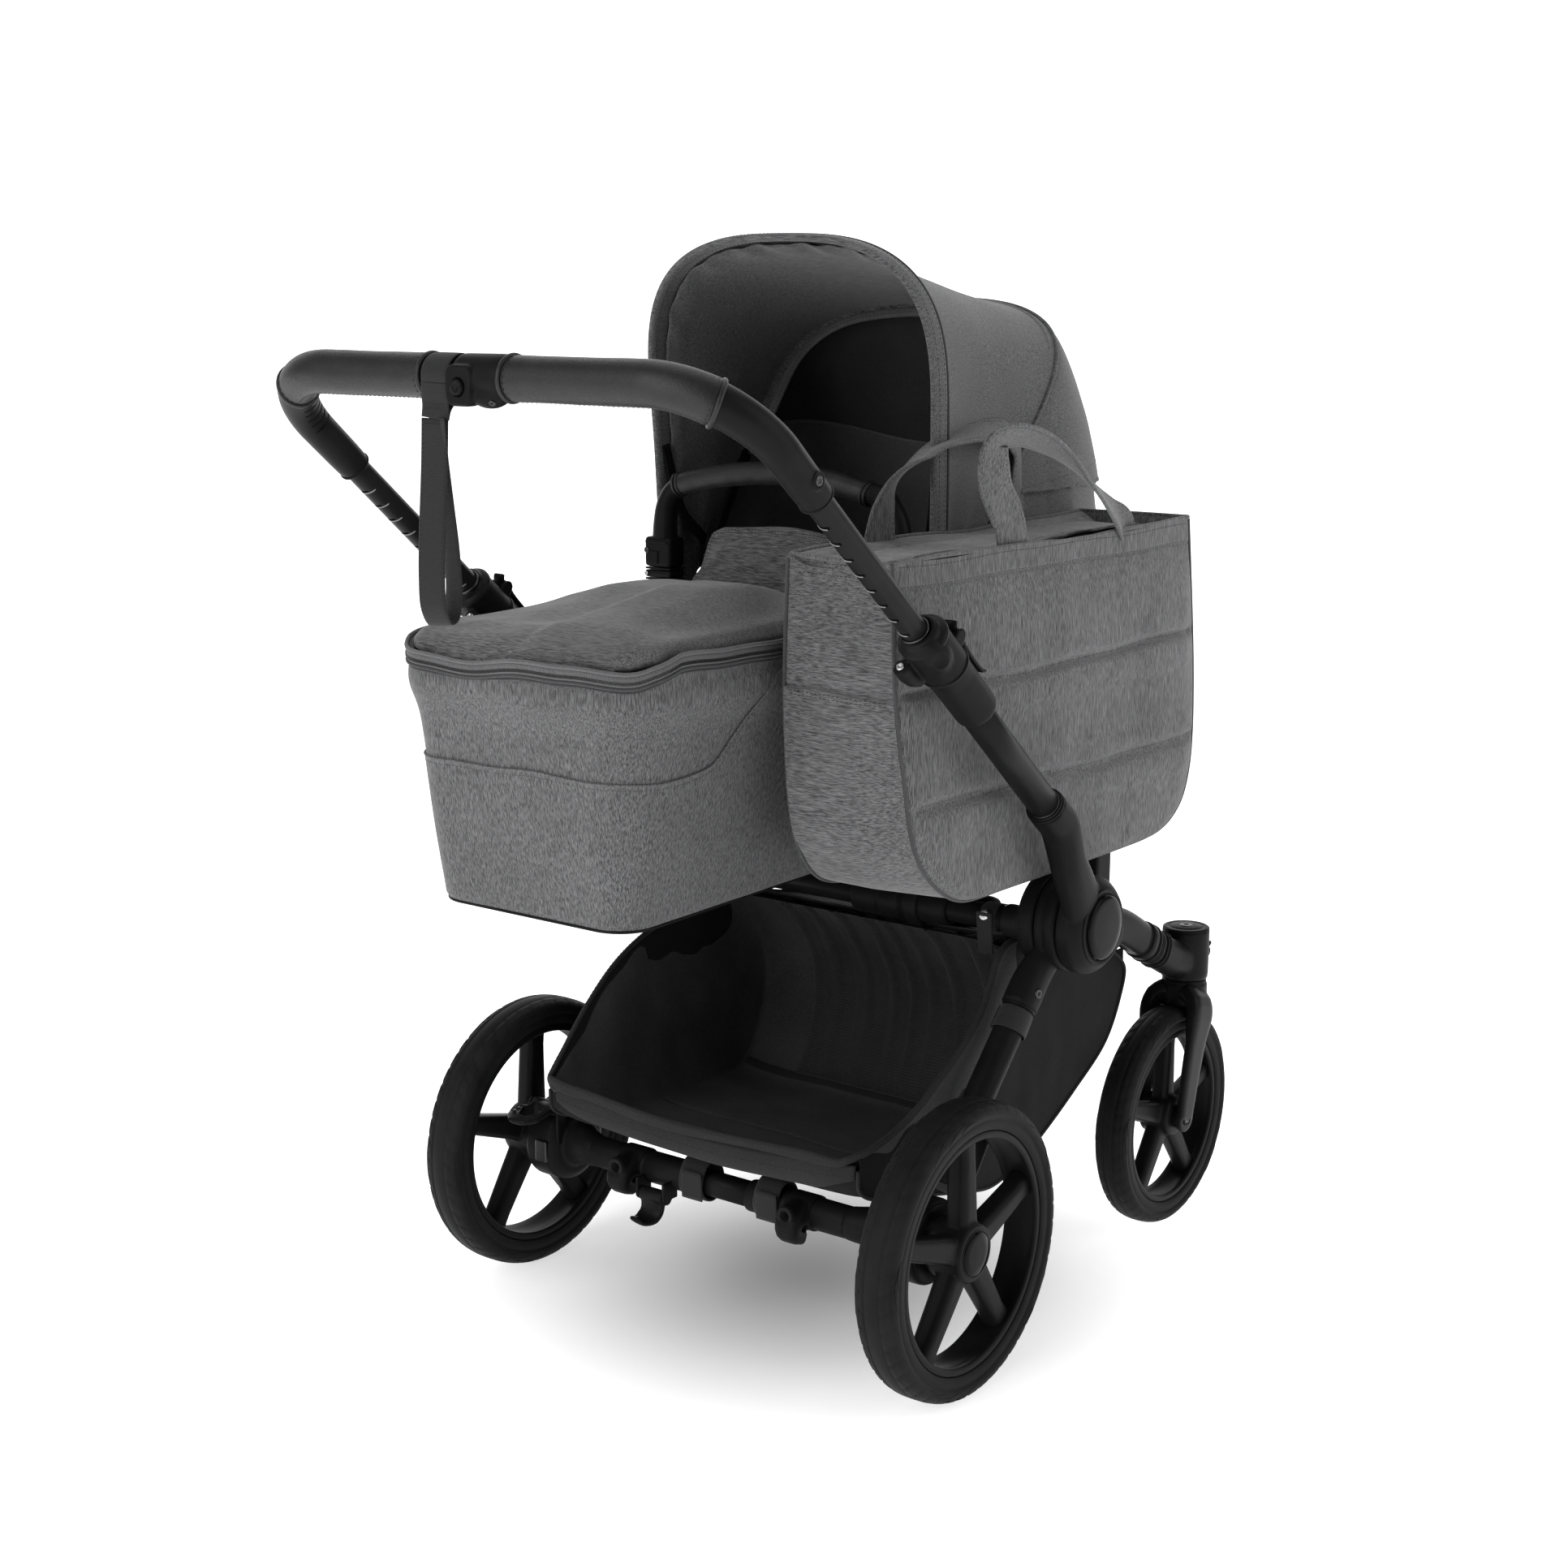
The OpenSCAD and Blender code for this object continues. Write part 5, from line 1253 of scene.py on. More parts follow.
def elbow(side):
    """side +1 is the right elbow, a smooth taper; the left has a row of slots on its inner face."""
    pts, r = [], []
    for s in np.linspace(534, 592, 7):
        pts.append(on_tube(side * 280, s))
        r.append(np.interp(s, [534, 548, 592], [16.0, 16.8, 17.4]))
    for a in np.linspace(4, 49, 13):
        pts.append(bend_pt(a, side))
        r.append(np.interp(a, [0, 49], [17.5, 19.2]))
    t = tube("e", pts, np.stack([np.array(r), np.array(r) * 0.97], 1), 48, up=(side, 0, 0))
    boss = cyl("bs", on_tube(side * 290, 560), on_tube(side * 297.4, 560), 8.6, 40, bevel=2.0)
    cuts = []
    if side < 0:
        for i in range(6):
            a = 8 + i * 6.6
            q = bend_pt(a, side, -17.5)
            rot = Matrix.Rotation(HA, 3, "X") @ Matrix.Rotation(math.radians(-a) if side < 0 else math.radians(a), 3, "Z")
            cuts.append(box_mesh("sl", q - np.array([4.5, 1.5, 14]), q + np.array([4.5, 1.5, 14]), 0.9, 2, rot, q))
        cuts = [join("cuts", cuts)]
    b = cast("el", [t, boss], 1.4, 3, 0.5, cuts=cuts)
    set_mat(b, M["cast_soft"])
    bits = [b]
    bits.append(ring("lip", (0, *on_tube(0, 560)[1:]), "x", side * 297.0 - (0.9 if side > 0 else 0.9), side * 297.0 + 0.9, 5.4, 8.0, M["cast"], 40))
    bits.append(screw_head("es", on_tube(side * 297.2, 560), (side, 0, 0), 5.0, M["screw_dark"], 1.4))
    c0, c1 = on_tube(side * 280, 533), on_tube(side * 280, 535.4)
    bits.append(set_mat(cyl("end", c0, c1, 16.6, 56, bevel=0.8), M["cast_soft"]))
    return join("elbow", bits)


def leather_sleeve(name, side, x_end):
    """Stitched leather round the bend and along the bar, with a rolled collar at each end."""
    pts = []
    for a in np.linspace(47.5, 90, 18):
        pts.append(bend_pt(a, side))
    for x in np.linspace(BX, abs(x_end), 30 if abs(x_end) < 60 else 26)[1:]:
        pts.append(np.array([side * x if x_end * side > 0 or True else x, BARP[1], BARP[2]]))
    pts = resample(np.array(pts), 150)
    n = len(pts)
    k = 72
    t, a_, b_ = frames(pts, False, (0, 0, 1))
    ang = np.linspace(0, 2 * np.pi, k, endpoint=False)
    # taller than deep, with a slow unevenness from the padding below
    V = []
    for i in range(n):
        ra, rb = 20.0, 18.9
        e = min(i, n - 1 - i)
        pinch = 1 - 0.055 * math.exp(-(e / 2.2) ** 2)
        rr = np.ones(k) * pinch
        V.append(pts[i] + a_[i] * (ra * rr * np.cos(ang))[:, None] + b_[i] * (rb * rr * np.sin(ang))[:, None])
    V = np.array(V)
    nz = value_noise(V.reshape(-1, 3), 42, 3) * 0.28 + value_noise(V.reshape(-1, 3), 17, 5) * 0.10
    # fine gathers on the inside of the bend
    d = np.r_[0, np.cumsum(np.linalg.norm(np.diff(pts, axis=0), axis=1))]
    inner = np.zeros((n, k))
    cen = np.array([side * BX, *on_tube(0, BAR_S - BR)[1:]])
    for i in range(n):
        if d[i] < 72:
            dirn = cen - pts[i]
            dirn /= np.linalg.norm(dirn) + 1e-9
            c = (a_[i] @ dirn) * np.cos(ang) + (b_[i] @ dirn) * np.sin(ang)
            inner[i] = np.clip(c, 0, 1) ** 2 * (0.5 + 0.5 * math.sin(d[i] * 1.05 + 1.3 * math.sin(d[i] * 0.37))) * math.sin(min(1, d[i] / 72) * math.pi) * 0.55
    rad = V - pts[:, None, :]
    rl_ = np.linalg.norm(rad, axis=2, keepdims=True)
    V = V + rad / rl_ * (nz.reshape(n, k)[..., None] - inner[..., None])
    ob = fix_normals(obj_from(name, V.reshape(-1, 3), grid_faces(n, k, False, True)))
    set_mat(ob, M["grip"])
    bits = [ob]
    # rolled collars, slightly slanted, and a row of stitches beside each
    for i, sgn, sl in ((0, 1, 0.16), (n - 1, -1, 0.06)):
        c = pts[i]
        tt = t[i] * sgn
        ringp, st = [], []
        nn = []
        for th in np.linspace(0, 2 * np.pi, 64, endpoint=False):
            rad_ = a_[i] * 20.2 * math.cos(th) + b_[i] * 19.1 * math.sin(th)
            shift = tt * (sl * 20 * math.sin(th + 0.6))
            ringp.append(c + rad_ * 0.985 + shift + tt * 1.2)
            st.append(c + rad_ * 0.985 + shift + tt * 6.4)
            nn.append(rad_ / np.linalg.norm(rad_))
        bits.append(set_mat(tube("col", ringp, (2.5, 2.0), 12, closed=True, up=tuple(tt)), M["grip"]))
        st.append(st[0])
        nn.append(nn[0])
        bits.append(stitches("st", np.array(st), np.array(nn), 3.4, 2.0, 0.85, 0.7, 0.15, M["thread_dark"]))
    # the seam that closes the sleeve, underneath
    sp, sn = [], []
    for i in range(6, n - 6):
        q = pts[i] - a_[i] * 20.0 + b_[i] * 1.5
        sp.append(q)
        sn.append(-a_[i])
    bits.append(stitches("seam", np.array(sp), np.array(sn), 3.2, 2.2, 0.8, 0.5, 0.2, M["thread_dark"]))
    return join(name, bits)


def push_bar():
    er, el_ = elbow(1), elbow(-1)
    er.name, el_.name = "elbow_right_v", "elbow_left_v"
    keep(er, "handle_upper", None, ["handle_elbow_right"])
    keep(el_, "handle_upper", None, ["handle_elbow_left"])
    a = leather_sleeve("ga", 1, 40)
    b = leather_sleeve("gb", -1, -54)
    keep(join("grips_v", [a, b]), "handle_upper", None, ["handlebar_grips"])

    by, bz = BARP[1], BARP[2]
    core = set_mat(tube("core", [(-56, by, bz), (42, by, bz)], (17.6, 16.8), 56, up=(0, 0, 1)), M["cast"])
    # sleeve with a flat front pad and a rounded lower lobe
    xs = np.linspace(-17, 39, 24)
    sl = tube("sl", [(x, by, bz) for x in xs], np.stack([np.interp(xs, [-17, -14, 30, 36, 39], [18.4, 20.4, 20.8, 20.4, 19.4]), np.interp(xs, [-17, -14, 30, 36, 39], [17.6, 19.6, 20.0, 19.6, 18.6])], 1), 56, up=(0, 0, 1))
    lobe = tube("lo", smooth_path([(4, by - 6, bz - 10), (16, by - 8, bz - 15), (27, by - 7, bz - 15), (35, by - 5, bz - 10)], 14), np.stack([[10.5] * 14, [11.0] * 14], 1), 28, up=(0, 0, 1))
    pad = tube("pd", [(-4, by - 10, bz - 6), (-4, by - 20.5, bz - 7), (-4, by - 22.4, bz - 7)], np.array([[18.5, 16], [17.8, 15.4], [16.6, 14.2]]), up=(0, 0, 1), prof=rounded_prof(1, 1, 0.5, 6))
    cut = cyl("ct", (-4, by - 17, bz - 8), (-4, by - 30, bz - 8), 8.6, 40)
    fu = cast("fold", [sl, lobe, pad], 1.3, 4, 0.5, cuts=[cut])
    set_mat(fu, M["cast"])
    bits = [core, fu]
    bits.append(screw_head("fs", (30, by - 14.6, bz - 20.6), (0.15, -0.66, -0.74), 3.4, M["screw_dark"], 1.2))
    keep(join("fold_unit_v", bits), "handle_upper", None, ["fold_unit"])
    bt = lathe("bt", [(by - 17, 0.01), (by - 17, 7.0), (by - 24.4, 7.0), (by - 25.4, 6.2), (by - 25.7, 4.4), (by - 24.6, 3.4), (by - 23.9, 2.2), (by - 23.8, 0.01)], (-4, 0, bz - 8), "y", 40)
    set_mat(bt, M["cast_soft"])
    bt.name = "fold_button_v"
    keep(bt, "button", None, ["fold_button"])


def wrist_strap():
    by, bz = BARP[1], BARP[2]
    x0, w = -35.0, 16.0
    # loop round the bar, both layers sewn together, then a drop-shaped hand loop
    band = []
    for th in np.linspace(-250, 70, 44):
        a = math.radians(th)
        band.append((0, 18.9 * math.cos(a), 19.4 * math.sin(a)))
    path = [np.array([x0, by - 19.2, bz - 4])]
    ringp = [(x0, by + 19.0 * math.cos(a), bz + 19.6 * math.sin(a)) for a in np.linspace(math.radians(195), math.radians(-105), 44)]
    r1 = tube("r1", ringp, (w, 1.0), up=(1, 0, 0), prof=rounded_prof(1, 1, 0.5, 3))
    down = [(x0, by - 18.8, bz - 5), (x0 - 0.4, by - 18.4, bz - 16), (x0 - 0.8, by - 17.2, bz - 26), (x0 - 1.6, by - 17.6, bz - 36)]
    d1 = tube("d1", smooth_path(down, 24), (w, 1.0), up=(1, 0, 0), prof=rounded_prof(1, 1, 0.5, 3))
    back = [(x0, by + 2, bz - 19.6), (x0 - 0.3, by - 8, bz - 22.4), (x0 - 0.8, by - 13.4, bz - 28), (x0 - 1.6, by - 15.2, bz - 36)]
    d2 = tube("d2", smooth_path(back, 24), (w, 1.0), up=(1, 0, 0), prof=rounded_prof(1, 1, 0.5, 3))
    zl = bz - 36
    front = [(x0 - 1.6, by - 17.6, zl), (x0 - 2.4, by - 18.8, zl - 40), (x0 - 4.4, by - 21.0, zl - 95), (x0 - 5.6, by - 22.0, zl - 140), (x0 - 5.8, by - 19.6, zl - 169), (x0 - 4.4, by - 12.0, zl - 182), (x0 - 2.4, by - 3.5, zl - 178), (x0 - 1.2, by + 0.5, zl - 156), (x0 - 0.6, by - 1.5, zl - 118), (x0 - 0.6, by - 7.5, zl - 74), (x0 - 1.0, by - 13.0, zl - 32), (x0 - 1.4, by - 15.4, zl + 1)]
    lp = tube("lp", smooth_path(front, 110), (w, 1.0), up=(1, 0, 0), prof=rounded_prof(1, 1, 0.5, 3))
    bits = [set_mat(o, M["webbing"]) for o in (r1, d1, d2, lp)]
    for dz, off in ((-24, -19.4), (-27.6, -19.2), (-37, -18.9), (-40.5, -19.0)):
        st = np.array([(x0 - 1.4 + u, by + off - 0.1, bz + dz) for u in np.linspace(-13.8, 13.8, 12)])
        bits.append(stitches("ws", st, (0, -1, 0), 1.9, 0.9, 0.7, 0.6, 0.0, M["thread_dark"]))
    # edge stitching down both sides of the front run
    f = smooth_path(front[:6], 60)
    for s in (-1, 1):
        bits.append(stitches("we", f + np.array([s * 13.6, -1.1, 0]), (0, -1, 0), 2.4, 1.6, 0.6, 0.45, 0.0, M["thread_dark"]))
    keep(join("wrist_strap_v", bits), "strap", None, ["wrist_strap"])


handle_tubes()
push_bar()
wrist_strap()


# ------------------------------------------------------------------ carrycot
CX, CY = -85.0, 204.5


def rr_loop(w, l, r, n, cx=CX, cy=CY):
    """A rounded rectangle seen from above: n points at equal steps, from the middle of the foot end towards +x, and the outward directions."""
    hw, hl = w / 2, l / 2
    p = [(0.0, -hl)]
    for sx, sy, a0 in ((1, -1, -90), (1, 1, 0), (-1, 1, 90), (-1, -1, 180)):
        for a in np.linspace(a0, a0 + 90, 13):
            p.append((sx * (hw - r) + r * math.cos(math.radians(a)), sy * (hl - r) + r * math.sin(math.radians(a))))
    q = resample(np.array(p), n, True)
    t = np.roll(q, -1, 0) - np.roll(q, 1, 0)
    t /= np.linalg.norm(t, axis=1)[:, None]
    return q + np.array([cx, cy]), np.stack([t[:, 1], -t[:, 0]], 1)


def cot_ring(z, n):
    f = (z - 465.0) / 250.0
    g = min(max(1.0 - f, 0.0), 1.15)
    return rr_loop(270 + 50 * f - 12 * g, 800 + 85 * f, 38 + 14 * f, n, CX - 19.0 * g)


def cot_bulge(z):
    z = np.asarray(z, float)
    return 6.0 * np.exp(-(((z - 690) / 21.0) ** 2)) * np.clip((714 - z) / 9.0, 0, 1) ** 0.5 + 1.2 * np.exp(-(((z - 540) / 60.0) ** 2))


def cot_soft(p):
    """Slack of the wall cloth: broad hollows and faint upright folds."""
    a = value_noise(p, 165, 3) * 2.0
    b = value_noise(np.asarray(p) * np.array([1, 1, 0.3]), 46, 7) * 0.75
    return a + b


def cot_point(i_ring, nn, z, off):
    return None


def cot_surface(zs, off, n):
    """zs and off: one value per row, or arrays (rows, n)."""
    rows = []
    for k in range(len(zs)):
        zk = np.broadcast_to(np.asarray(zs[k], float), (n,))
        ok = np.broadcast_to(np.asarray(off[k], float), (n,))
        base0, nrm0 = cot_ring(465.0, n)
        base1, nrm1 = cot_ring(715.0, n)
        f = ((zk - 465.0) / 250.0)[:, None]
        b = base0 * (1 - f) + base1 * f
        nr = nrm0 * (1 - f) + nrm1 * f
        nr /= np.linalg.norm(nr, axis=1)[:, None]
        p3 = np.column_stack([b, zk])
        d = ok + cot_bulge(zk) + cot_soft(p3) * np.clip((zk - 459) / 20, 0, 1) * np.clip((716 - zk) / 14, 0, 1)
        rows.append(np.column_stack([b + nr * d[:, None], zk]))
    return np.array(rows)


def sheet_obj(name, rows, wrap=True, mat=None):
    m, n = rows.shape[:2]
    ob = obj_from(name, rows.reshape(-1, 3), grid_faces(m, n, False, wrap))
    fix_normals(ob)
    if mat is not None:
        set_mat(ob, mat)
    return ob


def cot_shell():
    n = 620
    parts = []
    # outer cloth: foot cap up to the zip
    b0, _ = cot_ring(465.0, n)
    low = 5.5 + 5.0 * np.clip((b0[:, 1] + 150) / 230.0, 0, 1.4)
    bt, _ = cot_ring(715.0, n)
    lift = zip_z(bt[:, 0], bt[:, 1]) - 716.0
    zs = [z + low for z in (460.5, 459.2, 459.0, 460.5, 464)]
    zs += [z + low * (700 - z) / 230.0 + lift * (z - 470) / 230.0 for z in np.linspace(470, 700, 62)]
    zs += [z + lift for z in (704, 707.5, 710, 711.5, 712, 711.6)]
    of = [-9.0, -4.0, -1.2, -0.1, 0.0] + [0.0] * 62 + [0.0, -0.6, -2.2, -4.4, -7.0, -9.5]
    parts.append(sheet_obj("a", cot_surface(zs, of, n), True, M["grey_z"]))
    # second layer: pocket panel round the foot, whole height along the sides
    b1, _ = cot_ring(640.0, n)
    top = np.interp(b1[:, 1], [-130, -108, -94, -55, -20, -2, 10], [616.5, 619.5, 633, 673, 706, 709.5, 709.8])
    top = np.where(np.abs(b1[:, 0] - CX) < 60, np.where(b1[:, 1] < 0, 616.5, 709.8), top)
    k = 5
    ker = np.ones(k) / k
    tt = np.convolve(np.r_[top[-2:], top, top[:2]], ker, "valid")
    # the seam dips a little on its way round
    ang = np.linspace(0, 2 * np.pi, n, endpoint=False)
    tt = tt + np.where(b1[:, 1] < -80, 1.3 * np.sin(ang * 9 + 0.7) + 0.8 * np.sin(ang * 21), 0)
    zz, oo = [], []
    for fr in np.linspace(0, 1, 60):
        zz.append(462.5 + low + (tt - 2.4 - 462.5 - low) * fr)
        oo.append(1.9 if fr > 0 else 1.2)
    for dz, o in ((-1.5, 2.5), (-0.6, 2.7), (0.0, 2.1), (0.25, 1.2), (0.1, 0.1), (-0.6, -0.4)):
        zz.append(tt + dz)
        oo.append(o)
    ov = cot_surface(zz, oo, n)
    parts.append(sheet_obj("b", ov, True, M["grey_z"]))
    shell = join("cot_cloth", parts)
    keep(shell, "carrycot", replaces=["cot_shell"])
    # seam stitches below the folded edge, with the thread set in
    line = cot_surface([tt - 6.0], [2.05], n)[0]
    bn, nr = cot_ring(640.0, n)
    idx = np.where((b1[:, 1] < 4) & ~((np.abs(b1[:, 0] - CX) < 1)))[0]
    runs = [np.arange(0, np.where(b1[:, 1] > 0)[0][0]), np.arange(np.where((b1[:, 1] > 0))[0][-1] + 1, n)]
    for c, r in enumerate(runs):
        st = stitches("s", line[r], np.column_stack([nr[r], np.zeros(len(r))]), 3.4, 1.8, 0.7, 0.35, 0.0, M["thread"])
        if st:
            st.name = "cot_seam_stitches_%d" % c
            keep(st, "carrycot")
    # tray edge
    rows = []
    for z, g in ((463.5, -4), (460.4, 0.2), (458.8, 0.8), (457.6, 0.2), (457.0, -2.5), (457.4, -9), (458.2, -60), (458.2, -120)):
        q, nrm = rr_loop(258 + 2 * g, 800 + 2 * g, max(38 + g, 12), 300, CX - 19.0)
        rows.append(np.column_stack([q, z + 5.0 + 5.0 * np.clip((q[:, 1] + 150) / 230.0, 0, 1.4)]))
    tray = sheet_obj("cot_tray", np.array(rows), True)
    keep(tray, "carrycot", M["cast_soft"])
    # the lining inside
    rows = []
    for z, g in ((458.2, -70), (458.0, -134)):
        q, nrm = rr_loop(258 + 2 * g * 0.99, 800 + 2 * g, 14, 300, CX - 19.0)
        rows.append(np.column_stack([q, np.full(300, z)]))
    rows = []
    for z in list(np.linspace(476, 708, 24)) + [714.0, 716.5, 717.5, 716.5]:
        q, nrm = cot_ring(min(z, 715), 300)
        g = -8.5 if z < 712 else (-7.5, -6.0, -4.0)[min(2, int((z - 712) / 2))]
        p3 = np.column_stack([q, np.full(300, z)])
        d = g + value_noise(p3 * np.array([1, 1, 0.4]), 60, 9) * (0.9 if z < 705 else 0.0)
        rows.append(np.column_stack([q + nrm * d[:, None], np.full(300, z)]))
    lin = sheet_obj("cot_lining", np.array(rows), True)
    keep(lin, "carrycot", M["lining"])


def zip_z(x, y):
    """Height of the zip round the cover: low across the foot, higher along the sides."""
    x, y = np.asarray(x, float), np.asarray(y, float)
    s = np.abs(x - CX) / 160.0
    foot = 716.0 + 2.2 * np.sin((x - CX) / 42.0) + 3.5 * np.clip((x + 20) / 80, 0, 1)
    side = 717.0 + 13.0 * np.clip((y + 236) / 60.0, 0, 1) * np.where(x > CX, 1.0, 0.75) + 2.0 * np.sin(y / 55.0)
    k = np.clip((y + 236) / 30.0, 0, 1)
    k = k * k * (3 - 2 * k)
    z = foot * (1 - k) + side * k
    head = np.clip((y - 200) / 100.0, 0, 1)
    return z * (1 - head) + 719.0 * head


def zip_band():
    n = 900
    q, nr = rr_loop(322, 887, 53, n)
    ang = np.linspace(0, 2 * np.pi, n, endpoint=False)
    wave = 1.7 * np.sin(ang * 11 + 0.4) + 1.0 * np.sin(ang * 23 + 1.1)
    far = np.clip((q[:, 1] + 120) / 200, 0, 1)
    zc = zip_z(q[:, 0], q[:, 1]) + wave * (1 - 0.75 * far)

    def sweep(name, prof, mat, slot, closed=True, sel=None):
        rows = []
        for o, dz in prof:
            rows.append(np.column_stack([q + nr * o, zc + dz]))
        rows = np.array(rows)
        if closed:
            rows = np.concatenate([rows, rows[:1]], 0)
        ob = sheet_obj(name, rows, True, mat)
        return ob

    # satin tape with the coil on it
    tape = sweep("t1", [(-6, -5.2), (1.4, -5.6), (2.4, -4.6), (2.6, -1.5), (2.3, 1.0), (2.7, 3.2), (2.2, 4.6), (0.6, 5.2), (-6, 5.0)], M["trim"], "", True)
    pip = []
    for o, z0, r in ((2.0, 6.9, 2.1), (1.7, -7.2, 1.7)):
        pr = [(o + r * math.cos(a), z0 + r * math.sin(a)) for a in np.linspace(0, 2 * np.pi, 11)[:-1]]
        pip.append(sweep("p", pr, M["trim_dark"] if z0 < 0 else M["trim"], ""))
    # dark strip below the lower piping: painted shade in the crease between zip and cot cloth
    gap = sweep("g", [(-8, -12.0), (0.6, -11.0), (0.9, -9.0), (-8, -8.2)], M["void"], "")
    band = join("zip_tape", [tape] + pip + [gap])
    keep(band, "carrycot")
    # teeth
    p = np.column_stack([q + nr * 2.75, zc - 1.9])
    front = q[:, 1] < 168
    i0 = np.where(~front)[0]
    run = np.r_[np.arange(i0[-1] + 1, n), np.arange(0, i0[0])]
    pp = p[run]
    nn = np.column_stack([nr[run], np.zeros(len(run))])
    d = np.r_[0, np.cumsum(np.linalg.norm(np.diff(pp, axis=0), axis=1))]
    V, F = [], []
    for side in (-1, 1):
        for s in np.arange(2, d[-1] - 2, 2.1):
            s1 = s + (0 if side < 0 else 1.05)
            c = np.array([np.interp(s1, d, pp[:, k]) for k in range(3)])
            m = np.array([np.interp(s1, d, nn[:, k]) for k in range(3)])
            t = np.cross(m, [0, 0, 1.0])
            b = len(V)
            for a, h, z in ((-1, 0, -1), (1, 0, -1), (1, 0, 1), (-1, 0, 1), (-0.7, 1, -0.7), (0.7, 1, -0.7), (0.7, 1, 0.7), (-0.7, 1, 0.7)):
                V.append(c + t * (a * 0.62) + m * (h * 0.9 - 0.2) + np.array([0, 0, z * 0.85 + side * 0.75]))
            F += [(b + 4, b + 5, b + 6, b + 7), (b, b + 1, b + 5, b + 4), (b + 1, b + 2, b + 6, b + 5), (b + 2, b + 3, b + 7, b + 6), (b + 3, b, b + 4, b + 7), (b + 3, b + 2, b + 1, b)]
    teeth = obj_from("zip_teeth", np.array(V), F, smooth=False)
    keep(teeth, "carrycot", M["zip"])
    for c, dz in ((0, 3.0), (1, -4.4)):
        line = np.column_stack([q + nr * (2.66 if c == 0 else 2.2), zc + dz])[run]
        st = stitches("s", line, nn, 2.6, 1.5, 0.5, 0.3, 0.0, M["thread_dark"])
        st.name = "zip_stitches_%d" % c
        keep(st, "carrycot")


def puff(ob, voxel=5.0, pressure=4.0, cap=7.0, frames_n=20, shrink=0.0, stiff=8.0, sub=1):
    """Fills a closed cloth form with a light inner pressure and lets it wrinkle."""
    m = ob.modifiers.new("r", "REMESH")
    m.mode = "VOXEL"
    m.voxel_size = voxel / 1000.0
    apply_mods(ob)
    start = mesh_np(ob).copy()
    for o in bpy.data.objects:
        o.select_set(False)
    c = ob.modifiers.new("cloth", "CLOTH")
    s = c.settings
    s.quality = 5
    s.mass = 0.25
    s.tension_stiffness = stiff
    s.compression_stiffness = stiff
    s.shear_stiffness = 3.0
    s.bending_stiffness = 0.35
    s.use_pressure = True
    s.uniform_pressure_force = pressure
    s.effector_weights.gravity = 0.0
    c.collision_settings.use_self_collision = False
    c.point_cache.frame_start = 1
    c.point_cache.frame_end = frames_n
    sc = bpy.context.scene
    for f in range(1, frames_n + 1):
        sc.frame_set(f)
    apply_mods(ob)
    sc.frame_set(1)
    now = mesh_np(ob)
    if len(now) == len(start):
        d = now - start
        l = np.linalg.norm(d, axis=1)
        k = np.where(l > cap / 1000.0, cap / 1000.0 / np.maximum(l, 1e-9), 1.0)
        set_np(ob, start + d * k[:, None])
    for mm in list(ob.modifiers):
        ob.modifiers.remove(mm)
    if sub:
        s = ob.modifiers.new("sm", "SMOOTH")
        s.factor = 0.4
        s.iterations = 2
        apply_mods(ob)
        subdivide(ob, sub)
    return ob


def mm_np(ob):
    v = mesh_np(ob) * 1000.0
    v[:, 1] += MY
    return v


def mm_set(ob, v):
    v = np.array(v, float)
    v[:, 1] -= MY
    set_np(ob, v / 1000.0)


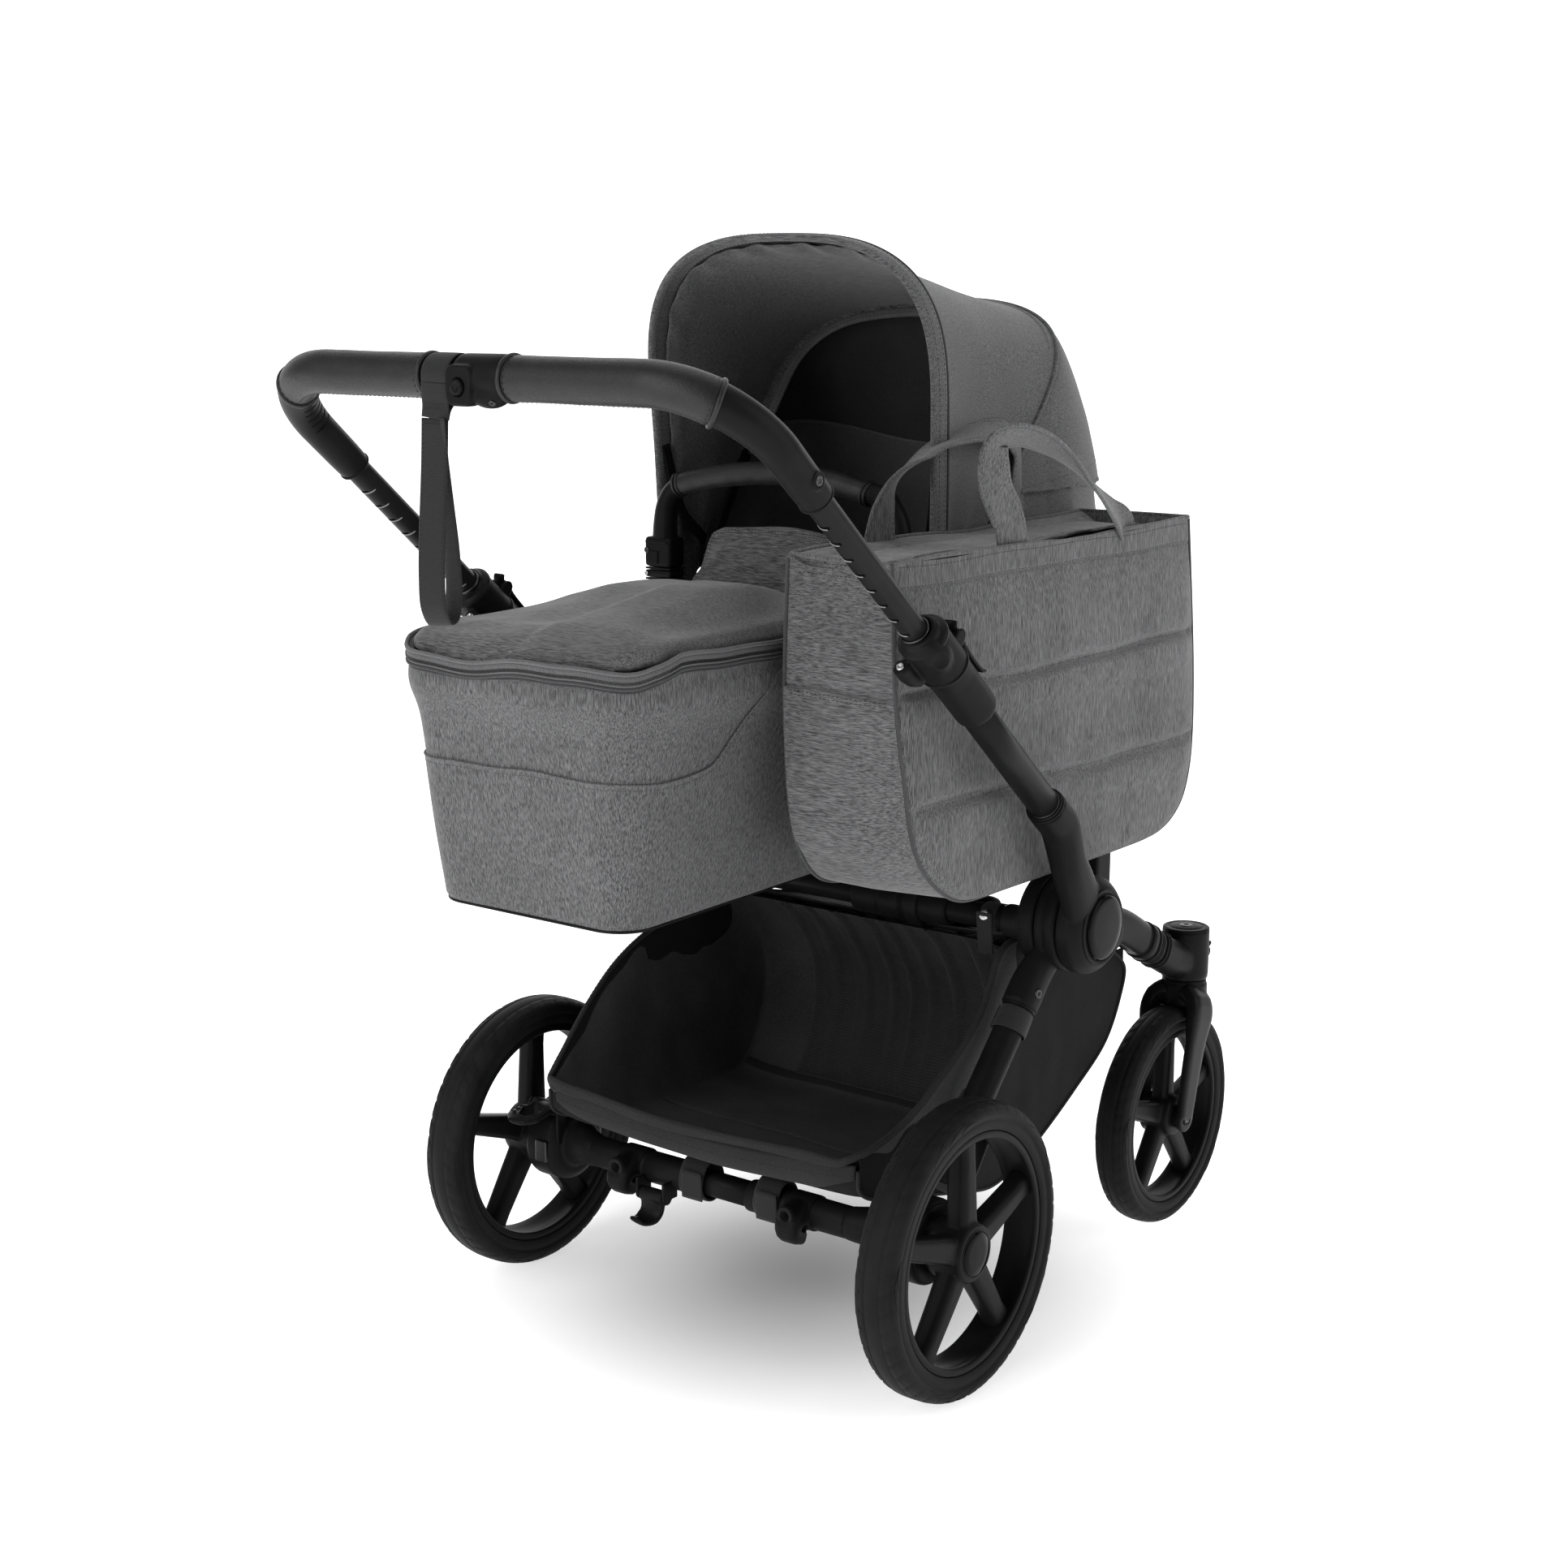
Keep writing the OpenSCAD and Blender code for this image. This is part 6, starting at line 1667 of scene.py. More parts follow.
def apron():
    # plan: rounded at the foot, square at the hood end
    ys = np.r_[np.linspace(0, 1, 26)[:-1] ** 2 * 60 - 236.5, np.linspace(-176.5, 150, 60), 150 + (1 - np.linspace(1, 0, 12)[1:] ** 2) * 42]
    ss = np.sin(np.linspace(-np.pi / 2, np.pi / 2, 71))
    V = []
    for y in ys:
        t = max(0.0, 50 - (y + 236.5))
        hw = 159.5 - 50 + math.sqrt(max(50**2 - t**2, 0.0)) if t > 0 else 159.5
        for s in ss:
            V.append((CX + hw * s, y))
    V = np.array(V)
    dx = np.empty(len(V))
    hwv = np.repeat([(159.5 - 50 + math.sqrt(max(50**2 - max(0.0, 50 - (y + 236.5)) ** 2, 0.0))) if y + 236.5 < 50 else 159.5 for y in ys], len(ss))
    dside = hwv - np.abs(V[:, 0] - CX)
    dfoot = V[:, 1] + 236.5
    d = np.minimum(dside, dfoot)
    d = np.maximum(d, 0)
    dback = 194 - V[:, 1]
    q = np.clip(d / 20.0, 0, 1)
    roll = np.sqrt(np.clip(1 - (1 - q) ** 2, 0, 1))
    H = np.interp(V[:, 1], [-236, -200, -150, -100, -60, -10, 40, 90, 140, 175, 194], [12, 15, 21, 23, 27, 34, 34, 29, 21, 15, 13])
    g = np.clip((d - 6) / 95.0, 0, 1)
    g = g * g * (3 - 2 * g)
    z = zip_z(V[:, 0], V[:, 1]) + 4.5 + 11 * roll + (H - 11) * g
    # folds of the cover: long slanting waves and a hollow near the foot
    P3 = np.column_stack([V, np.zeros(len(V))])
    w = value_noise(P3 @ np.array([[0.85, 0.5, 0], [-0.35, 0.62, 0], [0, 0, 1]]).T, 88, 21) * 5.0
    w += value_noise(P3 @ np.array([[0.7, 0.9, 0], [-0.6, 0.5, 0], [0, 0, 1]]).T, 40, 5) * 1.6
    w -= 5.5 * np.exp(-(((V[:, 1] + 150) / 26) ** 2)) * np.exp(-(((V[:, 0] + 120) / 75) ** 2))
    w -= 6.0 * np.exp(-((((V[:, 0] - 25) * 0.8 + (V[:, 1] - 20) * 0.35) / 20) ** 2)) * np.clip((V[:, 1] + 60) / 60, 0, 1)
    z += w * np.clip(d / 40.0, 0, 1) * np.clip(dback / 30.0, 0, 1)
    top = np.column_stack([V, z]).reshape(len(ys), len(ss), 3)
    bot = top.copy()
    bot[..., 2] = (zip_z(V[:, 0], V[:, 1]) + 1.0).reshape(len(ys), len(ss))
    m, n = len(ys), len(ss)
    verts = np.vstack([top.reshape(-1, 3), bot.reshape(-1, 3)])
    F = grid_faces(m, n)
    F += [tuple(reversed([a + m * n for a in f])) for f in grid_faces(m, n)]
    for j in range(n - 1):
        for i, flip in ((0, 0), (m - 1, 1)):
            a, b = i * n + j, i * n + j + 1
            F.append((a, b, b + m * n, a + m * n))
    for i in range(m - 1):
        for j in (0, n - 1):
            a, b = i * n + j, (i + 1) * n + j
            F.append((a, b, b + m * n, a + m * n))
    ob = fix_normals(obj_from("apron_cover", verts, F))
    puff(ob, 4.5, 3.2, 5.0, 16)
    keep(ob, "carrycot", M["grey_x"], ["apron"])

    # wind flap standing up before the hood
    zs = np.linspace(0, 1, 34)
    xs = np.linspace(-1, 1, 72)
    fr, bk = [], []
    for zf in zs:
        z = 731 + 88 * zf
        hw = np.interp(z, [731, 742, 768, 800, 812, 819], [142, 135, 110, 97, 90, 74])
        for s in xs:
            x = CX + hw * s + 6 * (1 - zf)
            edge = min(1.0, (1 - abs(s)) * hw / 7.0, (1 - zf) * 88 / 7.0 + 0.02)
            th = 1.2 + 3.6 * math.sqrt(max(0.0, 1 - (1 - edge) ** 2))
            y = 188.5 - 9 * (1 - zf) ** 2.2 + 1.6 * math.sin(s * 5.0 + 1.2 * zf * 3) * (1 - zf * 0.6) - 2.0 * zf
            top = z - 5.0 * s * s * zf * zf + 1.1 * math.sin(s * 4 + 0.6) * zf
            fr.append((x, y - th, top))
            bk.append((x, y + th, top))
    m, n = len(zs), len(xs)
    verts = np.array(fr + bk)
    F = grid_faces(m, n) + [tuple(reversed([a + m * n for a in f])) for f in grid_faces(m, n)]
    for j in range(n - 1):
        for i in (0, m - 1):
            F.append((i * n + j, i * n + j + 1, i * n + j + 1 + m * n, i * n + j + m * n))
    for i in range(m - 1):
        for j in (0, n - 1):
            F.append((i * n + j, (i + 1) * n + j, (i + 1) * n + j + m * n, i * n + j + m * n))
    fl = fix_normals(obj_from("wind_flap", verts, F))
    v = mm_np(fl)
    # the seam that joins it to the apron
    g = np.exp(-(((v[:, 2] - 754 - 0.02 * (v[:, 0] - CX)) / 2.2) ** 2))
    v[:, 1] += np.where(v[:, 1] < 190, 1.0, 0) * g * 2.6
    mm_set(fl, v)
    subdivide(fl, 1)
    keep(fl, "carrycot", M["grey_x"])
    # double row of stitches along its edge
    for c, ins in enumerate((4.2, 7.0)):
        path = []
        for zf in np.linspace(0.08, 1 - ins / 88, 30):
            z = 731 + 88 * zf
            hw = np.interp(z, [731, 742, 768, 800, 812, 819], [142, 135, 110, 97, 90, 74]) - ins
            path.append((CX - hw + 6 * (1 - zf), 188.5 - 9 * (1 - zf) ** 2.2 - 2.0 * zf - 4.9 + 1.6 * math.sin(-5.0 + 3.6 * zf) * (1 - zf * 0.6), z - 4.6 * zf * zf))
        x0 = path[-1][0]
        for x in np.linspace(x0 + 3, -2 * -85 * -1 - x0 - 3, 40):
            s = (x - CX) / 80.0
            path.append((x, 186.5 - 4.9 + 1.6 * math.sin(s * 5.0 + 3.6) * 0.4, 819 - ins - 4.6 * s * s * 0.9))
        st = stitches("s", smooth_path(path, 120), (0, -1, 0.1), 3.0, 1.6, 0.6, 0.4, 0.2, M["thread_dark"])
        if st:
            st.name = "flap_stitches_%d" % c
            keep(st, "carrycot")


def mattress():
    n = 200
    rows = []
    for z, g in ((479.5, -30), (479, -6), (480, -2), (484, 0), (498, 1.5), (510, 1.0), (515, -1.5), (517.5, -6), (519.5, -20), (520.5, -45), (520, -80), (519.5, -100)):
        q, nr = rr_loop(213 + 2 * g, 752 + 2 * g, max(57 + g, 6), n, CX, CY + 3)
        p3 = np.column_stack([q, np.full(n, z)])
        rows.append(np.column_stack([q, z + value_noise(p3, 60, 31) * (0.8 if z > 512 else 0)]))
    V = np.array(rows)
    m = len(rows)
    verts = np.vstack([V.reshape(-1, 3), V[0].mean(0), V[-1].mean(0)])
    F = grid_faces(m, n, False, True)
    for j in range(n):
        F.append((m * n, (j + 1) % n, j))
        F.append((m * n + 1, (m - 1) * n + j, (m - 1) * n + (j + 1) % n))
    ob = fix_normals(obj_from("mattress_pad", verts, F))
    subdivide(ob, 1)
    keep(ob, "carrycot", M["lining"], ["mattress"])


def cot_fittings():
    parts = []
    for s, x0, x1 in ((-1, -262, -230), (1, 60, 92)):
        a = box_mesh("a", (x0 + (0 if s < 0 else 14), 229, 661), (x1 - (14 if s < 0 else 0), 271, 706), 4, 4)
        b = box_mesh("b", (x0 + (4 if s < 0 else 8), 234, 668), (x1 - (8 if s < 0 else 4), 266, 712), 3, 3)
        c = cast("clip", [a, b], 1.6, 5)
        parts.append(c)
        face = x0 if s < 0 else x1
        parts.append(cyl("d", (face - s * 2, 250, 684), (face + s * 1.2, 250, 684), 11, 48, bevel=1.2))
    ob = join("cot_clip_housings", parts)
    keep(ob, "carrycot", M["cast"], ["cot_clips"])
    # feet of the carrying handle on the rim
    parts = []
    for s in (-1, 1):
        xc = CX + s * 158.5
        base = box_mesh("a", (xc - 21, 168, 716), (xc + 21, 202, 726.5), 4.5, 4)
        neck = box_mesh("b", (xc - 13, 175, 722), (xc + 13, 195, 731), 4, 3)
        parts.append(cast("f", [base, neck], 1.5, 6))
    ob = join("handle_feet", parts)
    keep(ob, "carrycot", M["cast"])


def carry_handle():
    y = 185.0
    xl, xr = -243.5, 73.5
    for nm, xc, s in (("left", xl, -1), ("right", xr, 1)):
        parts = [
            box_mesh("a", (xc - 18.5, y - 13, 729), (xc + 18.5, y + 13, 750.5), 4.5, 4),
            box_mesh("b", (xc - 18.8, y - 13.5, 765.5), (xc + 18.8, y + 13.5, 799), 5.0, 4),
        ]
        body = join("handle_block_" + nm, [cast("c", [p], 1.3, 4) for p in parts])
        # raised panel with rounded corners, and its border groove
        pan = box_mesh("p", (xc - 2, y - 14.6, 731.5), (xc + 15, y - 11, 748), 1.6, 3)
        pan2 = box_mesh("p2", (xc - 13, y - 14.8, 769), (xc + 2.0, y - 11, 784), 1.6, 3)
        pan3 = box_mesh("p3", (xc - 16.0, y - 15.0, 792.0), (xc + 15.0, y - 11, 795.0), 1.0, 2)
        body = join("handle_block_" + nm, [body, pan, pan2, pan3])
        keep(body, "carry_bow", M["cast"], ["carry_handle"] if s < 0 else [])
        ring = []
        for z0, z1, g in ((751.0, 753.2, 0.4), (754.0, 762.0, 1.0), (762.8, 765.0, 0.4)):
            ring.append(box_mesh("r", (xc - 18.2 - g + 0.6, y - 12.8 - g + 0.6, z0), (xc + 18.2 + g - 0.6, y + 12.8 + g - 0.6, z1), 3.2 if z1 - z0 > 6 else 1.0, 3))
        rg = join("handle_ring_" + nm, ring)
        keep(rg, "carry_bow", M["cast_soft"])
        for k, (dz, r) in enumerate(((784, 3.4), (758, 2.6))):
            sc = screw_head("handle_screw_%s_%d" % (nm, k), (xc - 14.5, y - 13.6 - (0.5 if k else 0), dz), (0, -1, 0), r, M["screw_dark"] if k == 0 else M["screw"], 1.2, True)
            keep(sc, "carry_bow")
        # corner: a tube that swells into the block, with grooves along it
        col = -221.0 if s < 0 else 34.0
        zc = 855.5 if s < 0 else 858.0
        pts = [(xc, y, 792), (xc + s * -0.5, y, 812), (xc - s * 3.5, y, 832), (xc - s * 11, y, 847), (xc - s * 20, y, zc - 0.5), (xc - s * (abs(xc - col) + 2), y, zc + (2.5 if s < 0 else 3.5))]
        path = smooth_path(pts, 60)
        f = np.linspace(0, 1, 60)
        ra = 14.5 - 3.2 * np.clip(f * 1.25, 0, 1)
        rb = 12.5 - 1.2 * f
        t = tube("corner_" + nm, path, np.stack([ra, rb], 1), 40, up=(s * 1.0, 0, 0))
        keep(t, "carry_bow", M["cast_soft"])
        tt, aa, bb = frames(path, False, (s * 1.0, 0, 0))
        ribs = []
        for k, ang in enumerate(np.radians([196, 214, 232, 250, 268, 286])):
            # on the inner side and facing the handlebar
            a, b = math.cos(ang), math.sin(ang)
            sgn = 1.0
            off = aa * (a * ra * 0.985)[:, None] + bb * (b * rb * 0.985)[:, None]
            cand = path + off
            if (path + bb * rb[:, None])[0, 1] > y:
                cand = path + off
            ribs.append(tube("r", cand[4:54], 1.05, 8, up=(0, 1, 0)))
        rb_ = join("corner_ribs_" + nm, ribs)
        keep(rb_, "carry_bow", M["cast_soft"])
    # padded middle, leather over the tube
    mid = smooth_path([(-221, y, 857.5), (-190, y, 865), (-150, y, 871.5), (-105, y, 875.5), (-60, y, 875.5), (-15, y, 870.5), (34, y, 861)], 110)
    f = np.linspace(0, 1, 110)
    r = 11.9 + 0.9 * np.sin(np.pi * f) ** 0.5
    r += 0.25 * np.sin(f * 40) * np.sin(f * 17)
    ob = tube("carry_grip", mid, r, 48, up=(0, 0, 1))
    keep(ob, "carry_bow", M["grip"])
    tt, aa, bb = frames(mid, False, (0, 0, 1))
    for c, ang in enumerate((205, 215)):
        a, b = math.cos(math.radians(ang)), math.sin(math.radians(ang))
        nrm = aa * a + bb * b
        if nrm[0][1] > 0:
            nrm = aa * a - bb * b
        st = stitches("s", mid + nrm * (r[:, None] + 0.05), nrm, 3.2, 1.7, 0.7, 0.4, 0.0, M["thread_dark"])
        st.name = "carry_grip_stitches_%d" % c
        keep(st, "carry_bow")
    for nm, i0, i1 in (("left", 0, 3), ("right", 109, 106)):
        c, d = mid[i0], mid[i1]
        v = (d - c) / np.linalg.norm(d - c)
        rings = []
        for k, (o, rr) in enumerate(((-1.5, 13.4), (3.4, 13.2))):
            cc = c + v * o
            t0 = np.array([0, 1.0, 0])
            u0 = np.cross(v, t0)
            circ = [cc + (u0 * math.cos(q) + t0 * math.sin(q)) * (rr - 1.4) for q in np.linspace(0, 2 * np.pi, 60, endpoint=False)]
            rings.append(tube("q", circ, 1.7, 12, closed=True, up=v))
        ob = join("carry_grip_collar_" + nm, rings)
        keep(ob, "carry_bow", M["grip"] if nm else None)


cot_shell()
zip_band()
apron()
mattress()
cot_fittings()
carry_handle()


# ------------------------------------------------------------------ hood
FY = 205.0
LEAN = math.radians(37.6)
MO = (273.9, 769.0)
NU = 181


def arch_prof(hw, h, n=NU, base=0.96, e=0.714, zb=0.623):
    """Arch outline by equal steps, from the +x foot over the top to the -x foot, with outward directions."""
    p = [(hw * base, 0.0)]
    for a in np.linspace(0, np.pi, 121):
        c, s = math.cos(a), math.sin(a)
        p.append((hw * math.copysign(abs(c) ** e, c), h * (zb + (1 - zb) * s**e)))
    p.append((-hw * base, 0.0))
    p = np.array(p)
    q = smooth_path(p[:, [0, 1, 1]], n * 3)[:, :2]
    q = resample(q, n)
    # soften the joins of the outline
    for _ in range(10):
        q[1:-1] = 0.5 * q[1:-1] + 0.25 * (q[2:] + q[:-2])
    q = resample(q, n)
    t = np.gradient(q, axis=0)
    t /= np.linalg.norm(t, axis=1)[:, None]
    return q, np.stack([t[:, 1], -t[:, 0]], 1)


def front_pt(o, y, hw=187.5, h=403.0):
    q, nr = arch_prof(hw, h)
    q = q + nr * np.asarray(o, float).reshape(-1, 1)
    # the hoop leans back over the cot towards its top
    lean = 29.0 * (np.clip(q[:, 1], 0, None) / 403.0) ** 2
    return np.column_stack([CX + 4.0 + q[:, 0], y - lean, 720 + q[:, 1]])


def mid_pt(o, d, hw=188.0, h=364.0):
    """o outward in the arch's plane, d along the plane's normal towards the front."""
    q, nr = arch_prof(hw, h)
    q = q + nr * np.asarray(o, float).reshape(-1, 1)
    y = MO[0] + q[:, 1] * math.sin(LEAN) - d * math.cos(LEAN)
    z = MO[1] + q[:, 1] * math.cos(LEAN) + d * math.sin(LEAN)
    return np.column_stack([CX + q[:, 0], y, z])


UU = np.linspace(-1, 1, NU)


def surf_normals(S):
    du = np.gradient(S, axis=1)
    dv = np.gradient(S, axis=0)
    n = np.cross(du, dv)
    n /= np.linalg.norm(n, axis=2)[:, :, None] + 1e-9
    c = np.array([CX, 330.0, 800.0])
    m = S.shape[1] // 2
    if np.sum(n[:, m] * (S[:, m] - c)) < 0:
        n = -n
    return n


def canopy_rows(vs, inset=0.0):
    A = front_pt(1.5 - 0.0, 218.0)
    B = mid_pt(0.5, 1.0)
    S = np.array([A * (1 - v) + B * v for v in vs])
    V = np.array(vs)[:, None] * np.ones(NU)
    U = np.abs(UU)[None, :] * np.ones((len(vs), 1))
    N = surf_normals(S)
    # cloth pulls in between the arches, most on the shoulders
    amp = 7.0 + 8.0 * np.exp(-(((U - 0.42) / 0.22) ** 2)) + 3.0 * np.exp(-(((U - 0.85) / 0.2) ** 2))
    prof = np.sin(np.pi * np.clip(V, 0, 1)) ** 0.85 * (1.0 - 0.25 * V)
    sag = -amp * prof
    flat = S.reshape(-1, 3)
    w = value_noise(flat, 95, 12).reshape(S.shape[:2]) * 2.2 + value_noise(flat * np.array([1, 0.6, 1]), 42, 4).reshape(S.shape[:2]) * 0.8
    # drag lines from the foot of the hood
    low = np.clip((U - 0.62) / 0.3, 0, 1)
    w += low * 3.2 * np.sin(V * 13 + UU[None, :] * 6) * np.sin(np.pi * V)
    sag = sag + w * np.sin(np.pi * np.clip(V, 0, 1)) ** 0.6
    return S + N * (sag - inset)[:, :, None], N


def foot_trim(S, z0):
    S = S.copy()
    S[..., 2] = np.maximum(S[..., 2], z0)
    return S


def canopy():
    vs = np.linspace(0.0, 1.0, 84)
    S, N = canopy_rows(vs)
    ob = sheet_obj("canopy", S, False, M["grey_x"])
    area = float(sum(p.area for p in ob.data.polygons))
    w_ = float(np.sum(np.linalg.norm(np.diff(S[40], axis=0), axis=1))) / 1000.0
    l_ = float(np.max(np.sum(np.linalg.norm(np.diff(S, axis=0), axis=2), axis=0))) / 1000.0
    solidify(ob, 1.4, -1.0)
    ob.data.materials.clear()
    keep_blend(ob, ["hood_canopy"])
    global CANOPY
    CANOPY = (ob, w_, l_, area)
    set_mat(ob, M["grey_x"])
    # lining on the inside, gathered along its front edge
    vs = np.linspace(0.03, 0.985, 60)
    L, N = canopy_rows(vs, 5.5)
    V = vs[:, None]
    U = UU[None, :]
    gather = 1.6 * np.sin(U * 62) * np.exp(-((V - 0.07) / 0.06) ** 2) + 1.1 * np.sin(U * 105 + 2) * np.exp(-((V - 0.05) / 0.04) ** 2)
    gather = gather * (U < 0.75) * np.clip((U + 0.95) / 0.2, 0, 1)
    L = L - N * (gather + 1.2 * np.exp(-((V - 0.10) / 0.05) ** 2))[:, :, None]
    li = sheet_obj("canopy_lining", L, False)
    solidify(li, 0.8, -1.0)
    keep_blend(li)
    set_mat(li, M["grey_x"])


def keep_blend(ob, replaces=()):
    """Bakes the object's transform into its mesh and hides the parts it replaces."""
    bpy.context.view_layer.update()
    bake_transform(ob)
    if replaces:
        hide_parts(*replaces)
    done.append(ob)
    return ob


def front_band():
    # a hem turned over the front arch
    prof = [(-4.0, 228.0), (-4.4, 222), (-4.6, 212), (-4.2, 206), (-2.8, 202.9), (-0.6, 201.7), (1.6, 202.2), (3.2, 204.4), (3.9, 208), (4.1, 219), (3.8, 223.4), (2.8, 225.2), (1.4, 225.2)]
    rows = []
    ph = np.cumsum(np.abs(np.gradient(UU))) * 0
    for o, y in prof:
        base = front_pt(0, y)
        wob = value_noise(base, 70, 8) * 0.7
        rows.append(front_pt(o + wob, y))
    ob = sheet_obj("hood_front_band", np.array(rows), False)
    solidify(ob, 1.0, -1.0)
    keep(ob, "hood_front", M["grey_x"], ["hood_rib_front"])
    q, nr = arch_prof(187.5, 403.0)
    nn = np.column_stack([nr[:, 0], np.zeros(NU), nr[:, 1]])
    for c, (o, y, sg) in enumerate(((4.15, 209.5, 1), (4.2, 220.6, 1), (-4.9, 210.0, -1), (-4.5, 224, -1))):
        path = smooth_path(front_pt(o + value_noise(front_pt(0, y), 70, 8) * 0.7, y)[3:-3], 700)
        nv = np.stack([np.interp(np.linspace(0, 1, 700), np.linspace(0, 1, NU), nn[:, k]) for k in range(3)], 1)
        st = stitches("s", path, nv * sg, 3.4, 1.8, 0.65, 0.4, 0.0, M["thread_dark"])
        st.name = "hood_band_stitches_%d" % c
        keep(st, "hood_front")
    # corded edge where the band is sewn to the canopy
    ob = tube("hood_front_cord", front_pt(2.6, 227.0)[2:-2], 1.6, 10, up=(0, 1, 0))
    keep(ob, "hood_front", M["trim_dark"])


def middle_arch():
    # corded seam outside
    ob = tube("hood_middle_cord", mid_pt(2.0, 0.0)[6:-6], 2.3, 12, up=(0, 1, 0))
    keep(ob, "hood_middle", M["grey_x"])
    # sleeve over the rib
    path = mid_pt(-7.5, 4.0)[12:-12]
    ob = tube("hood_rib_sleeve", path, (6.0, 8.0), 20, up=(1, 0, 0))
    keep(ob, "hood_middle", M["grey_z"], ["hood_rib_rear"])
    # gathered band and bound edge inside, over the upper part
    rows = []
    k = np.arange(NU)
    fade = np.clip(1.15 - np.abs(UU) * 1.15, 0, 1)
    for o, d, g in ((-2.0, 8.0, 0.2), (-4.5, 10.0, 0.7), (-8.0, 11.0, 1.0), (-12.0, 10.5, 1.0), (-15.5, 9.0, 0.55), (-17.5, 7.5, 0.1)):
        rip = g * (1.7 * np.sin(UU * 88 + 0.6 * np.sin(UU * 23)) + 1.0 * np.sin(UU * 141 + 1.7))
        rows.append(mid_pt(o + 0.3 * rip, d + rip))
    rows = np.array(rows)
    a, b = 34, NU - 34
    ob = sheet_obj("hood_gathers", rows[:, a:b], False)
    solidify(ob, 0.8)
    subdivide(ob, 1)
    keep(ob, "hood_middle", M["grey_x"])
    prof = [(-17.0, 6.5), (-17.0, 9.0), (-18.5, 10.6), (-26.0, 9.6), (-28.2, 8.2), (-28.4, 6.0), (-26.5, 4.6), (-18.0, 5.4), (-17.0, 6.5)]
    rows = np.array([mid_pt(o + 0.4 * np.sin(UU * 31), d) for o, d in prof])
    ob = sheet_obj("hood_inner_binding", rows[:, 28 : NU - 28], False)
    keep(ob, "hood_middle", M["trim"])
    nrm = (0, -math.cos(LEAN), math.sin(LEAN))
    for c, o in enumerate((-19.6, -25.2)):
        st = stitches("s", mid_pt(o + 0.4 * np.sin(UU * 31), 10.3 if c == 0 else 9.8)[30 : NU - 30], nrm, 3.2, 1.7, 0.6, 0.4, 0.1, M["thread_dark"])
        st.name = "hood_binding_stitches_%d" % c
        keep(st, "hood_middle")


def rim_path(n):
    """The cot rim round the head end, from +x side to -x side."""
    q, nr = rr_loop(321, 886, 52.5, 2000)
    sel = np.where(q[:, 1] > 288)[0]
    return resample(np.column_stack([q[sel], np.full(len(sel), 718.5)]), n)


def back_rows(vs, inset=0.0):
    B = mid_pt(-0.5, -1.0)
    R = rim_path(NU)
    # the feet of the arch take a share of the sides
    S = np.array([B * (1 - v) + R * v for v in vs])
    N = surf_normals(S)
    V = np.array(vs)[:, None]
    U = np.abs(UU)[None, :]
    amp = 9.0 + 15.0 * np.clip(1 - U / 0.6, 0, 1) ** 0.7
    bul = amp * np.sin(np.pi * np.clip(V, 0, 1) ** 0.62)
    flat = S.reshape(-1, 3)
    w = value_noise(flat, 90, 17).reshape(S.shape[:2]) * 2.0 + value_noise(flat, 38, 2).reshape(S.shape[:2]) * 0.7
    return S + N * (bul + w * np.sin(np.pi * V) ** 0.6 - inset)[:, :, None], N


BB = ((0, 0.0, 0.0), (0, 0.0, 0.0))


def blend_back(ob, mat, replaces=()):
    bpy.context.view_layer.update()
    # the offset of the axle does not change a direction, only where it starts
    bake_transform(ob)
    if replaces:
        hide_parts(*replaces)
    set_mat(ob, mat)
    done.append(ob)
    return ob


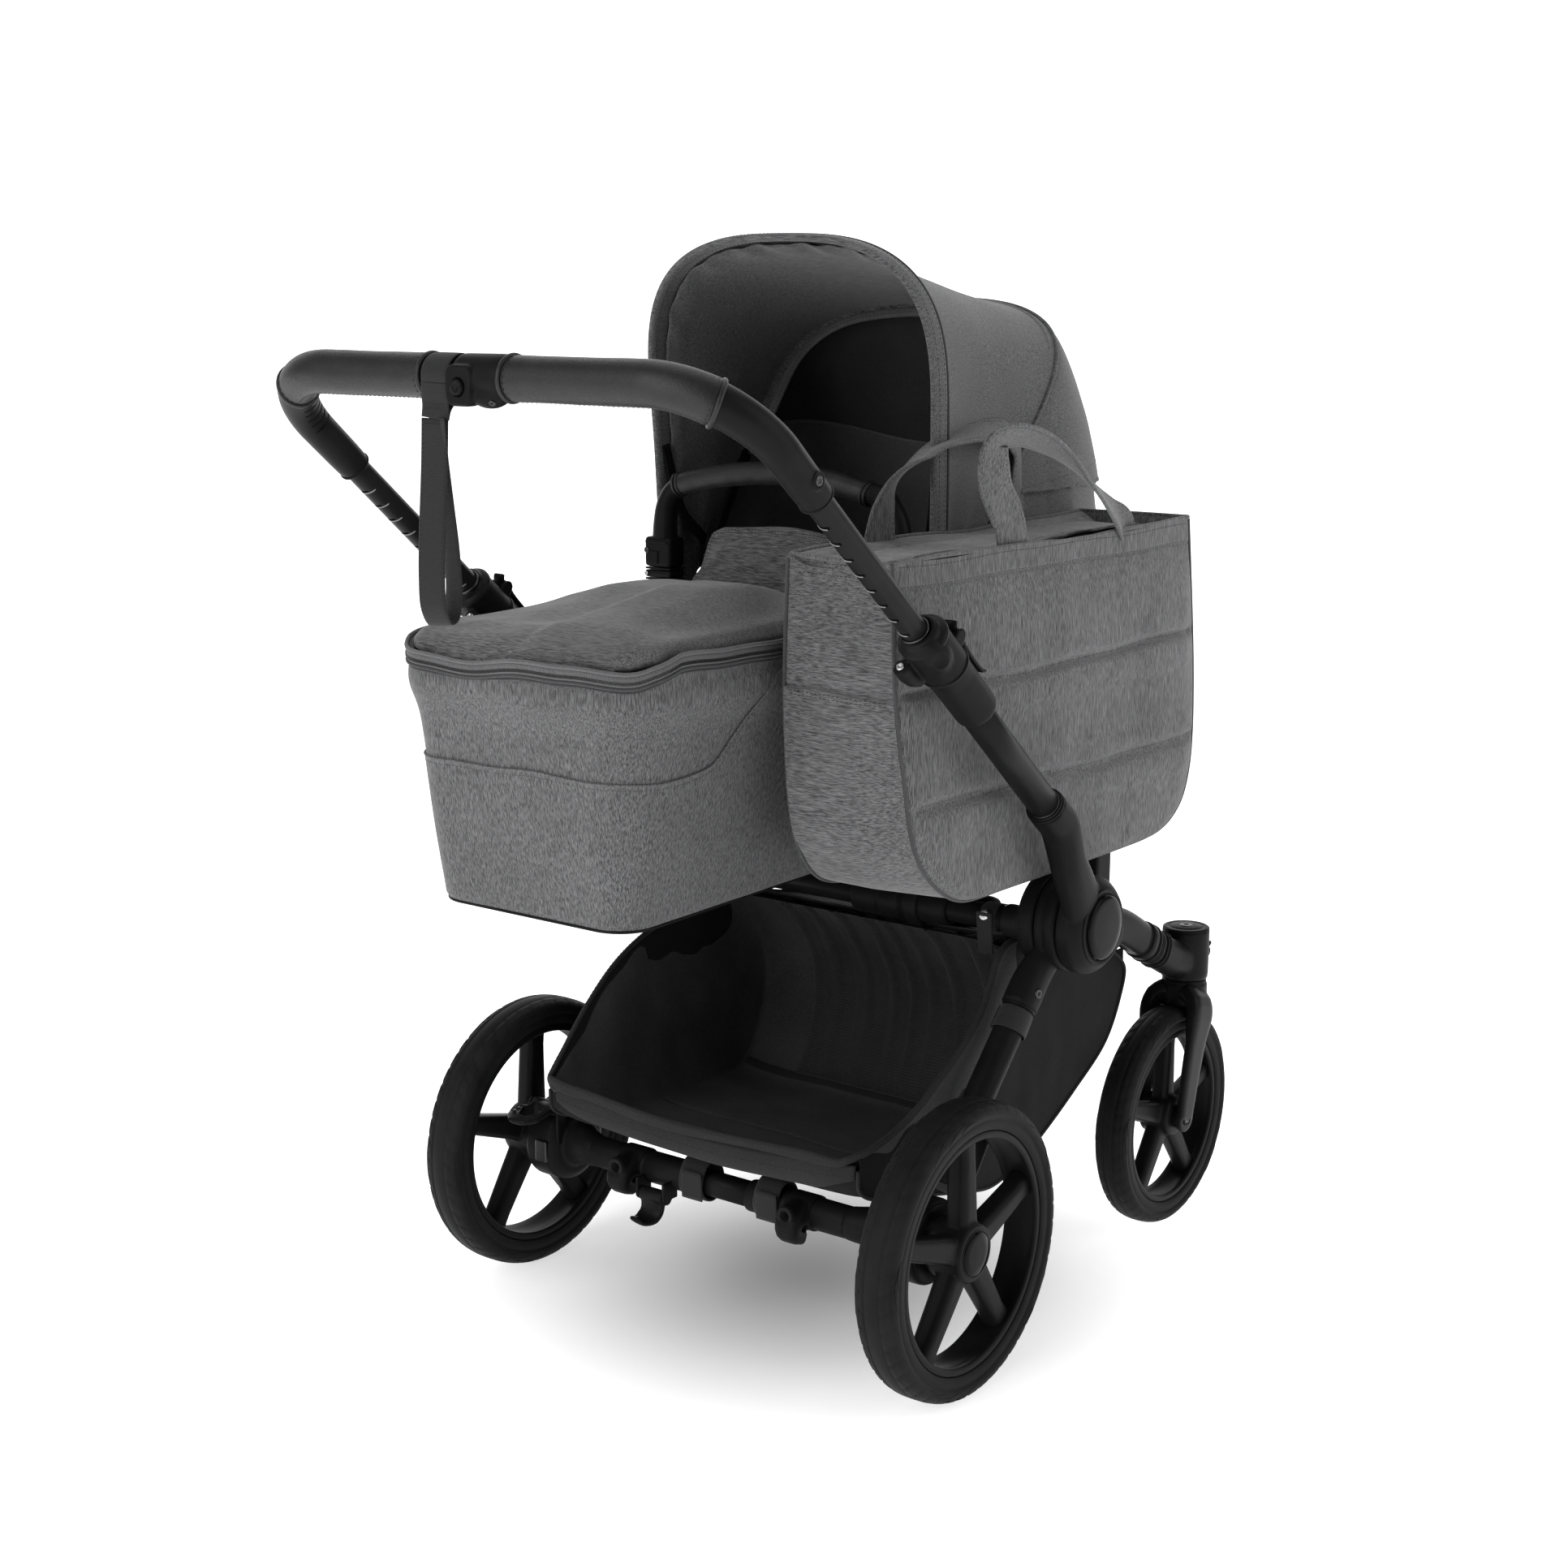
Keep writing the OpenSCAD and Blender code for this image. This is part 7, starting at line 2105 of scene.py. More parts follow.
def back():
    vs = np.linspace(0, 1, 96)
    S, N = back_rows(vs)
    ob = sheet_obj("hood_back_cloth", S, False)
    solidify(ob, 1.3, -1.0)
    blend_back(ob, M["grey_x"], ["hood_back"])
    # loose flap over the upper part, its lower edge bound
    zf = 858.0
    cut = []
    for j in range(NU):
        z = S[:, j, 2]
        below = np.where(z < zf)[0]
        cut.append(vs[below[0]] if len(below) and below[0] > 0 else 0.0)
    cut = np.array(cut)
    ok = np.where(cut > 0.10)[0]
    j0, j1 = ok[0], ok[-1] + 1
    kk = np.linspace(0, 1, 40)
    rows = []
    for t in kk:
        rows.append([])
    Vg = np.array([cut * t for t in kk])
    P_ = np.zeros((len(kk), NU, 3))
    Nn = np.zeros_like(P_)
    for j in range(NU):
        for c in range(3):
            P_[:, j, c] = np.interp(Vg[:, j], vs, S[:, j, c])
            Nn[:, j, c] = np.interp(Vg[:, j], vs, N[:, j, c])
    lift = 1.0 + 3.6 * np.clip(kk, 0, 1)[:, None] ** 1.5 * (1 + 0.45 * np.sin(UU * 17)[None, :] * kk[:, None])
    P_ = P_ + Nn * lift[:, :, None]
    fl = sheet_obj("hood_back_flap", P_[:, j0:j1], False)
    solidify(fl, 2.0, 0.0)
    blend_back(fl, M["grey_x"])
    edge = P_[-1, j0:j1] + np.array([0, 0, -0.5])
    tb = tube("hood_flap_edge", resample(edge, 260), (1.9, 1.9), 10, up=(0, 0, 1))
    blend_back(tb, M["grey_x"])
    row = P_[-6, j0:j1] + Nn[-6, j0:j1] * 1.05
    st = stitches("hood_flap_stitches", resample(row, 500), resample(Nn[-6, j0:j1], 500), 3.4, 1.8, 0.65, 0.4, 0.0, M["thread_dark"])
    blend_back(st, M["thread_dark"])
    # inside: black window above, lining below, with a cord between them
    L, NL = back_rows(np.linspace(0.015, 0.985, 90), 7.0)
    zsplit = 887 + 16 * (np.abs(L[..., 0] - CX) / 150.0) ** 3
    ob = sheet_obj("hood_window", L, False)
    solidify(ob, 0.8)
    blend_back(ob, M["void"])
    low_v = []
    for j in range(NU):
        z = L[:, j, 2] - (887 + 16 * (abs(L[40, j, 0] - CX) / 150.0) ** 3)
        b = np.where(z < 0)[0]
        low_v.append(b[0] / 89.0 if len(b) else 1.0)
    low_v = np.array(low_v)
    low_v = np.convolve(np.r_[low_v[:3][::-1], low_v, low_v[-3:][::-1]], np.ones(7) / 7, "valid")
    kk = np.linspace(0, 1, 30)
    P2 = np.zeros((30, NU, 3))
    N2 = np.zeros_like(P2)
    vv = np.linspace(0, 1, 90)
    for j in range(NU):
        vg = low_v[j] + (0.995 - low_v[j]) * kk
        for c in range(3):
            P2[:, j, c] = np.interp(vg, vv, L[:, j, c])
            N2[:, j, c] = np.interp(vg, vv, NL[:, j, c])
    ripple = 1.2 * value_noise(P2.reshape(-1, 3), 36, 14).reshape(30, NU)
    P2 = P2 - N2 * (2.2 + ripple * np.sin(np.pi * kk)[:, None])[:, :, None]
    jj = np.where(low_v < 0.93)[0]
    a, b = jj[0], jj[-1] + 1
    lo = sheet_obj("hood_lower_panel", P2[:, a:b], False)
    solidify(lo, 1.0)
    blend_back(lo, M["lining"])
    tb = tube("hood_window_cord", resample(P2[0, a:b] - N2[0, a:b] * 0.8, 240), 1.9, 10, up=(0, 0, 1))
    blend_back(tb, M["trim"])
    tb = tube("hood_panel_seam", resample(P2[13, a:b] - N2[13, a:b] * 0.5, 240), 0.8, 8, up=(0, 0, 1))
    blend_back(tb, M["lining"])


def pivots():
    for s, nm in ((-1, "left"), (1, "right")):
        x = CX + s * 138.0
        # rim bracket
        parts = [
            box_mesh("a", (x - 4.0, 243, 716), (x + 4.0, 267, 776), 3, 3),
            box_mesh("b", (x - 6.5, 238, 714), (x + 6.5, 272, 727), 3, 3),
            cyl("c", (x - 4.5, 255, 782), (x + 4.5, 255, 782), 21.5, 64, bevel=1.5),
        ]
        ob = cast("hood_pivot_" + nm, parts, 1.4, 5)
        keep(ob, "carrycot", M["cast"], ["hood_pivots"] if s < 0 else [])
        face = -s
        parts = [
            lathe("d", [(0, 3.0), (face * 1.6, 3.5), (face * 2.2, 8.0), (face * 1.2, 9.4), (face * 1.2, 14.5), (face * 2.6, 15.8), (face * 2.6, 18.4), (face * 0.4, 20.2), (0, 20.4)], (x + face * 4.2, 255, 782), "x", 72),
        ]
        ob = join("hood_pivot_cap_" + nm, parts)
        keep(ob, "carrycot", M["cast_soft"])
        sc = screw_head("hood_pivot_screw_" + nm, (x + face * 5.4, 255, 782), (face, 0, 0), 4.2, M["screw"], 1.6, True)
        keep(sc, "carrycot")
        # arms: to the front arch and to the middle arch
        xa = x + s * 7.2
        d = np.array([0, math.sin(LEAN * 0.72), math.cos(LEAN * 0.72)])
        p0 = np.array([xa, 255, 782])
        q = mid_pt(-8.5, 3.5)
        foot = q[26] if s > 0 else q[NU - 27]
        pm = smooth_path([p0, p0 + d * 26, (p0 + d * 44) * 0.6 + foot * 0.4, foot], 30)
        a1 = tube("a", pm, (3.0, 6.5), 16, up=(1, 0, 0), prof=rounded_prof(1, 1, 0.5))
        a2 = cyl("b", p0 - np.array([3.4, 0, 0]), p0 + np.array([3.4, 0, 0]), 13.0, 48, bevel=1.4)
        ob = join("hood_arm_middle_" + nm, [a1, a2])
        keep(ob, "hood_middle", M["cast"])
        grooves = []
        for off in (-2.6, 2.6):
            g = pm.copy()
            g[:, 0] += -s * 3.1
            g[:, 1] += off
            grooves.append(tube("g", g[3:20], 0.8, 8))
        ob = join("hood_arm_rib_" + nm, grooves)
        keep(ob, "hood_middle", M["cast_soft"])
        xb = x + s * 14.0
        fr = front_pt(-4.0, 214.0)
        ft = fr[30] if s > 0 else fr[NU - 31]
        pf = smooth_path([(xb, 255, 782), (xb + s * 1.0, 240, 798), (ft[0] * 0.5 + xb * 0.5, 224, 822), tuple(ft)], 30)
        a1 = tube("a", pf, (2.6, 6.0), 16, up=(1, 0, 0), prof=rounded_prof(1, 1, 0.5))
        a2 = cyl("b", (xb - 2.8, 255, 782), (xb + 2.8, 255, 782), 12.0, 48, bevel=1.2)
        ob = join("hood_arm_front_" + nm, [a1, a2])
        keep(ob, "hood_front", M["cast"])


canopy()
front_band()
middle_arch()
back()
pivots()


# ------------------------------------------------------------------ side bag
BX0, BX1 = 106.0, 236.5
BY0, BY1 = -62.0, 504.0
BZ0, BZ1 = 479.5, 825.0
OUTER = [(-65, 825), (-62, 770), (-60, 735), (-57, 700), (-49, 655), (-38, 608), (-30, 571), (-22, 550), (-13, 533), (-2, 520), (18, 503), (40, 490), (60, 483), (80, 480.5), (150, 480), (260, 479.5), (380, 479.5), (430, 480.5), (462, 484), (488, 493), (512, 512), (526, 545), (530, 586), (527, 650), (520, 710), (512, 765), (503, 825)]
INNER = [(-48, 825), (-51, 771), (-53, 693), (-50, 637), (-45, 588), (-36, 550), (-22, 523), (-4, 503), (20, 491), (60, 485), (100, 484), (260, 483), (380, 483), (430, 485), (462, 491), (484, 504), (500, 530), (508, 565), (510, 620), (506, 700), (500, 765), (494, 825)]


def bag_outline(n, pts=None):
    """A side outline from the top of the rear end, down, under and up the front end: (y, z) and outward directions."""
    p = np.array(pts if pts is not None else OUTER, float)
    q = smooth_path(np.column_stack([p, p[:, 0] * 0]), n * 2)[:, :2]
    q = resample(q, n)
    for _ in range(12):
        q[1:-1] = 0.5 * q[1:-1] + 0.25 * (q[2:] + q[:-2])
    q = resample(q, n)
    t = np.gradient(q, axis=0)
    t /= np.linalg.norm(t, axis=1)[:, None]
    nr = np.stack([t[:, 1], -t[:, 0]], 1)
    if np.sum((q[n // 8] - q.mean(0)) * nr[n // 8]) < 0:
        nr = -nr
    return q, nr


def rim_wave(y, x):
    y = np.asarray(y, float)
    return 1.5 * np.sin(y / 62.0 + x * 0.02) + 0.8 * np.sin(y / 27.0 + 1.3 + x * 0.01) - 2.2 * np.exp(-(((y - 215) / 150.0) ** 2))


CH = ((700.0, 0.0), (585.0, 0.0))


def side_panel(sgn, x0):
    """A crowned panel with two sewn channels and a hem; sgn +1 faces out."""
    zs = list(BZ0 + 128 * (1 - np.cos(np.linspace(0.0, np.pi / 2, 44)))) + list(np.linspace(BZ0 + 128, BZ1 - 30, 92)[1:]) + list(np.linspace(BZ1 - 30, BZ1, 20)[1:])
    zs = np.array(zs)
    q, nr = bag_outline(1600, OUTER if sgn > 0 else INNER)
    half = int(np.argmin(q[:, 1] + np.abs(q[:, 0] - 230) * 1e-3))
    za = np.minimum.accumulate(q[: half + 1, 1])
    zb = np.maximum.accumulate(q[half:, 1])
    zb[0] = min(zb[0], BZ0)
    za[-1] = min(za[-1], BZ0)
    lo_y = np.interp(zs, za[::-1], q[: half + 1, 0][::-1])
    hi_y = np.interp(zs, zb, q[half:, 0])
    ss = 0.5 - 0.5 * np.cos(np.linspace(0, np.pi, 121))
    ss = 0.6 * ss + 0.4 * np.linspace(0, 1, 121)
    Y = lo_y[:, None] * (1 - ss) + hi_y[:, None] * ss
    Z = zs[:, None] * np.ones(121)
    d = np.minimum(Y - lo_y[:, None], hi_y[:, None] - Y)
    # distance to the outline in any direction
    dz = Z - BZ0
    edge = np.minimum(d, np.maximum(dz, 0) * 1.2 + np.minimum(d, 14))
    e = np.clip(edge / 46.0, 0, 1)
    crown = 8.5 * np.sqrt(1 - (1 - e) ** 2)
    top = np.clip((BZ1 - 27 - Z) / 60.0, 0, 1)
    crown *= 0.25 + 0.75 * np.sin(np.pi / 2 * top)
    x = crown
    flat = np.column_stack([np.full(Y.size, x0), Y.ravel(), Z.ravel()])
    fall = np.clip(edge / 30.0, 0, 1)
    for zc, _ in CH:
        line = zc + 2.5 * np.sin(Y / 95.0 + zc) + 1.2 * np.sin(Y / 31.0 + zc * 0.7)
        g = Z - line
        x = x - 5.2 * np.exp(-((g / 5.2) ** 2)) * np.clip(edge / 16.0, 0, 1)
        x = x + 2.6 * np.exp(-(((g + 20) / 17.0) ** 2)) * fall
        x = x + 1.5 * np.exp(-(((g - 16) / 14.0) ** 2)) * fall
    # hem
    x = x - 1.5 * np.exp(-(((Z - (BZ1 - 25)) / 1.5) ** 2)) * fall + 0.7 * (Z > BZ1 - 24)
    w = value_noise(flat * np.array([1, 1.0, 0.55]), 75, 41 + sgn).reshape(Y.shape) * 2.0
    w += value_noise(flat * np.array([1, 1.4, 0.45]), 30, 43).reshape(Y.shape) * 0.75
    # pull folds rising from the lower corner
    w += 1.5 * np.sin((Y - 0.6 * Z) / 17.0) * np.exp(-(((Y - 20) / 70.0) ** 2 + ((Z - 560) / 70.0) ** 2))
    x = x + w * np.clip(edge / 40.0, 0, 1) * np.clip((BZ1 - Z) / 30.0, 0.15, 1)
    X = x0 + sgn * x
    top_w = rim_wave(Y, x0) * np.clip((Z - (BZ1 - 60)) / 60.0, 0, 1)
    rows = np.stack([X, Y, Z + top_w], 2)
    return rows, lo_y, hi_y, zs


def bag():
    out, lo_y, hi_y, zs = side_panel(1, BX1)
    inn, _, _, _ = side_panel(-1, BX0)
    # the inner face lies along the cot, so it stays flat
    inn[..., 0] = BX0 + (inn[..., 0] - BX0) * 0.45
    o = sheet_obj("a", out, False, M["grey_z"])
    i = sheet_obj("b", inn, False, M["grey_z"])
    # gusset: rear end, bottom and front end in one strip
    n = 640
    q, nr = bag_outline(n)
    q2, nr2 = bag_outline(n, INNER)
    xs = np.linspace(0, 1, 46)
    L = np.r_[0, np.cumsum(np.linalg.norm(np.diff(q, axis=0), axis=1))]
    Q = q2[:, None, :] * (1 - xs)[None, :, None] + q[:, None, :] * xs[None, :, None]
    NN = nr2[:, None, :] * (1 - xs)[None, :, None] + nr[:, None, :] * xs[None, :, None]
    Xg = BX0 + (BX1 - BX0) * xs[None, :] * np.ones((n, 1))
    bul = 4.5 * np.sin(np.pi * xs)[None, :] ** 0.7 * np.clip(np.minimum(L, L[-1] - L) / 120.0, 0.15, 1)[:, None]
    bul = bul * np.where(q[:, 1] < BZ0 + 30, 0.45, 1.0)[:, None]
    P3 = np.stack([Xg, Q[..., 0], Q[..., 1]], 2)
    w = value_noise(P3.reshape(-1, 3), 60, 3).reshape(n, 46) * 1.6 + value_noise(P3.reshape(-1, 3), 26, 9).reshape(n, 46) * 0.5
    d = bul + w * np.sin(np.pi * xs)[None, :] ** 0.6
    # the pocket on each end: its panel starts below the seam
    zc = 697.0 + 1.5 * np.sin(xs * 5)[None, :]
    Zg = Q[..., 1]
    below = (Zg < zc) & (Zg > 540)
    step = np.clip((zc - Zg) / 0.9 + 0.5, 0, 1) * np.clip((Zg - 525) / 20.0, 0, 1)
    d = d + 3.0 * step - 1.6 * np.exp(-(((Zg - zc - 1.6) / 1.5) ** 2))
    d = d + 0.6 * (Zg > BZ1 - 18)
    G = P3 + np.stack([np.zeros_like(d), NN[..., 0] * d, NN[..., 1] * d], 2)
    G[..., 2] += rim_wave(G[..., 1], 0)[...] * np.clip((Zg - (BZ1 - 60)) / 60.0, 0, 1)
    g = sheet_obj("c", G, False, M["grey_x"])
    shell = join("bag_cloth", [o, i, g])
    keep(shell, "bag", replaces=["bag_body"])
    # corded seams
    parts = []
    for x, k in ((BX1 + 0.6, 0), (BX0 - 0.3, 1)):
        q_, nr_ = (q, nr) if k == 0 else (q2, nr2)
        path = np.column_stack([np.full(n, x), q_[:, 0] + nr_[:, 0] * 0.8, q_[:, 1] + nr_[:, 1] * 0.8])
        path[:, 2] += rim_wave(path[:, 1], x) * np.clip((path[:, 2] - (BZ1 - 60)) / 60.0, 0, 1)
        parts.append(tube("p", path, 1.9, 10, up=(1, 0, 0)))
    cord = join("bag_seam_cord", parts)
    keep(cord, "bag", M["trim_dark"])
    # rim: folded edge all round, and the lining just inside
    rim = []
    for x in np.linspace(BX0, BX1, 16):
        f = (x - BX0) / (BX1 - BX0)
        rim.append((x, q2[0, 0] * (1 - f) + q[0, 0] * f - 3.5 * math.sin(math.pi * f), BZ1))
    for y in np.linspace(q[0, 0], q[-1, 0], 60)[1:]:
        rim.append((BX1 + 1.0, y, BZ1))
    for x in np.linspace(BX1, BX0, 16)[1:]:
        f = (x - BX0) / (BX1 - BX0)
        rim.append((x, q2[-1, 0] * (1 - f) + q[-1, 0] * f + 3.5 * math.sin(math.pi * f), BZ1))
    for y in np.linspace(q2[-1, 0], q2[0, 0], 60)[1:-1]:
        rim.append((BX0 - 0.4, y, BZ1))
    rim = smooth_path(rim, 520, True)
    rim[:, 2] += rim_wave(rim[:, 1], 0)
    tb = tube("bag_rim", rim, (2.4, 2.0), 12, closed=True, up=(0, 0, 1))
    keep(tb, "bag", M["grey_z"])
    # inner wall
    c = np.array([(BX0 + BX1) / 2, 216.0])
    rows = []
    for z, ins in ((0.5, 1.2), (-4, 3.2), (-12, 4.0), (-30, 5.0), (-60, 6.0), (-100, 8.0)):
        r = rim.copy()
        v = r[:, :2] - c
        r[:, 0] -= np.clip(v[:, 0] / 65.0, -1, 1) * ins
        r[:, 1] -= np.clip(v[:, 1] / 274.0, -1, 1) ** 7 * ins
        r[:, 2] += z
        rows.append(r)
    rows = np.array(rows)
    w = sheet_obj("bag_inner_wall", rows, True)
    keep(w, "bag", M["grey_z"])
    # zip-top: two soft wings over the mouth, one lying over the other
    def wing(name, xa, xb, z0, amp, seed, free):
        ys = np.linspace(BY0 + 6, BY1 - 6, 110)
        xs = np.linspace(0, 1, 40)
        rows = []
        for y in ys:
            xe = xb(y)
            X = xa + (xe - xa) * xs
            p = np.column_stack([X, np.full(40, y), np.full(40, 0.0)])
            e = np.clip(xs * (1.0) / 0.25, 0, 1)
            end = np.clip(min(y - BY0 - 6, BY1 - 6 - y) / 30.0, 0, 1)
            z = z0 - 6 * e + amp * value_noise(p * np.array([1.2, 0.7, 1]), 62, seed) * e + 0.3 * amp * value_noise(p, 24, seed + 1) * e
            z = z + rim_wave(y, 0) * (1 - e) - 4 * (1 - end) * e
            rows.append(np.column_stack([X, np.full(40, y), z]))
        rows = np.array(rows)
        ob = sheet_obj(name, rows, False)
        solidify(ob, 1.6, 0.0)
        keep(ob, "bag", M["grey_y"])
        e = rows[:, -1] + np.array([0, 0, 0.3])
        t = tube(name + "_edge", resample(e, 160), 1.7, 10)
        keep(t, "bag", M["grey_y"])
        return rows

    a = wing("bag_wing_outer", BX1 - 4.0, lambda y: 176 - 8 * math.sin((y + 58) / 174.0), 818.0, 2.2, 51, 0)
    b = wing("bag_wing_inner", BX0 + 4.0, lambda y: 187 + 7 * math.sin((y + 20) / 150.0), 824.0, 2.6, 57, 1)
    st = stitches("bag_wing_stitches", resample(b[:, -4] + np.array([0, 0, 1.0]), 500), (0, 0, 1), 3.4, 1.9, 0.6, 0.4, 0.1, M["thread_dark"])
    keep(st, "bag")
    # stitch rows: hem on the outer panel, pocket edge, end hem, small box on the end panel
    zi = [np.argmin(np.abs(zs - z)) for z in (BZ1 - 5.0, BZ1 - 23.0)]
    cnt = 0
    for k in zi:
        row = out[k][3:-3] + np.array([0.15, 0, 0])
        st = stitches("s", resample(row, 700), (1, 0, 0), 3.6, 2.0, 0.7, 0.4, 0.0, M["thread_dark"])
        st.name = "bag_hem_stitches_%d" % cnt
        cnt += 1
        keep(st, "bag")
    for k, zt in enumerate((BZ1 - 5.0, BZ1 - 16.0, 693.0, 690.5)):
        r = np.argmin(np.abs(q[: n // 3, 1] - zt))
        row = G[r][2:-2] + np.array([0, -0.15, 0])
        st = stitches("s", resample(row, 200), (0, -1, 0), 3.4, 1.9, 0.65, 0.4, 0.0, M["thread_dark"])
        if st:
            st.name = "bag_end_stitches_%d" % k
            keep(st, "bag")
    for zc, _ in CH:
        k = np.argmin(np.abs(zs - zc))
        cols = []
        for j in range(3, 118):
            zl = zc + 2.5 * math.sin(out[k, j, 1] / 95.0 + zc) + 1.2 * math.sin(out[k, j, 1] / 31.0 + zc * 0.7)
            kk = np.argmin(np.abs(zs - zl))
            cols.append(out[kk, j])
        st = stitches("bag_channel_stitches_%d" % int(zc), resample(np.array(cols) + np.array([0.1, 0, 0]), 700), (1, 0, 0), 3.6, 2.0, 0.7, 0.4, 0.0, M["thread_dark"])
        keep(st, "bag")
    bx = []
    for x0, z0 in ((150, 575), (196, 571), (196, 545), (150, 549), (150, 575)):
        r = np.argmin(np.abs(q[: n // 3, 1] - z0))
        c_ = int(round((x0 - BX0) / (BX1 - BX0) * 45))
        bx.append(G[r, c_] + np.array([0, -0.3, 0]))
    st = stitches("bag_end_box_stitches", resample(np.array(bx), 160), (0, -1, -0.2), 2.6, 1.5, 0.6, 0.35, 0.0, M["thread_dark"])
    keep(st, "bag")


def ribbon(name, pts, wid, width, thick, body, mat, replaces=(), n=150):
    """A flat strap: centre points and width directions at the same places; it carries two rows of stitches."""
    pts = np.array(pts, float)
    wid = np.array(wid, float)
    d0 = np.r_[0, np.cumsum(np.linalg.norm(np.diff(pts, axis=0), axis=1))]
    c = smooth_path(pts, n)
    d1 = np.r_[0, np.cumsum(np.linalg.norm(np.diff(c, axis=0), axis=1))]
    d1 *= d0[-1] / d1[-1]
    w = np.stack([np.interp(d1, d0, wid[:, k]) for k in range(3)], 1)
    for _ in range(6):
        w[1:-1] = 0.5 * w[1:-1] + 0.25 * (w[2:] + w[:-2])
    t = np.gradient(c, axis=0)
    t /= np.linalg.norm(t, axis=1)[:, None]
    w = w - t * np.sum(w * t, 1)[:, None]
    w /= np.linalg.norm(w, axis=1)[:, None]
    nn = np.cross(t, w)
    if callable(width):
        wd = width(np.linspace(0, 1, n))
    elif np.ndim(width):
        wd = np.interp(d1, d0, np.asarray(width, float))
    else:
        wd = np.full(n, float(width))
    pr = [(-0.5, -0.25), (-0.47, -0.5), (-0.25, -0.52), (0, -0.54), (0.25, -0.52), (0.47, -0.5), (0.5, -0.25), (0.5, 0.25), (0.47, 0.5), (0.25, 0.52), (0, 0.54), (-0.25, 0.52), (-0.47, 0.5), (-0.5, 0.25)]
    # edges curl a little towards one side
    rows = []
    for a, b in pr:
        curl = 1.6 * (abs(a) * 2) ** 2.2
        rows.append(c + w * (a * wd)[:, None] + nn * (b * thick - curl * 0.5))
    rows = np.array(rows + [rows[0]])
    rows = rows.transpose(1, 0, 2)
    ob = obj_from(name, rows[:, :-1].reshape(-1, 3), grid_faces(n, len(pr), False, True) + [tuple(range(len(pr)))[::-1], tuple((n - 1) * len(pr) + i for i in range(len(pr)))])
    fix_normals(ob)
    keep(ob, body, mat, replaces)
    for k, sd in enumerate((-1, 1)):
        for f in (-1, 1):
            off = c + w * (sd * (wd / 2 - 4.2))[:, None] + nn * (f * (thick / 2 + 0.1) - 1.6 * 0.5 * 0.62)
            st = stitches("s", off, nn * f, 3.6, 1.9, 0.65, 0.4, 0.0, M["thread_dark"])
            st.name = "%s_stitches_%d%s" % (name, k, "a" if f < 0 else "b")
            keep(st, body)
    return ob


def stations(rows):
    return [r[0] for r in rows], [r[1] for r in rows], [r[2] for r in rows]


def bag_straps():
    # outer strap: folds over itself at the top, so its underside shows beyond the near leg
    rows = [
        ((232.0, 149.5, 802.0), (0.00, 0.97, 0.20), 50.0),
        ((233.0, 146.8, 825.1), (0.06, 0.93, 0.37), 50.0),
        ((234.0, 136.5, 850.6), (0.12, 0.84, 0.53), 44.0),
        ((236.0, 116.9, 871.8), (0.09, 0.77, 0.63), 44.0),
        ((239.0, 101.8, 892.4), (0.23, 0.85, 0.47), 44.0),
        ((243.0, 91.7, 914.0), (0.20, 0.94, 0.28), 42.0),
        ((247.0, 89.9, 926.5), (-0.03, 0.93, -0.36), 40.0),
        ((250.0, 98.6, 931.3), (-0.59, 0.27, -0.76), 38.0),
        ((252.0, 118.7, 932.7), (-0.77, 0.01, -0.63), 38.0),
        ((252.0, 147.1, 929.5), (-0.91, -0.11, -0.40), 38.0),
        ((250.0, 176.4, 922.2), (-0.98, -0.12, -0.18), 38.0),
        ((248.0, 206.5, 911.5), (-1.00, -0.06, 0.05), 38.0),
        ((245.0, 235.9, 899.0), (-0.95, 0.05, 0.31), 38.0),
        ((242.0, 265.9, 884.5), (-0.86, 0.15, 0.49), 38.0),
        ((239.0, 296.4, 869.8), (-0.74, 0.25, 0.62), 38.0),
        ((236.0, 326.0, 853.5), (-0.61, 0.35, 0.71), 40.0),
        ((234.0, 351.6, 838.6), (-0.46, 0.45, 0.76), 44.0),
        ((232.6, 374.2, 823.2), (-0.12, 0.90, 0.42), 46.0),
        ((230.5, 378.0, 802.0), (0.00, 1.00, 0.00), 46.0),
    ]
    c, w, wd = stations(rows)
    ribbon("bag_strap_outer", c, w, np.array(wd), 3.2, "bag", M["grey_z"], ["bag_handles"])
    # inner strap leans over the bag, its upper face to the light
    rows = [
        ((110.5, 90.0, 802.0), (0.06, 0.97, -0.15), 46.0),
        ((110.0, 95.3, 826.2), (0.10, 0.95, -0.29), 46.0),
        ((109.0, 102.5, 849.4), (-0.03, 0.90, -0.43), 44.0),
        ((108.0, 116.9, 871.0), (-0.32, 0.70, -0.64), 42.0),
        ((107.0, 135.8, 887.2), (-0.71, 0.34, -0.61), 40.0),
        ((107.0, 164.5, 899.1), (-0.94, 0.13, -0.33), 38.0),
        ((107.0, 195.8, 911.4), (-0.99, 0.04, -0.15), 38.0),
        ((107.0, 232.5, 919.2), (-0.99, -0.02, 0.12), 38.0),
        ((107.0, 270.9, 923.8), (-0.91, -0.02, 0.40), 38.0),
        ((107.0, 307.2, 923.0), (-0.78, 0.06, 0.62), 38.0),
        ((107.0, 338.1, 917.0), (-0.45, 0.37, 0.81), 38.0),
        ((107.0, 356.8, 900.6), (-0.37, 0.85, 0.39), 38.0),
        ((108.0, 357.2, 875.9), (-0.30, 0.95, -0.08), 38.0),
        ((109.0, 353.5, 850.5), (-0.13, 0.98, -0.13), 40.0),
        ((110.0, 349.4, 815.5), (-0.06, 0.99, -0.12), 44.0),
        ((110.5, 348.5, 800.0), (-0.03, 1.00, -0.05), 46.0),
    ]
    c, w, wd = stations(rows)
    ribbon("bag_strap_inner", c, w, np.array(wd), 3.2, "bag", M["grey_z"])


bag()
bag_straps()


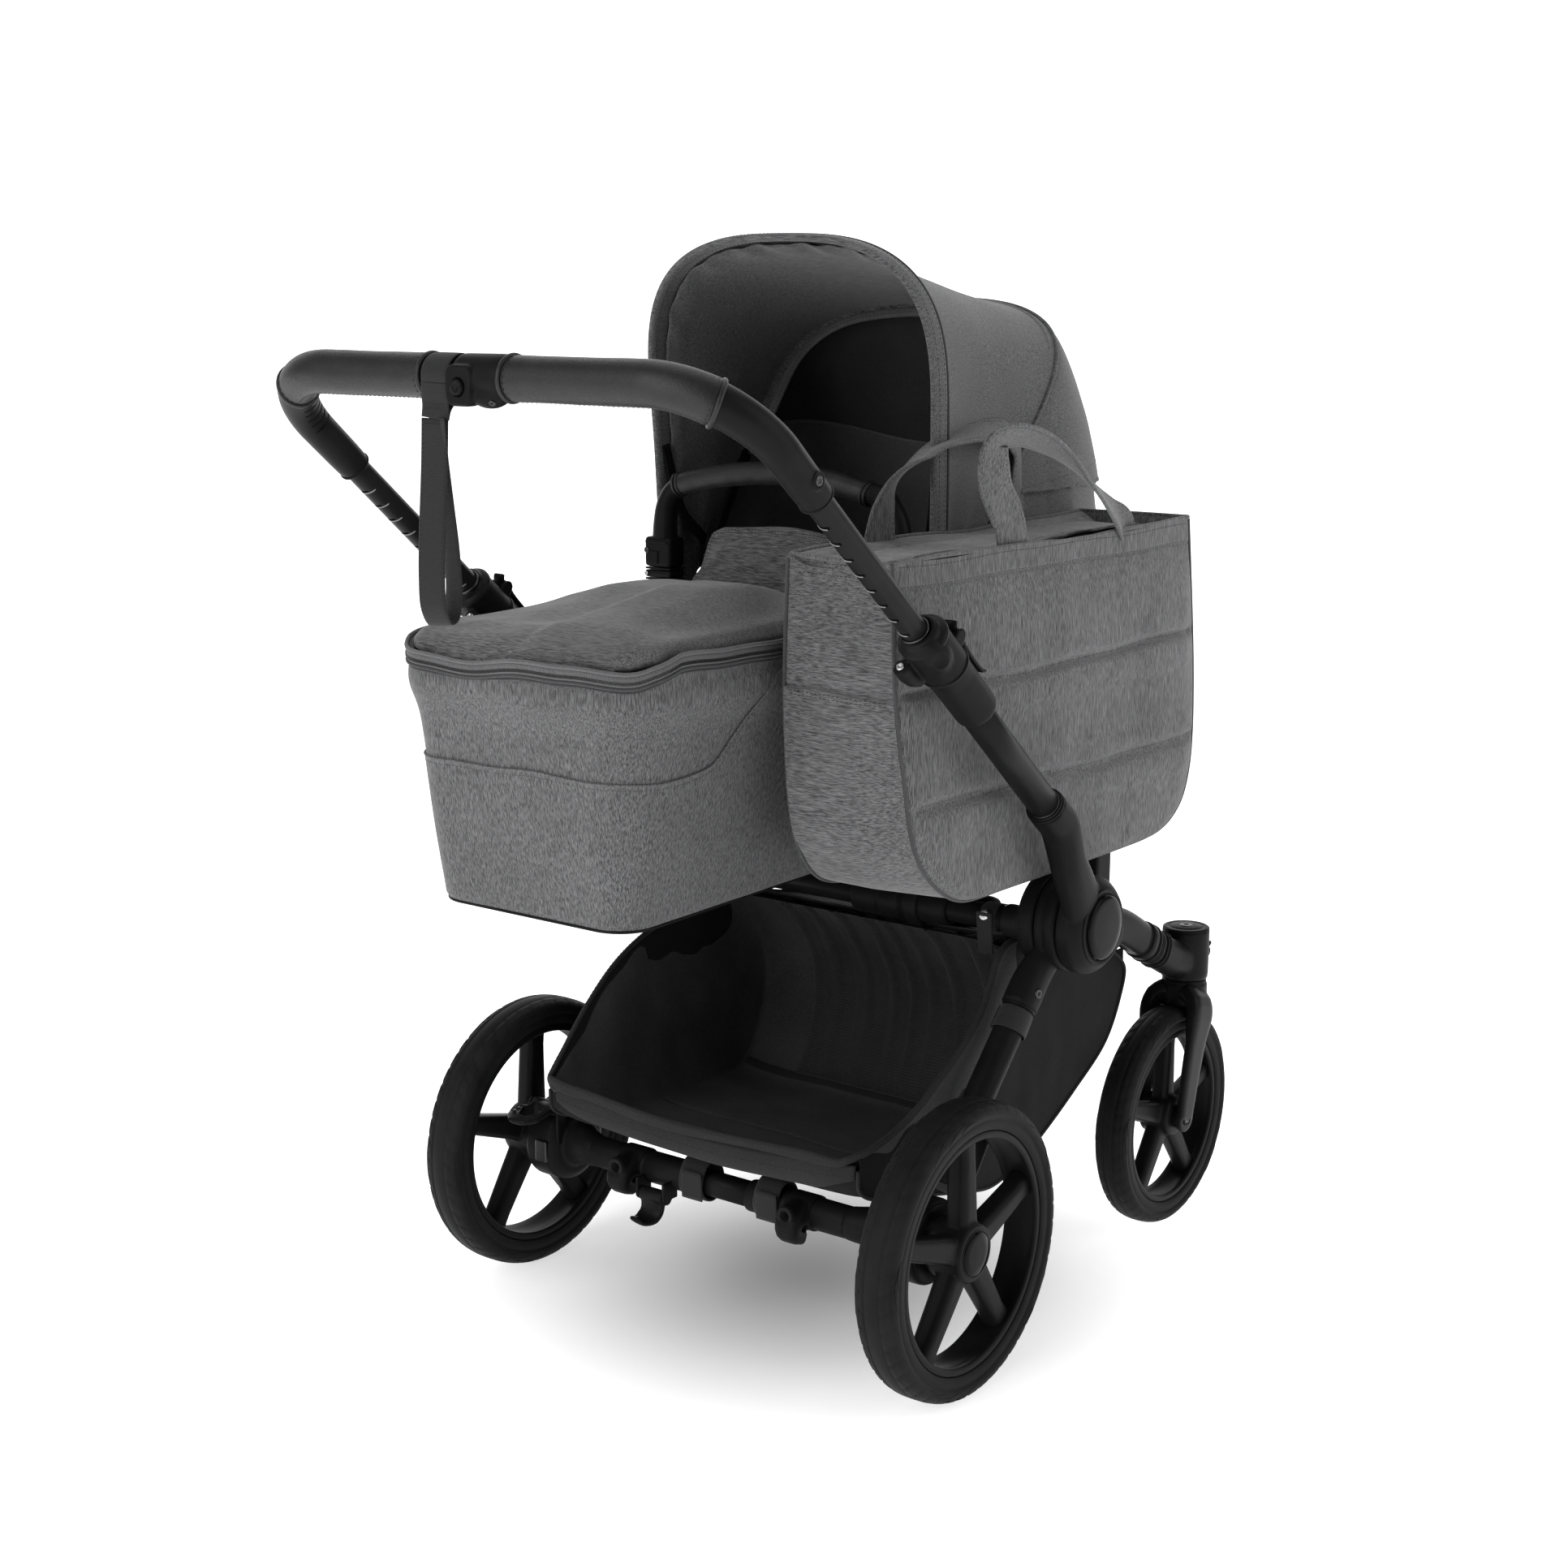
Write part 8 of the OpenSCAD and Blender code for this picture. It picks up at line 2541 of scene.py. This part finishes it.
# ------------------------------------------------------------------ basket
def curve3(pts, n):
    return smooth_path(np.array(pts, float), n)


def basket():
    nv, nu = 170, 150
    C = curve3([(0, -56, 229), (0, -53, 214), (0, -38, 200), (0, 0, 189), (0, 60, 181), (0, 110, 176), (0, 190, 171), (0, 256, 177), (0, 284, 212), (0, 300, 250), (0, 304, 285), (0, 297, 320), (0, 279, 352), (0, 257, 380), (0, 233, 399)], nv)
    RL = curve3([(-196, -59, 226), (-208, -55, 232), (-209, -25, 268), (-207, 5, 303), (-207, 55, 342), (-206, 110, 366), (-205, 165, 374), (-204, 215, 380), (-202, 250, 388), (-200, 246, 396)], nv)
    RRt = curve3([(168, -59, 226), (188, -56, 235), (202, -39, 243), (203, 8, 252), (203, 51, 268), (203, 80, 284), (203, 109, 299), (203, 139, 320), (203, 159, 338), (202, 176, 364), (201, 195, 392), (200, 215, 399), (200, 236, 399)], nv)
    vv = np.linspace(0, 1, nv)
    # half width of the floor part along the way
    hw = np.interp(vv, [0, 0.04, 0.12, 0.3, 0.5, 0.62, 0.8, 1.0], [165, 172, 176, 178, 180, 184, 192, 197])
    us = np.linspace(-1, 1, nu)
    k = 0.60
    rows = np.zeros((nv, nu, 3))
    for i in range(nv):
        c = C[i]
        for sgn, R in ((-1, RL[i]), (1, RRt[i])):
            sel = np.where(us * sgn >= 0)[0]
            a = np.abs(us[sel])
            fl = np.clip(a / k, 0, 1)
            X = sgn * hw[i] * fl
            Y = np.full(len(sel), c[1])
            Z = c[2] + 6.0 * fl**6
            w = np.clip((a - k) / (1 - k), 0, 1)
            e = np.array([sgn * hw[i], c[1], c[2] + 6.0])
            # wall: leaves the floor in a short curve and leans out to the rim
            q = e[None, :] * (1 - w[:, None]) + R[None, :] * w[:, None]
            q[:, 0] += sgn * (7.0 if sgn < 0 else 2.0) * np.sin(np.pi * w) ** 1.0 * min(1.0, np.linalg.norm(R - e) / 60.0)
            blend_ = (a > k)[:, None]
            P_ = np.where(blend_, q, np.column_stack([X, Y, Z]))
            rows[i, sel] = P_
    # ease the corner between floor and wall
    for _ in range(5):
        rows[:, 1:-1] = 0.5 * rows[:, 1:-1] + 0.25 * (rows[:, 2:] + rows[:, :-2])
        rows[1:-1, 2:-2] = 0.6 * rows[1:-1, 2:-2] + 0.2 * (rows[2:, 2:-2] + rows[:-2, 2:-2])
    du = np.gradient(rows, axis=1)
    dv = np.gradient(rows, axis=0)
    N = np.cross(du, dv)
    N /= np.linalg.norm(N, axis=2)[:, :, None] + 1e-9
    if N[nv // 3, nu // 2, 2] < 0:
        N = -N
    flat = rows.reshape(-1, 3)
    V = vv[:, None] * np.ones((1, nu))
    A = np.abs(us)[None, :] * np.ones((nv, 1))
    w = value_noise(flat, 70, 61).reshape(nv, nu) * 3.2 + value_noise(flat, 28, 62).reshape(nv, nu) * 1.1
    # soft upright folds in the side walls, hanging from the rim
    side = np.clip((A - k) / 0.12, 0, 1)
    w += side * 3.4 * np.sin(rows[..., 1] / 15.0 + 2.0 * np.sin(rows[..., 2] / 60.0)) * np.clip((A - k) / (1 - k) * 1.3 - 0.1, 0, 1) * np.clip((0.62 - V) / 0.12, 0.12, 1) * (0.5 + 0.5 * value_noise(flat, 90, 65).reshape(nv, nu))
    w *= np.clip(V / 0.05, 0, 1) * np.clip((1 - A) / 0.05, 0, 1)
    # sewn lines: across the floor, where the net begins, and between floor and walls
    vf = np.interp(96.0, C[: int(nv * 0.5), 1], vv[: int(nv * 0.5)])
    vm = np.interp(256.0, C[: int(nv * 0.56), 1], vv[: int(nv * 0.56)])
    inside = np.clip((k - A) / 0.02, 0, 1)
    w -= 2.2 * np.exp(-(((V - vf) / 0.0045) ** 2)) * inside
    w += 1.6 * np.exp(-(((V - vm) / 0.010) ** 2)) * inside
    w -= 1.8 * np.exp(-(((A - k) / 0.010) ** 2)) * np.clip((V - 0.08) / 0.05, 0, 1)
    inner = rows + N * w[:, :, None]
    tub = sheet_obj("basket_inner", inner, False)
    solidify(tub, 1.4, 0.0)

    def settle(ob, mat, replaces=()):
        set_mat(ob, mat)
        bpy.context.view_layer.update()
        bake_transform(ob)
        if replaces:
            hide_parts(*replaces)
        done.append(ob)

    # inside of the basket, in the lighter copy of the cloth: painted light
    settle(tub, M["basket"], ["basket"])
    # net over the front slope
    i0 = int(vm * nv) + 2
    ua, ub = int(nu * 0.5 * (1 - k * 0.62)), int(nu * 0.5 * (1 + k * 1.0))
    reg = inner[i0:, ua:ub] + N[i0:, ua:ub] * 3.0
    rv = np.linspace(0, 1, 74)
    ru = np.linspace(0, 1, 100)
    G = np.zeros((74, 100, 3))
    GN = np.zeros((74, 100, 3))
    a_, b_ = reg.shape[:2]
    for c in range(3):
        t1 = np.array([np.interp(ru, np.linspace(0, 1, b_), reg[i, :, c]) for i in range(a_)])
        G[..., c] = np.array([np.interp(rv, np.linspace(0, 1, a_), t1[:, j]) for j in range(100)]).T
        t2 = np.array([np.interp(ru, np.linspace(0, 1, b_), N[i0 + i, ua:ub, c]) for i in range(a_)])
        GN[..., c] = np.array([np.interp(rv, np.linspace(0, 1, a_), t2[:, j]) for j in range(100)]).T
    g = 5.5 * np.sin(ru * 58 + 1.5 * np.sin(ru * 13))[None, :] * rv[:, None] ** 0.8 + 2.0 * np.sin(ru * 97 + 1)[None, :] * rv[:, None]
    G = G + GN * (2.0 + 0.5 * (g + np.abs(g)))[:, :, None]
    # lattice of slanted threads
    V_, F_ = [], []
    m, n = 74, 100
    off = np.zeros_like(G)
    Gs = G.copy()
    Gs[1::2, :-1] = 0.5 * (G[1::2, :-1] + G[1::2, 1:])
    net = obj_from("basket_net", Gs.reshape(-1, 3), [], smooth=False)
    fs = []
    for i in range(m - 1):
        for j in range(n - 2):
            a = i * n + j
            if i % 2 == 0:
                fs.append((a, a + 1, a + n))
                fs.append((a + 1, a + n + 1, a + n))
            else:
                fs.append((a, a + 1, a + n + 1))
                fs.append((a, a + n + 1, a + n))
    bpy.data.objects.remove(net)
    net = obj_from("basket_net", Gs.reshape(-1, 3), fs, smooth=False)
    wf = net.modifiers.new("w", "WIREFRAME")
    wf.thickness = 0.0011
    wf.use_even_offset = False
    wf.use_boundary = True
    apply_mods(net)
    settle(net, M["mesh"])
    # tape along the lower edge of the net
    e = inner[i0 - 1, int(nu * 0.5 * (1 - k)) : int(nu * 0.5 * (1 + k))] + N[i0 - 1, int(nu * 0.5 * (1 - k)) : int(nu * 0.5 * (1 + k))] * 2.0
    t = tube("basket_net_tape", resample(e, 150), (1.2, 5.5), 14, up=(0, -0.4, 0.9), prof=rounded_prof(1, 1, 0.4))
    settle(t, M["basket_trim"])
    # outer cloth: sides and underside as one sling
    out = [(-58, 226), (-56, 205), (-38, 190), (0, 180), (60, 164), (130, 146), (190, 134), (240, 143), (285, 160), (360, 197), (428, 238), (458, 282), (468, 316), (452, 336), (428, 349), (330, 374), (215, 397)]
    O = smooth_path(np.array([(0, a, b) for a, b in out], float), 200)
    t_ = np.gradient(O[:, 1:], axis=0)
    t_ /= np.linalg.norm(t_, axis=1)[:, None]
    nr = np.stack([t_[:, 1], -t_[:, 0]], 1)
    if nr[60, 1] > 0:
        nr = -nr
    us = np.linspace(-1, 1, 90)
    hwO = 206.0
    rows = np.zeros((200, 90, 3))
    for i in range(200):
        f = np.abs(us) ** 10
        pull = 5.0 * f
        rows[i, :, 0] = np.where(us < 0, hwO, 199.0) * us
        rows[i, :, 1] = O[i, 1] - nr[i, 0] * pull
        rows[i, :, 2] = O[i, 2] - nr[i, 1] * pull
    w = value_noise(rows.reshape(-1, 3), 80, 71).reshape(200, 90) * 2.6 + value_noise(rows.reshape(-1, 3), 30, 72).reshape(200, 90) * 0.8
    w *= np.clip(np.minimum(np.arange(200), 199 - np.arange(200)) / 14.0, 0, 1)[:, None]
    rows[..., 1] += nr[:, None, 0] * w
    rows[..., 2] += nr[:, None, 1] * w
    under = sheet_obj("a", rows, False)
    sides = []
    for sgn, R in ((-1, RL), (1, RRt)):
        # side wall: from the outline edge up to the rim
        ho = hwO if sgn < 0 else 199.0
        lo = np.column_stack([np.full(200, sgn * ho), O[:, 1] - nr[:, 0] * 5, O[:, 2] - nr[:, 1] * 5])
        top = resample(np.vstack([R[:, :], [[sgn * 198, 300, 380], [sgn * 198, 400, 356], [sgn * 198, 440, 342]]]), 200)
        top = top.copy()
        # match by progress forward
        yq = np.clip(lo[:, 1], top[:, 1].min(), top[:, 1].max())
        order = np.argsort(top[:, 1], kind="stable")
        ty = top[order]
        tz = np.interp(yq, ty[:, 1], ty[:, 2])
        # outline runs out along the bottom and back along the top: only the lower run makes the wall
        kmax = int(np.argmax(lo[:, 1]))
        L = lo[:kmax]
        tt = np.column_stack([np.full(kmax, sgn * (205.0 if sgn < 0 else 198.5)), L[:, 1], np.maximum(tz[:kmax], L[:, 2])])
        ws = np.linspace(0, 1, 40)
        S = L[None, :, :] * (1 - ws[:, None, None]) + tt[None, :, :] * ws[:, None, None]
        nz = value_noise(S.reshape(-1, 3), 65, 75).reshape(40, kmax) * 3.0 + value_noise(S.reshape(-1, 3) * np.array([1, 1.3, 0.5]), 28, 76).reshape(40, kmax) * 1.4
        S[..., 0] += sgn * (2.0 * np.sin(np.pi * ws)[:, None] + nz * np.sin(np.pi * ws)[:, None] ** 0.5)
        # keep inside the legs
        S[..., 0] = sgn * np.minimum(np.abs(S[..., 0]), 209.0 if sgn < 0 else 202.0)
        sides.append(sheet_obj("s", S, False))
    outer = join("basket_outer", [under] + sides)
    settle(outer, M["basket_out"])
    for sgn in (-1, 1):
        lo = np.column_stack([np.full(200, sgn * (hwO + 0.5) if sgn < 0 else 199.5), O[:, 1] - nr[:, 0] * 3.5, O[:, 2] - nr[:, 1] * 3.5])[:150]
        t = tube("basket_seam_cord_%s" % ("left" if sgn < 0 else "right"), lo, 1.8, 10, up=(1, 0, 0))
        settle(t, M["basket_trim"])
    # bound rim: left side, rear edge, right side in one piece
    rear = np.array([(x, -60.0 + 1.2 * math.sin(x / 40.0), 226.5 + 4.0 * (abs(x) / 200.0) ** 2 - 3.5 * math.cos(x / 66.0)) for x in np.linspace(-186, 158, 40)])
    rim = np.vstack([RL[6:][::-1], rear, RRt[6:]])
    rim = smooth_path(rim[::4], 520)
    rim[:, 2] += 1.0
    wdt = np.interp(rim[:, 0], [150, 190], [6.2, 3.6])
    binding = tube("basket_rim", rim, np.stack([wdt, wdt * 0 + 2.5], 1), 18, up=(0, 0.2, 1), prof=rounded_prof(1, 1, 0.75))
    settle(binding, M["basket_trim"])
    tt, aa, bb = frames(rim, False, (0, 0.2, 1))
    sgn = 1.0 if bb[260][1] < 0 else -1.0
    st = stitches("basket_rim_stitches", rim - aa * 3.8 + bb * sgn * 2.6, bb * sgn, 3.4, 1.8, 0.7, 0.45, 0.0, M["thread_dark"])
    settle(st, M["thread_dark"])
    # satin band hanging below the rear edge
    xs = np.linspace(-196, 196, 130)
    prof = [(-61.0, 224.0), (-62.5, 219), (-62.8, 212), (-61.0, 205), (-56.5, 198.5), (-50, 194), (-40, 190.5), (-26, 187.5), (-10, 184.0)]
    prof = smooth_path(np.array([(0, a, b) for a, b in prof], float), 26)[:, 1:]
    rows = []
    for j, (y, z) in enumerate(prof):
        f = j / 25.0
        sag = 1.6 * np.sin(xs / 43.0 + 0.5) * math.sin(math.pi * min(1, f * 1.4)) + 1.0 * np.sin(xs / 19.0) * math.sin(math.pi * f)
        endf = (np.abs(xs) / 196.0) ** 8
        rows.append(np.column_stack([xs, np.full(130, y) - sag * 0.6 + 8 * endf, np.full(130, z) + 4.0 * (np.abs(xs) / 200) ** 2 - 3.5 * np.cos(xs / 66.0) * (1 - f) + 10 * endf * f]))
    band = sheet_obj("basket_rear_band", np.array(rows), False)
    solidify(band, 1.2, 0.0)
    settle(band, M["basket_trim"])
    st = stitches("basket_band_stitches", np.array(rows[4]) + np.array([0, -0.8, 0]), (0, -1, 0.1), 3.4, 1.8, 0.7, 0.45, 0.0, M["thread_dark"])
    settle(st, M["thread_dark"])


basket()


# ------------------------------------------------------------------ camera, floor, light
def stage_and_light():
    cam = bpy.data.cameras.new("camera")
    cam.sensor_width = 36.0
    cam.lens = 2996.0 / 1932.0 * 36.0
    cam.clip_start = 0.05
    cam.clip_end = 60.0
    co = bpy.data.objects.new("camera", cam)
    bpy.context.scene.collection.objects.link(co)
    co.location = (1.4965, -1.8907 - MY / 1000.0, 1.0736)
    r = Matrix.Rotation(math.radians(37.13), 3, "Z") @ Matrix.Rotation(math.radians(90 - 11.6), 3, "X") @ Matrix.Rotation(math.radians(ROLL), 3, "Z")
    co.rotation_euler = r.to_euler()
    bpy.context.scene.camera = co

    # floor that curves up into a backdrop behind the object, well out of its way
    s = 9.0
    prof = [(-s, 0.0)] + [(x, 0.0) for x in np.linspace(-s * 0.5, s * 0.6, 8)]
    for a in np.linspace(0, 90, 16)[1:]:
        prof.append((s * 0.6 + 2.2 * math.sin(math.radians(a)), 2.2 - 2.2 * math.cos(math.radians(a))))
    prof.append((s * 0.6 + 2.2, 8.0))
    V, F = [], []
    yaw = math.radians(37.13)
    for d, z in prof:
        for w in (-s, s):
            V.append((-math.sin(yaw) * d + math.cos(yaw) * w, math.cos(yaw) * d + math.sin(yaw) * w, z))
    for i in range(len(prof) - 1):
        F.append((2 * i, 2 * i + 1, 2 * i + 3, 2 * i + 2))
    fl = obj_from("floor", V, F, mm=False)
    fm = NT("floor_white_painted_shadow")
    fm.setv(Roughness=0.9, Specular_IOR_Level=0.0)
    fm.b.inputs["Base Color"].default_value = (0.55, 0.55, 0.55, 1)
    # the sweep glows: little near the object, so that its real shadow shows, and the dim patch round the row origin is
    # a painted shadow that stays put whatever the pose; fully white further off
    ln = fm.node("ShaderNodeVectorMath", operation="LENGTH")
    off_ = fm.node("ShaderNodeVectorMath", operation="SUBTRACT")
    fm.link(fm.co.outputs["Object"], off_.inputs[0])
    off_.inputs[1].default_value = (0.0, 0.0, 0.0)
    fm.link(off_.outputs["Vector"], ln.inputs[0])
    mr = fm.node("ShaderNodeMapRange")
    mr.interpolation_type = "SMOOTHSTEP"
    mr.inputs["From Min"].default_value = 0.0
    mr.inputs["From Max"].default_value = 0.62
    mr.inputs["To Min"].default_value = FLOOR_GLOW_PAINTED_SHADOW[0]
    mr.inputs["To Max"].default_value = FLOOR_GLOW_PAINTED_SHADOW[1]
    fm.link(ln.outputs["Value"], mr.inputs["Value"])
    fm.b.inputs["Emission Color"].default_value = (1, 1, 1, 1)
    fm.link(mr.outputs[0], fm.b.inputs["Emission Strength"])
    set_mat(fl, fm.m)

    w = bpy.data.worlds.new("world")
    bpy.context.scene.world = w
    w.use_nodes = True
    bg = w.node_tree.nodes["Background"]
    bg.inputs[0].default_value = (1, 1, 1, 1)
    bg.inputs[1].default_value = WORLD

    def area(name, loc, at, size, power, sy=None):
        l = bpy.data.lights.new(name, "AREA")
        l.shape = "RECTANGLE"
        l.size = size
        l.size_y = sy or size
        l.energy = power
        o = bpy.data.objects.new(name, l)
        bpy.context.scene.collection.objects.link(o)
        o.location = loc
        o.rotation_euler = (Vector(at) - Vector(loc)).to_track_quat("-Z", "Y").to_euler()
        return o

    for nm, loc, at, size, power, sy in LIGHTS:
        area(nm, loc, at, size, power, sy)
    sc = bpy.context.scene
    sc.view_settings.view_transform = "Standard"
    sc.view_settings.look = "None"
    sc.view_settings.exposure = 0.0
    sc.view_settings.gamma = 1.0


ROLL = 0.32
WORLD = 0.2
# floor emission near the row origin and far off: the low value paints a shadow patch on the floor
FLOOR_GLOW_PAINTED_SHADOW = (0.05, 1.25)
LIGHTS = [
    ("side", (3.0, 0.9, 1.9), (0.1, 0.1, 0.6), 2.8, 46, 2.8),
    ("rear", (-0.9, -3.4, 2.3), (0, 0, 0.6), 2.6, 60, 2.4),
    ("top", (-0.3, 0.5, 3.4), (0, 0, 0.4), 2.6, 26, 2.6),
    ("fill", (-0.1, -2.9, 1.0), (0, 0, 0.6), 1.6, 12, 1.2),
]
stage_and_light()
